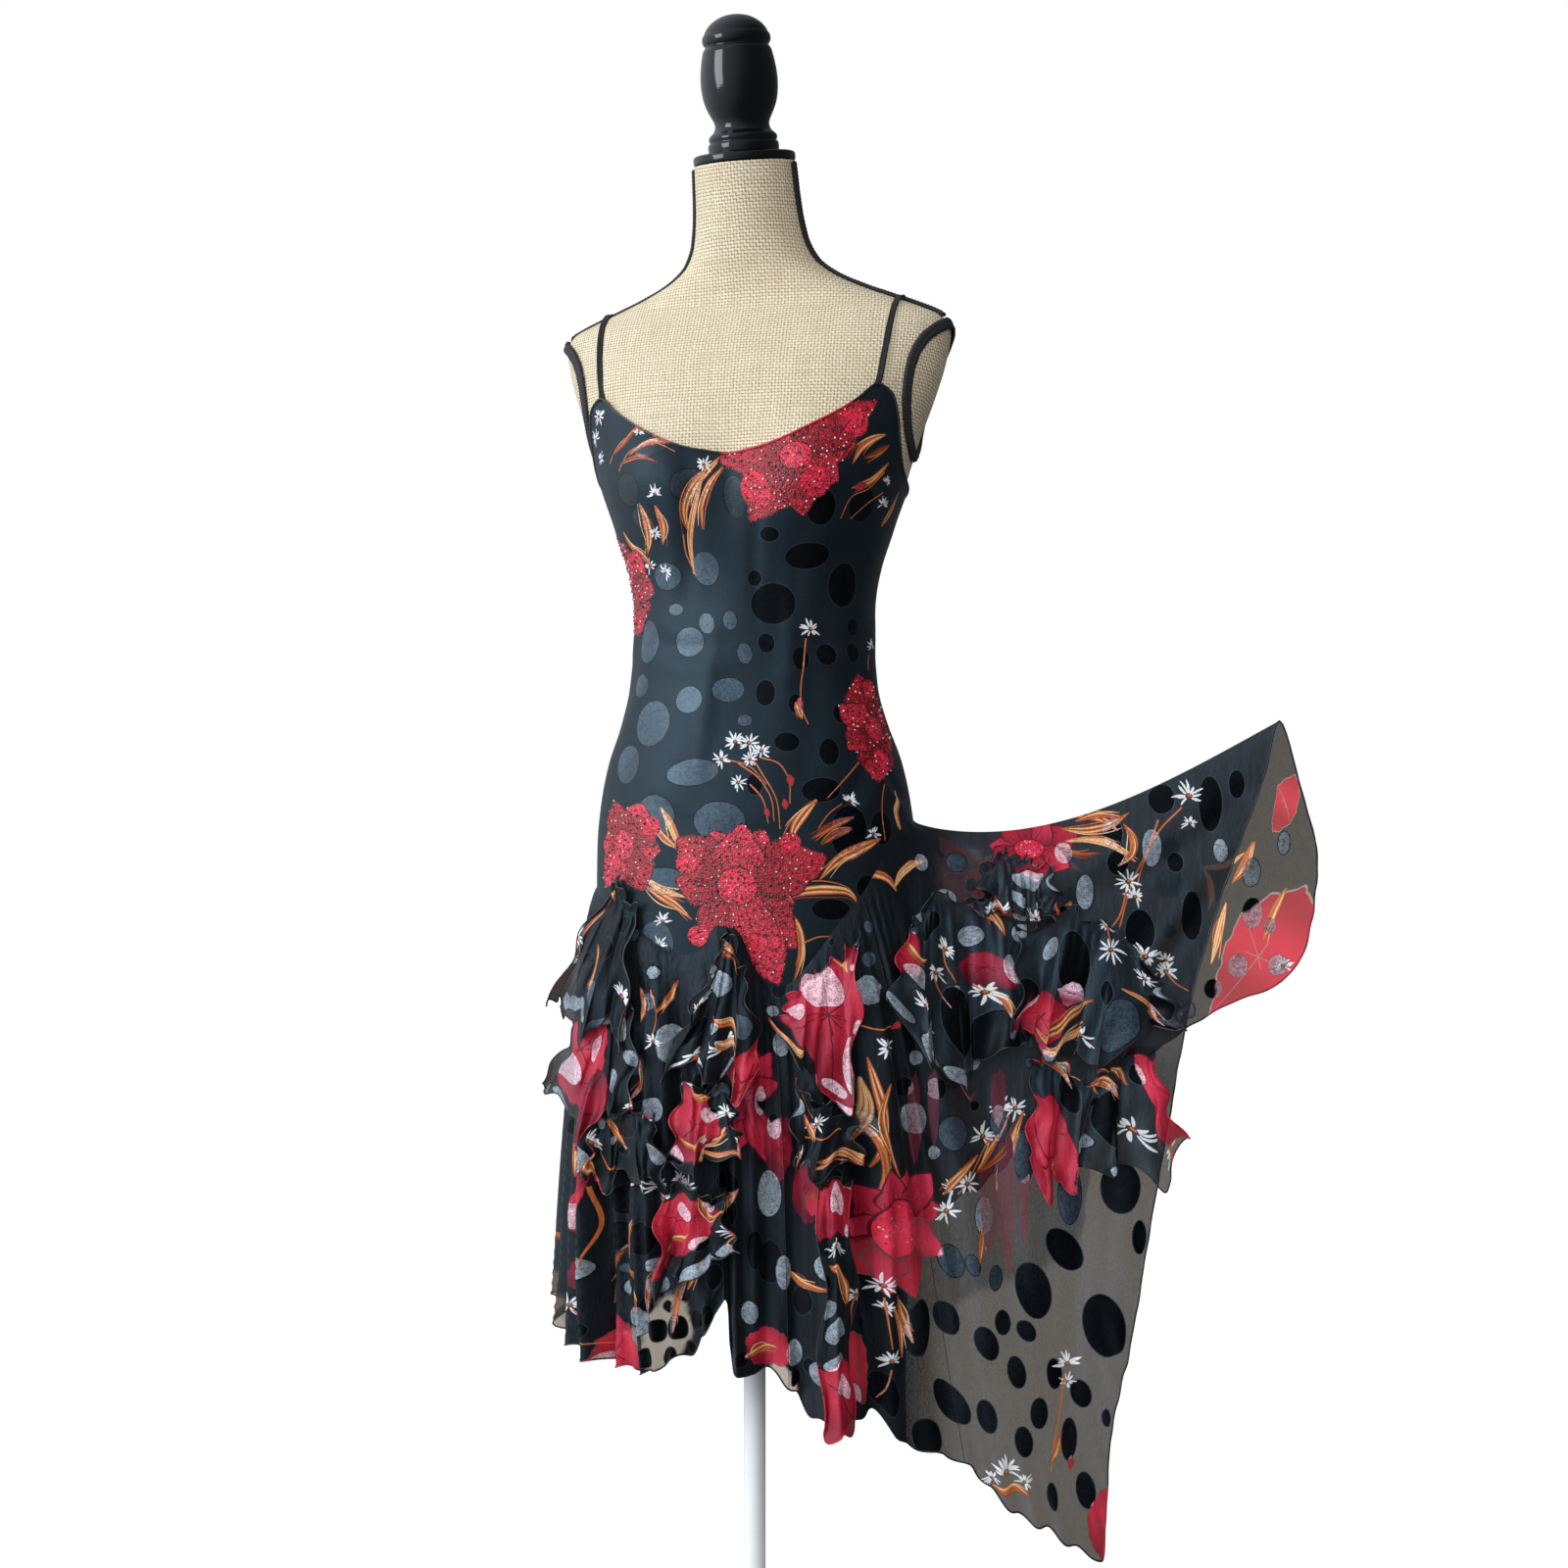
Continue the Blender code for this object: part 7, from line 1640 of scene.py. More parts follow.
# Painted light on the body's dots: painted lit on the left and painted black on the right, as the key light falls from
# the left.
def body_tone(x, y, wide, tall):
    if y < 560:
        return "dull" if x < 760 else "black"
    return "lit" if x < 765 else "black"


# Painted light on the skirt's dots: each is painted lit, glinting or shaded black, in shares that change with where it
# lies.
def skirt_tone(x, y, wide, tall):
    if x < 700:
        return pick_tone(x, y, (("silver", 0.40), ("black", 0.40), ("lit", 0.20)))
    if x < 860:
        return pick_tone(x, y, (("silver", 0.28), ("black", 0.72)))
    if y > 1330 or (x > 1020 and y > 1110):
        return pick_tone(x, y, (("coal", 0.65), ("black", 0.35)))
    if x > 1090 and y < 1000:
        return pick_tone(x, y, (("black", 0.82), ("silver", 0.18)))
    return pick_tone(x, y, (("silver", 0.45), ("lit", 0.40), ("black", 0.15)))


# Painted light on the ruffles' dots: each is painted lit, glinting or shaded black in given shares, more often glinting
# on the right.
def ruffle_tone(x, y, wide, tall):
    if x < 780:
        return pick_tone(x, y, (("silver", 0.40), ("black", 0.44), ("lit", 0.16)))
    return pick_tone(x, y, (("silver", 0.58), ("black", 0.28), ("lit", 0.14)))


# ---------------------------------------------------------------- ruffles
FRONT_MAP, BACK_MAP = depth_map(True), depth_map(False)


def folded_maps():
    """Depth maps over the skirt and hips with all their folds, for the front and the back."""
    d, t = np.meshgrid(np.linspace(-180, 180, 1081), np.linspace(0, 1, 161))
    s = turned(skirt_full(d, t)).reshape(-1, 3)
    d, v = np.meshgrid(np.linspace(-180, 180, 541), np.linspace(0.60, 1, 61))
    every = np.concatenate([s, turned(body_cloth(d, v)).reshape(-1, 3)])
    step = 0.004
    us, zs = np.arange(-0.26, 0.62, step), np.arange(0.10, 1.02, step)
    iu = np.clip(((every[:, 0] - us[0]) / step).round().astype(int), 0, len(us) - 1)
    iz = np.clip(((every[:, 2] - zs[0]) / step).round().astype(int), 0, len(zs) - 1)
    fields = []
    for sign in (1.0, -1.0):
        best = np.full((len(zs), len(us)), -1.0)
        np.maximum.at(best, (iz, iu), sign * every[:, 1])
        for grow in range(32):
            padded = np.pad(best, 1, constant_values=-1.0)
            near = np.stack([padded[i : i + best.shape[0], j : j + best.shape[1]] for i in range(3) for j in range(3)])
            known = near > -0.9
            mean = (near * known).sum(axis=0) / np.maximum(known.sum(axis=0), 1)
            best = np.where(best > -0.9, best, np.where(known.any(axis=0), mean, -1.0))
        for reach in range(3):
            padded = np.pad(best, 1, mode="edge")
            near = np.stack([padded[i : i + best.shape[0], j : j + best.shape[1]] for i in range(3) for j in range(3)])
            best = near.max(axis=0) if reach < 1 else near.mean(axis=0)
        fields.append((us, zs, best))
    return fields


FOLDED_FRONT, FOLDED_BACK = folded_maps()
# Each flounce's own folds: how many, how deep, how far each rolls over its neighbour (with its
# side), how far the outer folds hang below the inner ones, and pulls on the edge as
# (place along it, half width, sideways, down, out) in metres
RUFFLE_LOOK = {
    "ruffle_left_upper": dict(folds=3, deep=0.017, roll=-0.75, tips=0.016, seed=3, pulls=[(0.0, 0.16, -0.004, 0.004, -0.006), (0.55, 0.12, 0.0, 0.012, 0.0), (1.0, 0.14, 0.004, 0.020, 0.0)], tops=[(0.0, 0.5, 0.031, 0.006)]),
    "ruffle_left_lower": dict(folds=3, deep=0.016, roll=-0.70, tips=0.014, seed=8, pulls=[(0.0, 0.18, -0.004, 0.010, 0.0), (0.45, 0.10, 0.0, 0.022, 0.0), (0.8, 0.12, 0.0, -0.012, 0.0)], tops=[(0.0, 0.4, 0.014, -0.010), (1.0, 0.4, 0.0, -0.020)]),
    "ruffle_left_third": dict(folds=3, deep=0.014, roll=0.70, tips=0.013, seed=5, pulls=[(0.25, 0.12, 0.0, 0.016, 0.0), (1.0, 0.16, 0.006, 0.012, 0.0)]),
    "ruffle_centre_upper": dict(folds=3, deep=0.018, roll=-0.80, tips=0.018, seed=14, pulls=[(0.1, 0.12, -0.006, 0.016, 0.0), (0.9, 0.14, 0.0, 0.024, 0.0)], tops=[(0.0, 0.35, 0.012, 0.018), (1.0, 0.35, -0.010, 0.014)]),
    "ruffle_centre_lower": dict(folds=2, deep=0.015, roll=0.60, tips=0.016, seed=17, pulls=[(0.0, 0.16, -0.006, 0.014, 0.0), (0.85, 0.14, 0.0, -0.008, 0.0)]),
    "ruffle_centre_end": dict(folds=2, deep=0.014, roll=-0.60, tips=0.015, seed=21, pulls=[(0.0, 0.20, 0.004, 0.020, 0.0), (1.0, 0.16, 0.012, -0.020, 0.0)]),
    "ruffle_front_upper": dict(folds=2, deep=0.015, roll=0.50, tips=0.012, seed=25, pulls=[(0.0, 0.16, -0.008, -0.006, 0.002), (0.62, 0.14, 0.0, 0.014, 0.0)]),
    "ruffle_front_lower": dict(folds=2, deep=0.015, roll=-0.70, tips=0.015, seed=31, pulls=[(0.2, 0.14, -0.006, 0.010, 0.0), (1.0, 0.2, 0.006, -0.010, 0.0)]),
    "ruffle_front_tail": dict(folds=1, deep=0.011, roll=0.40, tips=0.012, seed=36, pulls=[(0.2, 0.16, -0.004, 0.004, 0.0), (0.5, 0.20, 0.0, -0.016, 0.0), (0.8, 0.16, 0.004, 0.000, 0.0)]),
    "ruffle_side_upper_left": dict(folds=3, deep=0.020, roll=0.70, tips=0.016, seed=41, pulls=[(0.05, 0.10, -0.004, -0.010, 0.0), (0.48, 0.14, 0.0, 0.010, 0.0), (1.0, 0.20, 0.014, 0.012, -0.002)], tops=[(0.0, 0.20, 0.010, 0.022), (0.38, 0.12, 0.0, -0.010), (0.66, 0.10, 0.0, 0.008), (1.0, 0.16, 0.012, 0.004)]),
    "ruffle_side_gather": dict(folds=5, deep=0.008, roll=0.50, tips=0.006, seed=44, pulls=[(0.0, 0.2, -0.008, 0.004, 0.0), (0.7, 0.12, 0.0, 0.008, 0.0)]),
    "ruffle_side_upper_right": dict(folds=3, deep=0.021, roll=-0.65, tips=0.017, seed=49, pulls=[(0.0, 0.16, -0.014, 0.010, 0.005), (0.35, 0.12, 0.0, 0.006, 0.0), (1.0, 0.12, 0.010, -0.004, 0.0)], tops=[(0.0, 0.18, -0.006, 0.012), (0.28, 0.14, 0.0, -0.012), (0.60, 0.16, 0.0, 0.008), (1.0, 0.24, -0.006, 0.028)]),
    "ruffle_side_lower": dict(folds=4, deep=0.018, roll=0.75, tips=0.018, seed=57, pulls=[(0.08, 0.08, 0.0, 0.028, 0.0), (0.30, 0.07, 0.0, 0.018, 0.0), (0.86, 0.06, 0.004, 0.018, 0.0), (1.0, 0.07, 0.024, -0.008, 0.0)], tops=[(0.10, 0.14, 0.0, -0.010), (0.45, 0.14, 0.0, 0.016), (0.8, 0.12, 0.0, -0.008)]),
    "ruffle_back_left": dict(folds=3, deep=0.018, roll=-0.70, tips=0.016, seed=61, pulls=[(0.1, 0.12, 0.0, 0.014, 0.0), (0.8, 0.12, 0.0, 0.012, 0.0)]),
    "ruffle_back_right": dict(folds=3, deep=0.018, roll=0.70, tips=0.016, seed=66, pulls=[(0.3, 0.12, 0.0, 0.014, 0.0), (0.95, 0.12, 0.0, 0.012, 0.0)]),
}


HEADING = 0.12  # the share of a flounce above its gathers


def fold_line(look):
    """The flounce's edge from above: along, out and down at each bend of its folds, left to right."""
    rand = random.Random(look["seed"])
    count = 2 * look["folds"] + 1
    gaps = np.array([rand.uniform(0.55, 1.45) for _ in range(count - 1)])
    along = np.r_[0, np.cumsum(gaps)] / gaps.sum()
    out, down = np.zeros(count), np.zeros(count)
    first = rand.random() < 0.5
    for i in range(count):
        outer = (i % 2 == 0) == first
        out[i] = rand.uniform(0.62, 1.0) if outer else rand.uniform(0.0, 0.16)
        down[i] = rand.uniform(0.35, 1.0) if outer else rand.uniform(-0.75, -0.10)
        if outer and 0 < i < count - 1:
            along[i] += look["roll"] * rand.uniform(0.7, 1.5) / look["folds"] * 0.5
    return along, out, down


def ruffle_forms(name, row, field, sign):
    look = RUFFLE_LOOK[name]
    top, low = np.array(row["top"]), np.array(row["low"])
    along, out, down = fold_line(look)
    bends = np.linspace(0, 1, len(along))
    folded = FOLDED_FRONT if sign > 0 else FOLDED_BACK
    rand = random.Random(look["seed"] + 500)
    swing = [rand.uniform(0, 6.28) for _ in range(6)]

    def across(points, s):
        return smooth_table(np.linspace(0, 1, len(points)), points, np.clip(s, 0, 1)) + np.stack([(s - np.clip(s, 0, 1)) * (points[-1, 0] - points[0, 0]), 0 * s], axis=-1)

    def base(s, t):
        s, t = np.broadcast_arrays(np.asarray(s, float), np.asarray(t, float))
        t = (t - HEADING) / (1 - HEADING)
        uz = across(top, s) * (1 - t)[..., None] + across(low, s) * t[..., None]
        flare = row["lift"][0] + (row["lift"][1] - row["lift"][0]) * np.clip(t, 0, 1) ** 1.3
        w = read_map(field, uz[..., 0], uz[..., 1]) + flare
        return row_frame(uz[..., 0], sign * w, uz[..., 1])

    def soft(values, s):
        k = np.clip(s, 0, 1) * (len(values) - 1)
        i = np.clip(k.astype(int), 0, len(values) - 2)
        f = k - i
        f = f * f * (3 - 2 * f)
        return values[i] * (1 - f) + values[i + 1] * f

    def full(s, t):
        s, t = np.broadcast_arrays(np.asarray(s, float), np.asarray(t, float))
        head = np.clip((HEADING - t) / HEADING, 0, 1)
        t = np.clip((t - HEADING) / (1 - HEADING), 0, 1)
        # The folds wander a little on their way down from the gathers
        way = s + 0.018 * np.sin(2 * math.pi * (1.3 * t + 1.1 * s) + swing[0]) * t * (1 - 0.3 * t)
        open_ = np.clip(t, 0, 1) ** 1.05
        x = soft(along, way)
        x = s * (1 - open_) + x * open_
        x = x + 0.012 * np.sin(2 * math.pi * (2 * look["folds"] * 1.31 * s) + swing[1] + 1.5 * np.sin(2 * math.pi * 1.4 * s + swing[4])) * t
        uz = across(top, x) * (1 - t)[..., None] + across(low, x) * t[..., None]
        u, z = uz[..., 0], uz[..., 1]
        stand = soft(out, way)
        w = 0.0016 + 0.0050 * t + look["deep"] * stand * open_
        w = w + 0.0022 * np.sin(2 * math.pi * (look["folds"] * 2.7 * s + 0.8 * t) + swing[2]) * open_
        # The ends hang in a turning edge, and broad gathers fan out from the top
        ends = np.exp(-((s / 0.15) ** 2)) + np.exp(-(((1 - s) / 0.15) ** 2))
        middle = np.sin(math.pi * np.clip(t, 0, 1)) ** 0.8
        u = u + 0.0060 * np.sin(2 * math.pi * 1.7 * t + swing[2]) * ends * middle
        w = w + 0.0045 * (1 + np.cos(2 * math.pi * 1.7 * t + swing[2])) * ends * middle
        w = w + 0.0032 * np.abs(np.cos(math.pi * look["folds"] * 1.55 * s + swing[4] + 0.7 * np.sin(2 * math.pi * s + swing[0]))) ** 1.6 * np.clip(1 - t / 0.85, 0, 1) * step_up(t, 0.0, 0.12)
        fine = np.cos(2 * math.pi * look["folds"] * 4.3 * s + swing[3] + 2.4 * np.sin(2 * math.pi * 1.7 * s + swing[5])) * (0.55 + 0.45 * np.sin(2 * math.pi * 2.1 * s + swing[1]))
        w = w + 0.0012 * fine * np.clip(1 - t / (0.45 + 0.25 * np.sin(2 * math.pi * 1.2 * s + swing[0])), 0, 1) * step_up(t, 0.0, 0.06)
        z = z - look["tips"] * soft(down, way) * t**2
        z = z - 0.0022 * np.cos(2 * math.pi * look["folds"] * 3.1 * s + swing[4]) * t**3
        for place, half, du, dz, dw in look["pulls"]:
            share = np.exp(-(((s - place) / half) ** 2)) * t**2
            u, z, w = u + du * share, z - dz * share, w + dw * share
        for place, half, du, dz in look.get("tops", ()):
            share = np.exp(-(((s - place) / half) ** 2)) * (1 - t) ** 1.5
            u, z = u + du * share, z - dz * share
        # The gathered line waves, and a narrow heading flutters over it
        z = z + (0.0045 * np.sin(2 * math.pi * 1.3 * s + swing[4]) + 0.0022 * np.sin(2 * math.pi * 3.1 * s + swing[2])) * (1 - t)
        flutter = np.cos(2 * math.pi * look["folds"] * 1.9 * s + swing[0] + 1.3 * np.sin(2 * math.pi * 1.3 * s)) + 0.6 * np.cos(2 * math.pi * look["folds"] * 3.3 * s + swing[2])
        z = z + head * look.get("head", 0.0065) * (1 + 0.50 * flutter)
        w = w + head * (0.0030 + 0.0022 * flutter) + 0.0012 * np.exp(-((t + head) / 0.05) ** 2)
        u = u + head * 0.0030 * np.sin(2 * math.pi * look["folds"] * 2.3 * s + swing[3])
        # The rolled edge turns up and out where a fold stands out
        curl = step_up(t, 0.80, 1.0)
        w = w + curl * (0.0035 * stand + 0.0030 * np.sin(2 * math.pi * look["folds"] * 1.7 * s + swing[5]))
        z = z + curl**2 * 0.0030 * stand
        w = np.maximum(w, 0.0012) + read_map(folded, np.clip(u, -0.25, 0.60), z)
        return row_frame(u, sign * w, z)

    return base, full


# ---------------------------------------------------------------- the pieces
PIECES = []  # (object, slot, body nodes it stands for); nothing is put in it


def take(obj, slot, *nodes, materials=None):
    for m in materials or ():
        obj.data.materials.append(m)
    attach(obj, "root")
    if nodes:
        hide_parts(*nodes)
    return obj


patches = {}
patches["dress_front"] = Patch("dress_front", body_cloth, body_full, (-90.0, 90.0), (0.0, 1.0), (181, 121), 1.0, 0.0062, 0.0030)
patches["dress_back"] = Patch("dress_back", body_cloth, body_full, (90.0, 270.0), (0.0, 1.0), (181, 121), -1.0, 0.0065, 0.0035)
for name, lo, hi, _, _ in PANELS:
    behind = lo >= 129 or name in ("skirt_back_left", "godet_back")
    fan = name in ("skirt_side_front", "skirt_side_back")
    patches[name] = Patch(name, skirt_base, skirt_full, (lo, hi), (0.0, 1.0), (121 if fan else 61, 141), -1.0 if behind else 1.0, 0.0050, 0.0022)
for name, row in list(RUFFLES.items()) + list(BACK_RUFFLES.items()):
    back = name in BACK_RUFFLES
    base, full = ruffle_forms(name, row, BACK_MAP if back else FRONT_MAP, -1.0 if back else 1.0)
    patches[name] = Patch(name, base, full, (0.0, 1.0), (0.0, 1.0), (41, 31), -1.0 if back else 1.0, 0.0017, 0.0010)

for name, patch in patches.items():
    if name.startswith("dress_"):
        patch.tone = body_tone
    elif name.startswith("ruffle_"):
        patch.tone, patch.pale = ruffle_tone, (0.62, 0.30)
        patch.veil = 0.96
    else:
        patch.tone, patch.pale = skirt_tone, (0.52, 0.22)
        patch.veil = 0.62 if name == "skirt_side_back" else 0.97

draw([patches["dress_front"], patches["dress_back"]], BODY, 100)
front_skirt = [patches[n] for n in ("skirt_front_left", "godet_front", "skirt_front_right", "skirt_side_front")]
draw(front_skirt, SKIRT_FRONT, 400)
draw(patches["skirt_side_back"], SIDE_BACK, 700)
for number, (name, rows) in enumerate(RUFFLE_PRINT.items()):
    spots = np.array([r[1:3] for r in rows if r[0] in "DY"], float)
    held = [(x, y, 15) for x, y in spots] + [(np.mean([p[0] for p in r[2:]]), np.mean([p[1] for p in r[2:]]), 18) for r in rows if r[0] == "P"]
    seen = patches[name].px
    scatter([patches[name]], (seen[:, 0].min(), seen[:, 1].min(), seen[:, 0].max(), seen[:, 1].max()), 300 + number, dots=7, daisies=2, leaves=1, taken=held, sizes=(14, 26))
    draw(patches[name], rows, 900)
taken = [(r[1], r[2], max(r[3], r[4]) * 0.55) for r in SKIRT_FRONT if r[0] == "D"] + [(r[1], r[2], 70) for r in SKIRT_FRONT if r[0] == "F"]
scatter(front_skirt, (575, 900, 1010, 1400), 21, dots=34, leaves=5, daisies=4, taken=taken, sizes=(12, 26))
scatter(front_skirt, (940, 850, 1260, 1090), 23, dots=12, leaves=1, daisies=1, taken=taken, sizes=(12, 24))
scatter([patches["skirt_side_back"]], (930, 860, 1240, 1040), 22, dots=22, leaves=2, daisies=3, sizes=(14, 36))
scatter([patches["dress_back"]], (640, 470, 990, 900), 31, dots=46, leaves=9, daisies=10, flowers=4, sizes=(18, 48), over=[patches["dress_front"]])
back_skirt = [patches[n] for n in ("skirt_back_left", "godet_back", "skirt_back_right", "skirt_side_back")]
scatter(back_skirt, (560, 880, 1020, 1400), 41, dots=90, leaves=16, daisies=18, flowers=6, sizes=(16, 46))
scatter(back_skirt[2:], (280, 860, 600, 1080), 42, dots=40, leaves=6, daisies=6, flowers=2, sizes=(16, 46))
for number, name in enumerate(BACK_RUFFLES):
    scatter([patches[name]], (600, 900, 1000, 1140), 51 + number, dots=8, leaves=3, daisies=2, flowers=1, sizes=(18, 40))

hems = []
for name, patch in patches.items():
    body = name.startswith("dress_")
    ruffled = name.startswith("ruffle_")
    ground = body_ground if body else ruffle_ground if ruffled else skirt_ground
    obj = build_patch(patch, ground, name + "_cloth")
    take(obj, "ruffle_cloth" if ruffled else "dress_cloth", name, materials=(BODICE if body else CHIFFON, SATIN, BEADED))
    patch.obj = obj
    edges = []
    if body:
        edges.append(hem(patch, name, "top", 0.0013))
    elif ruffled:
        edges += [hem(patch, name, side, 0.00075) for side in ("low", "left", "right", "top")]
    else:
        edges.append(hem(patch, name, "low", 0.00085))
        edges.append(hem(patch, name, "right", 0.0003))
    pts = np.concatenate([e[0] for e in edges])
    at = np.cumsum([0] + [len(e[0]) for e in edges[:-1]])
    faces = np.concatenate([e[1] + k for e, k in zip(edges, at)])
    ink = np.concatenate([e[2] for e in edges])
    rim = add_mesh(name + "_edge", pts, faces)
    corner = rim.data.color_attributes.new("ink", "FLOAT_COLOR", "POINT")
    corner.data.foreach_set("color", np.concatenate([ink, np.ones((len(ink), 1))], axis=1).astype(np.float32).ravel())
    take(rim, "ruffle_cloth" if ruffled else "dress_cloth", materials=(HEM_MATERIAL,))
    patch.rim = rim
    hems.append(rim)
print("cloth faces", {n: len(p.obj.data.polygons) for n, p in patches.items()})


# ---------------------------------------------------------------- beads and sequins
def sphere(steps=1):
    t = (1 + math.sqrt(5)) / 2
    v = np.array([(-1, t, 0), (1, t, 0), (-1, -t, 0), (1, -t, 0), (0, -1, t), (0, 1, t), (0, -1, -t), (0, 1, -t), (t, 0, -1), (t, 0, 1), (-t, 0, -1), (-t, 0, 1)], float)
    v /= np.linalg.norm(v[0])
    f = np.array([(0, 11, 5), (0, 5, 1), (0, 1, 7), (0, 7, 10), (0, 10, 11), (1, 5, 9), (5, 11, 4), (11, 10, 2), (10, 7, 6), (7, 1, 8), (3, 9, 4), (3, 4, 2), (3, 2, 6), (3, 6, 8), (3, 8, 9), (4, 9, 5), (2, 4, 11), (6, 2, 10), (8, 6, 7), (9, 8, 1)])
    return v, f


BEAD_V, BEAD_F = sphere()


def bead_field(patch_list, name, seed=5):
    """Beads and small sequins over the faces of the beaded flowers, evenly spread."""
    rand = np.random.default_rng(seed)
    parts, inks = [], []
    at = 0
    for patch in patch_list:
        m = patch.mesh
        slot = np.zeros(len(patch.obj.data.polygons), np.int32)
        patch.obj.data.polygons.foreach_get("material_index", slot)
        tri = m["tri"][slot == 2]
        if not len(tri):
            continue
        p = m["full"]
        a, b, c = p[tri[:, 0]], p[tri[:, 1]], p[tri[:, 2]]
        normal = np.cross(b - a, c - a)
        area = np.linalg.norm(normal, axis=1) / 2
        normal /= 2 * area[:, None] + 1e-15
        if patch.sign > 0:
            flip = np.sign((normal * (a - np.array([0.0, 0.0, 0.0])))[:, :2].sum(axis=1))
        else:
            flip = np.sign((normal * a)[:, :2].sum(axis=1))
        normal *= flip[:, None]
        total = area.sum()
        count = int(total / (0.0052**2))
        pick = rand.choice(len(tri), count * 3, p=area / total)
        r1, r2 = np.sqrt(rand.random(len(pick))), rand.random(len(pick))
        q = a[pick] * (1 - r1)[:, None] + b[pick] * (r1 * (1 - r2))[:, None] + c[pick] * (r1 * r2)[:, None]
        kept = []
        cell = {}
        gap = 0.0046
        for i, point in enumerate(q):
            key = tuple((point / gap).astype(int))
            near = [j for dx in (-1, 0, 1) for dy in (-1, 0, 1) for dz in (-1, 0, 1) for j in cell.get((key[0] + dx, key[1] + dy, key[2] + dz), ())]
            if all(np.linalg.norm(q[j] - point) > gap for j in near):
                cell.setdefault(key, []).append(i)
                kept.append(i)
        for i in kept:
            n = normal[pick[i]]
            kind = rand.random()
            if kind < 0.26:
                size, squash, ink = rand.uniform(0.00075, 0.00110), 0.9, (0.88, 0.74, 0.68)
            elif kind < 0.36:
                size, squash, ink = rand.uniform(0.00058, 0.00080), 0.9, (0.62, 0.38, 0.16)
            elif kind < 0.58:
                size, squash, ink = rand.uniform(0.00070, 0.00100), 0.35, (0.66, 0.030, 0.070)
            else:
                size, squash, ink = rand.uniform(0.00085, 0.00130), 0.6, (0.030, 0.002, 0.006)
            v = BEAD_V * size
            v = v - np.outer(v @ n, n) * (1 - squash) + q[i] + n * size * squash * 0.8
            parts.append((v, BEAD_F))
            inks.append(np.tile([*ink, 1.0], (len(v), 1)))
    made = join_meshes(name, parts)
    corner = made.data.color_attributes.new("ink", "FLOAT_COLOR", "POINT")
    corner.data.foreach_set("color", np.concatenate(inks).astype(np.float32).ravel())
    print(name, len(parts), "beads")
    return made


beads = bead_field([patches["dress_front"], patches["dress_back"]], "flower_beads")
take(beads, "dress_cloth", materials=(BEAD_MATERIAL,))


# ---------------------------------------------------------------- the dress form
def named_uv(obj, coords):
    """A UV map named cut, given per vertex."""
    uv = obj.data.uv_layers.new(name="cut")
    index = np.zeros(len(obj.data.loops), np.int32)
    obj.data.loops.foreach_get("vertex_index", index)
    uv.data.foreach_set("uv", coords[index].astype(np.float32).ravel())


def closed_rings(name, rings, smooth=True):
    """Rings of points joined into a closed surface, with a fan over each end."""
    count = len(rings[0])
    pts = np.concatenate(rings + [np.mean(rings[0], axis=0)[None], np.mean(rings[-1], axis=0)[None]])
    i, j = np.meshgrid(np.arange(len(rings) - 1), np.arange(count), indexing="ij")
    i, j = i.ravel(), j.ravel()
    j2 = (j + 1) % count
    quads = np.stack([i * count + j, i * count + j2, (i + 1) * count + j2, (i + 1) * count + j], axis=1)
    tris = np.concatenate([quads[:, [0, 1, 2]], quads[:, [0, 2, 3]]])
    k = np.arange(count)
    foot, head = len(rings) * count, len(rings) * count + 1
    last = (len(rings) - 1) * count
    ends = np.concatenate([np.stack([np.full(count, foot), (k + 1) % count, k], 1), np.stack([np.full(count, head), last + k, last + (k + 1) % count], 1)])
    obj = add_mesh(name, pts, np.concatenate([tris, ends]), smooth)
    return obj


around = np.linspace(-180, 180, 161)
levels = np.unique(np.concatenate([np.linspace(FORM_FOOT, 1.33, 96), np.linspace(1.33, 1.42, 44), np.linspace(1.42, FORM_NECK, 24)]))
A, Z = np.meshgrid(around, levels)
shape = torso(A, Z)
ripple = 0.0005 * np.sin(A / 17.0 + 9 * Z) * np.sin(23 * Z + A / 31.0)
shape = skin(A, Z, ripple)
shape[:, -1] = shape[:, 0]
pts, quads = grid_mesh(shape)
girth = np.r_[0, np.cumsum(np.linalg.norm(np.diff(shape[60], axis=0), axis=1))]
run = np.concatenate([np.zeros((len(levels), 1)), np.cumsum(np.linalg.norm(np.diff(shape, axis=1), axis=2), axis=1)], axis=1)
middle = run[:, 80:81]
rise = np.concatenate([np.zeros((1, shape.shape[1])), np.cumsum(np.linalg.norm(np.diff(shape, axis=0), axis=2), axis=0)], axis=0)
rise = np.repeat(rise[:, 80:81], shape.shape[1], axis=1)
coords = np.stack([run - middle, rise], axis=-1).reshape(-1, 2)
skin_mesh = add_mesh("form_burlap_cover", pts, np.concatenate([quads[:, [0, 1, 2]], quads[:, [0, 2, 3]]]))
named_uv(skin_mesh, coords)
take(skin_mesh, "form_burlap", "form_torso", materials=(BURLAP,))

foot = torso(np.linspace(0, 360, 97)[:-1], np.full(96, FORM_FOOT))
centre = foot.mean(axis=0)
rings = [centre + (foot - centre) * np.array([s, s, 1.0]) - np.array([0, 0, d]) for s, d in ((0.02, 0.0100), (0.50, 0.0100), (0.90, 0.0098), (0.965, 0.0070), (0.992, 0.0034), (1.0, 0.0))]
under = closed_rings("form_underside", rings)
named_uv(under, np.array([v.co[:2] for v in under.data.vertices]))
take(under, "form_burlap", materials=(BURLAP,))

lean = math.radians(17.0)
UP = np.array([0.0, -math.sin(lean), math.cos(lean)])
NECK_TOP = np.array([0.0, -0.0390, FORM_NECK])


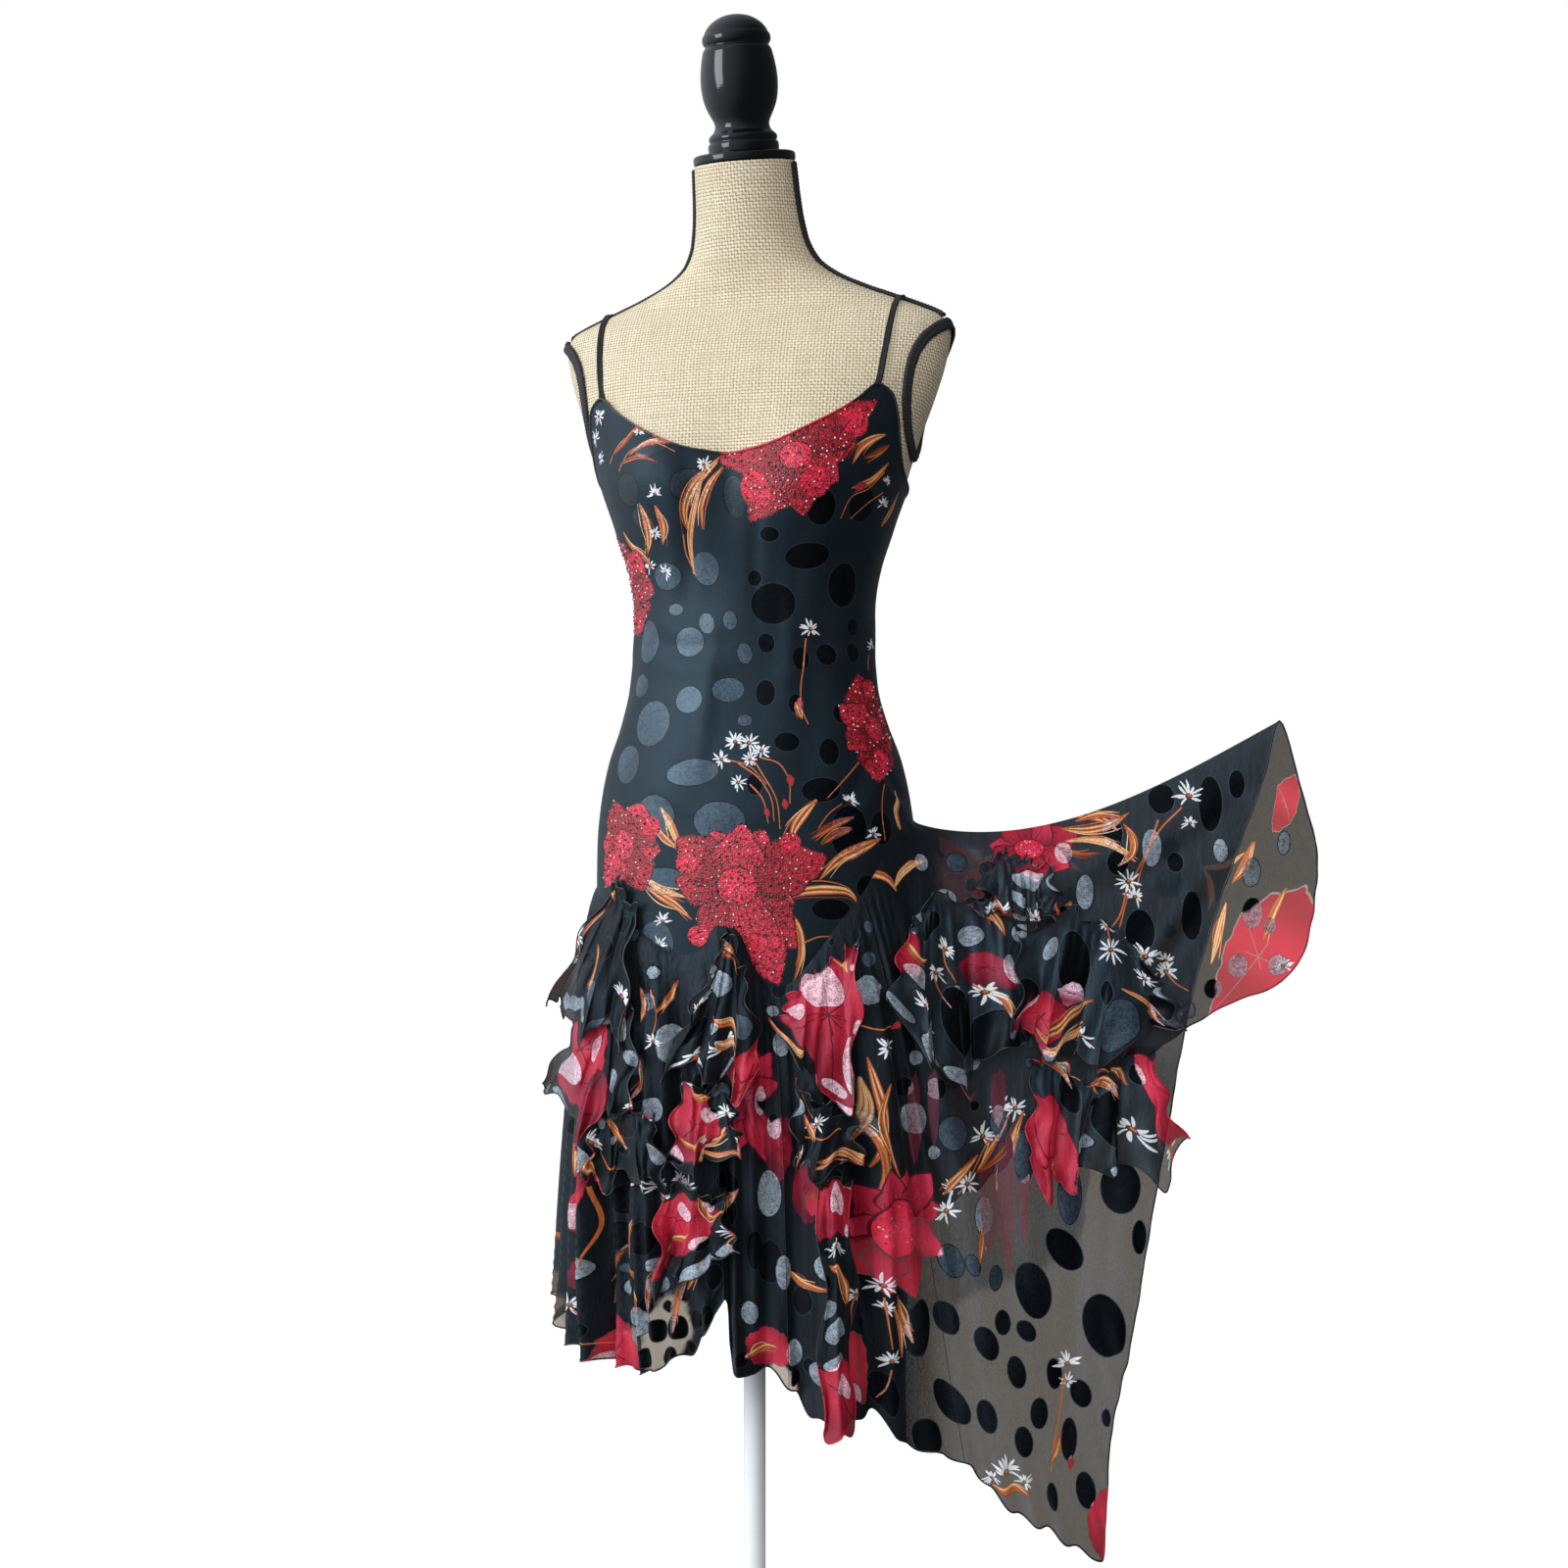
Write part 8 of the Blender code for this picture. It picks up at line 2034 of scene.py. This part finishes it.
def turned_form(name, profile, foot, axis, steps=96, per=5):
    """A round surface through a profile of (radius, height) rows, smoothed between them."""
    rows = np.asarray(profile, float)
    line = curve_through(rows, per * len(rows)) if per > 1 else rows
    line[:, 0] = np.maximum(line[:, 0], 0.0003)
    axis = np.asarray(axis, float) / np.linalg.norm(axis)
    across = np.array([1.0, 0.0, 0.0])
    other = np.cross(axis, across)
    a = np.linspace(0, 2 * math.pi, steps, endpoint=False)
    circle = np.cos(a)[:, None] * across + np.sin(a)[:, None] * other
    return closed_rings(name, [np.asarray(foot, float) + axis * h + circle * r for r, h in line])


disc_rows = [(0.0440, 0.0006), (0.0478, 0.0006), (0.0490, 0.0014), (0.0493, 0.0030), (0.0493, 0.0058), (0.0490, 0.0076), (0.0478, 0.0086), (0.0400, 0.0088)]
disc = turned_form("neck_disc", disc_rows, NECK_TOP, UP, 96, 3)
take(disc, "finial_gloss_black", "form_neck_disc", materials=(LACQUER,))
FINIAL_PROFILE = [
    (0.0325, 0.0089), (0.0335, 0.0098), (0.0340, 0.0125), (0.0340, 0.0172), (0.0334, 0.0190), (0.0320, 0.0200), (0.0326, 0.0214), (0.0331, 0.0232), (0.0326, 0.0252), (0.0312, 0.0268),
    (0.0284, 0.0292), (0.0267, 0.0322), (0.0262, 0.0352), (0.0268, 0.0385), (0.0285, 0.0420), (0.0306, 0.0460), (0.0330, 0.0510), (0.0350, 0.0570), (0.0363, 0.0640), (0.0369, 0.0720), (0.0366, 0.0800),
    (0.0356, 0.0880), (0.0340, 0.0960), (0.0324, 0.1016), (0.0308, 0.1040), (0.0300, 0.1052), (0.0312, 0.1066), (0.0322, 0.1084), (0.0326, 0.1110), (0.0322, 0.1136), (0.0312, 0.1154), (0.0306, 0.1160),
    (0.0296, 0.1182), (0.0276, 0.1212), (0.0248, 0.1242), (0.0208, 0.1272), (0.0156, 0.1300), (0.0098, 0.1318), (0.0040, 0.1327), (0.0005, 0.1328),
]
finial = turned_form("finial", FINIAL_PROFILE, NECK_TOP, UP, 128, 4)
take(finial, "finial_gloss_black", "form_finial", materials=(LACQUER,))

base_rows = [(0.1360, 0.0001), (0.1390, 0.0006), (0.1399, 0.0030), (0.1400, 0.0080), (0.1399, 0.0130), (0.1388, 0.0160), (0.1362, 0.0178), (0.1300, 0.0181), (0.0600, 0.0184), (0.0240, 0.0188)]
stand_foot = turned_form("stand_foot", base_rows, (0, 0, 0), (0, 0, 1), 128, 3)
take(stand_foot, "stand_white", "stand_base", materials=(STAND,))
pole_rows = [(0.0200, 0.0186), (0.0200, 0.0400), (0.0196, 0.0445), (0.0180, 0.0475), (0.0135, 0.0492), (0.0112, 0.0506), (0.0110, 0.0540), (0.0110, 0.3), (0.0110, 0.6), (0.0110, FORM_FOOT - 0.0105)]
pole = turned_form("stand_post", pole_rows, (0, 0, 0), (0, 0, 1), 48, 1)
take(pole, "stand_white", "stand_pole", materials=(STAND,))


def braid(name, path, normal, wide, thick, closed=False):
    """A soft flat braid: three strands plaited over one another along a path."""
    path, normal = np.asarray(path, float), np.asarray(normal, float)
    long = np.r_[0, np.cumsum(np.linalg.norm(np.diff(path, axis=0), axis=1))]
    count = int(long[-1] / 0.0011)
    at = np.linspace(0, long[-1], count)
    path = np.stack([np.interp(at, long, path[:, k]) for k in range(3)], 1)
    normal = np.stack([np.interp(at, long, normal[:, k]) for k in range(3)], 1)
    normal /= np.linalg.norm(normal, axis=1, keepdims=True)
    tangent = np.gradient(path, axis=0)
    tangent /= np.linalg.norm(tangent, axis=1, keepdims=True)
    side = np.cross(normal, tangent)
    parts = []
    turns = at / 0.0105 * 2 * math.pi
    for strand in range(3):
        phase = turns + strand * 2 * math.pi / 3
        centre = path + side * (wide * 0.30 * np.sin(phase))[:, None] + normal * (thick * 0.55 + thick * 0.30 * np.sin(2 * phase))[:, None]
        parts.append(tube_mesh(centre, wide * 0.235, 8, squash=0.62, up=normal))
    cord_core = path + normal * (thick * 0.35)
    parts.append(tube_mesh(cord_core, wide * 0.40, 8, squash=0.30, up=normal))
    pts = np.concatenate([p[0] for p in parts])
    at_face = np.cumsum([0] + [len(p[0]) for p in parts[:-1]])
    return add_mesh(name, pts, np.concatenate([p[1] + k for p, k in zip(parts, at_face)]))


for side, deg in (("right", 82.0), ("left", -87.0)):
    z = np.linspace(FORM_NECK - 0.003, 1.3490, 90)
    d = np.full_like(z, deg)
    path = skin(d, z, np.full_like(z, 0.0004))
    normal = path - skin(d, z, np.full_like(z, -0.002))
    made = braid("braid_shoulder_%s_cord" % side, path, normal, 0.0112, 0.0024)
    take(made, "form_braid", "braid_shoulder_" + side, materials=(BRAID,))


def side_point(sign, y, z, out):
    """On the form's side: the skin point with this y at this section height."""
    col = smooth_table(TORSO_A[:, 0], TORSO_A[:, 1:], z)
    half, front, back, mid, square = (col[..., k] for k in range(5))
    depth = np.where(y < mid, mid - front, back - mid)
    c = -np.sign(y - mid) * np.clip(np.abs(y - mid) / depth, 0, 1) ** (square / 2)
    deg = np.degrees(np.arccos(np.clip(c, -1, 1))) * sign
    return skin(deg, z, out)


ARMHOLE = dict(y=0.004, z=1.281, half_y=0.052, half_z=0.062, wide=0.011)
for side, sign in (("right", 1.0), ("left", -1.0)):
    a = np.radians(np.linspace(2.5, 357.5, 184))
    y = ARMHOLE["y"] + ARMHOLE["half_y"] * np.sin(a)
    z = ARMHOLE["z"] + ARMHOLE["half_z"] * np.cos(a)
    path = side_point(sign, y, z, np.full_like(a, 0.0004))
    normal = path - side_point(sign, y, z, np.full_like(a, -0.002))
    made = braid("braid_armhole_%s_cord" % side, path, normal, 0.0112, 0.0028)
    take(made, "form_braid", "braid_armhole_" + side, materials=(BRAID,))


def inside_form(p):
    col = smooth_table(TORSO_A[:, 0], TORSO_A[:, 1:], p[2])
    half, front, back, mid, square = col[:5]
    depth = (mid - front) if p[1] < mid else (back - mid)
    bust = BUST["rise"] * math.exp(
        -((abs(p[0]) - BUST["x"]) ** 2) / (2 * BUST["wide"] ** 2) - (p[2] - BUST["z"]) ** 2 / (2 * BUST["tall"] ** 2)
    )
    depth += bust if p[1] < mid else 0.0
    return (abs(p[0]) / half) ** square + (abs(p[1] - mid) / depth) ** square < 1


strap_long = {}
for side, sign in (("right", 1.0), ("left", -1.0)):
    start = body_cloth(FRONT_STRAP * sign, 0.004, 0.0)
    end = body_cloth(BACK_STRAP * sign, 0.004, 0.0)
    hub = np.array([0.0, 0.004, 1.250])
    a0 = math.atan2(start[2] - hub[2], -(start[1] - hub[1]))
    a1 = math.atan2(end[2] - hub[2], -(end[1] - hub[1]))
    if a1 < a0:
        a1 += 2 * math.pi
    path, normals = [], []
    crest = 0.149 * sign
    for a in np.linspace(a0, a1, 90):
        f = (a - a0) / (a1 - a0)
        if f < 0.5:
            x = start[0] + (crest - start[0]) * math.sin(math.pi * f)
        else:
            x = end[0] + (crest - end[0]) * math.sin(math.pi * (1 - f))
        lo, hi = 0.0, 0.25
        for _ in range(40):
            r = (lo + hi) / 2
            q = (x, hub[1] - r * math.cos(a), hub[2] + r * math.sin(a))
            if 1.15 < q[2] < 1.40 and inside_form(q):
                lo = r
            else:
                hi = r
        # Close to the form, and over the braid at the top of the shoulder
        r = lo + 0.0018 * math.sin(math.pi * f) ** 0.4 + 0.0040 * math.exp(-(((a - math.pi / 2) / 0.17) ** 2))
        path.append([x, hub[1] - r * math.cos(a), hub[2] + r * math.sin(a)])
        normals.append([0.0, -math.cos(a), math.sin(a)])
    path, normals = np.array(path), np.array(normals)
    path[0], path[-1] = start, end
    for _ in range(6):
        path[1:-1] = (path[:-2] + 2 * path[1:-1] + path[2:]) / 4
    strap_long[side] = float(np.linalg.norm(np.diff(path, axis=0), axis=1).sum())
    along = np.gradient(path, axis=0)
    along /= np.linalg.norm(along, axis=1, keepdims=True)
    out = normals - along * (normals * along).sum(axis=1, keepdims=True)
    out /= np.linalg.norm(out, axis=1, keepdims=True)
    across = np.cross(out, along)
    half, thick = STRAP_WIDE / 2 * 0.92, 0.0008
    profile = [(-1.0, 0.0), (-0.92, 0.8), (-0.70, 1.15), (-0.35, 0.85), (0.0, 0.80), (0.35, 0.85), (0.70, 1.15), (0.92, 0.8), (1.0, 0.0), (0.85, -0.8), (0.0, -0.9), (-0.85, -0.8)]
    ring = np.stack([path + across * (half * x) + out * (thick * y) for x, y in profile], axis=1)
    rows, cols = ring.shape[:2]
    i, j = np.meshgrid(np.arange(rows - 1), np.arange(cols), indexing="ij")
    i, j = i.ravel(), j.ravel()
    j2 = (j + 1) % cols
    quads = np.stack([i * cols + j, i * cols + j2, (i + 1) * cols + j2, (i + 1) * cols + j], axis=1)
    made = add_mesh("strap_%s_band" % side, ring.reshape(-1, 3), quads)
    take(made, "strap_cloth", "strap_" + side, materials=(STRAP_MATERIAL,))


# ---------------------------------------------------------------- the cloth's cuts
# Each cut's width and length in metres: along its widest row and down its longest line,
# with the folds let out
CUT = {}
for name, patch in patches.items():
    fine_a, fine_b = np.meshgrid(np.linspace(*patch.a, 401), np.linspace(*patch.b, 161))
    P = patch.full(fine_a, fine_b)
    wide = float(np.linalg.norm(np.diff(P, axis=1), axis=-1).sum(axis=1).max())
    tall = float(np.linalg.norm(np.diff(P, axis=0), axis=-1).sum(axis=0).max())
    area = float(np.linalg.norm(np.cross(P[:-1, 1:] - P[:-1, :-1], P[1:, :-1] - P[:-1, :-1]), axis=-1).sum())
    CUT[name] = (round(wide, 3), round(tall, 3), round(min(max(area, 0.31 * wide * tall), 0.998 * wide * tall), 4))
print("cuts", CUT)
for name, patch in patches.items():
    wide, tall, area = CUT[name]
    held = "gathered" if name.startswith("ruffle_") else "stretched" if name in ("skirt_side_front", "skirt_side_back") else "hung"


# ---------------------------------------------------------------- floor, light and camera
def floor_material():
    made, tree = new_material("pale_floor")
    place = add(tree, "TexCoord").outputs["Object"]
    grain = noise(tree, place, 6.0, 4.0, 0.6)
    colour = mixed(tree, ramp(tree, grain, 0.3, 0.7), (0.46, 0.46, 0.46, 1.0), (0.48, 0.48, 0.48, 1.0))
    shader = add(tree, "BsdfPrincipled", None, Base_Color=colour, Roughness=0.9)
    shader.inputs["Specular IOR Level"].default_value = 0.0
    # A white sweep lit from under, as a studio's is: it joins the backdrop with no line
    shader.inputs["Emission Color"].default_value = (1.0, 1.0, 1.0, 1.0)
    shader.inputs["Emission Strength"].default_value = 0.82
    finish_material(tree, shader.outputs[0])
    return made


a = np.linspace(0, 2 * math.pi, 96, endpoint=False)
floor_pts = np.concatenate([np.stack([14 * np.cos(a), 14 * np.sin(a), 0 * a - 0.0002], 1), [[0, 0, -0.0002]]])
k = np.arange(96)
floor = add_mesh("floor", floor_pts, np.stack([np.full(96, 96), k, (k + 1) % 96], 1), False)
floor.data.materials.append(floor_material())
floor.visible_diffuse = floor.visible_glossy = False  # it shows, but throws no glare up the cloth

world = bpy.data.worlds.new("studio")
bpy.context.scene.world = world
world.use_nodes = True
tree = world.node_tree
tree.nodes.clear()
# A pale room that the camera sees, lit from its left: its light falls off to the right
place = add(tree, "TexCoord").outputs["Generated"]
across = add(tree, "VectorMath", {"operation": "DOT_PRODUCT"}, i0=place, i1=tuple(float(v) for v in row_frame(-0.93, 0.20, 0.30))).outputs["Value"]
share = maths(tree, "POWER", ramp(tree, across, -0.35, 0.95), 1.6)
room = mixed(tree, share, (0.100, 0.102, 0.108, 1.0), (1.10, 1.19, 1.30, 1.0))
light = add(tree, "Background", None, Color=room, Strength=1.0)
seen = add(tree, "Background", None, Color=(1.0, 1.0, 1.0, 1.0), Strength=1.0)
path = tree.nodes.new("ShaderNodeLightPath")
both = add(tree, "MixShader", None, i0=path.outputs["Is Camera Ray"])
tree.links.new(light.outputs[0], both.inputs[1])
tree.links.new(seen.outputs[0], both.inputs[2])
out = tree.nodes.new("ShaderNodeOutputWorld")
tree.links.new(both.outputs[0], out.inputs["Surface"])


def soft_light(name, place, aim, size, power, colour):
    data = bpy.data.lights.new(name, "AREA")
    data.shape = "RECTANGLE"
    data.size, data.size_y = size
    data.energy = power
    data.color = colour
    obj = bpy.data.objects.new(name, data)
    bpy.context.scene.collection.objects.link(obj)
    obj.location = place
    obj.rotation_mode = "QUATERNION"
    obj.rotation_quaternion = (Vector(aim) - Vector(place)).to_track_quat("-Z", "Y")
    return obj


def at_row(u, w, z):
    return tuple(float(v) for v in row_frame(u, w, z))


soft_light("key", at_row(-2.0, 1.2, 1.7), at_row(0.0, 0.0, 0.9), (1.0, 1.5), 37.5, (0.93, 0.97, 1.0))
front = soft_light("front", at_row(0.5, 2.9, 2.1), at_row(0.05, 0.0, 0.9), (1.8, 1.2), 43.0, (1.0, 0.97, 0.94))
front.visible_glossy = False
# A softer light behind, for the sides and back
behind = soft_light("behind", at_row(1.3, -2.8, 1.9), at_row(0.05, 0.0, 0.9), (2.2, 1.8), 34.0, (0.98, 0.98, 1.0))
behind.visible_glossy = False

camera_data = bpy.data.cameras.new("camera")
camera_data.sensor_width = 36.0
camera_data.lens = 36.0 * PX / 1600.0
camera_data.clip_start, camera_data.clip_end = 0.05, 60.0
camera = bpy.data.objects.new("camera", camera_data)
bpy.context.scene.collection.objects.link(camera)
camera.location = at_row(EYE_U, EYE_W, EYE_Z)
camera.rotation_mode = "QUATERNION"
look = Vector(at_row(EYE_U, 0.0, EYE_Z)) - Vector(at_row(EYE_U, EYE_W, EYE_Z))
camera.rotation_quaternion = look.to_track_quat("-Z", "Y")
bpy.context.scene.camera = camera
bpy.context.scene.view_settings.view_transform = "Standard"
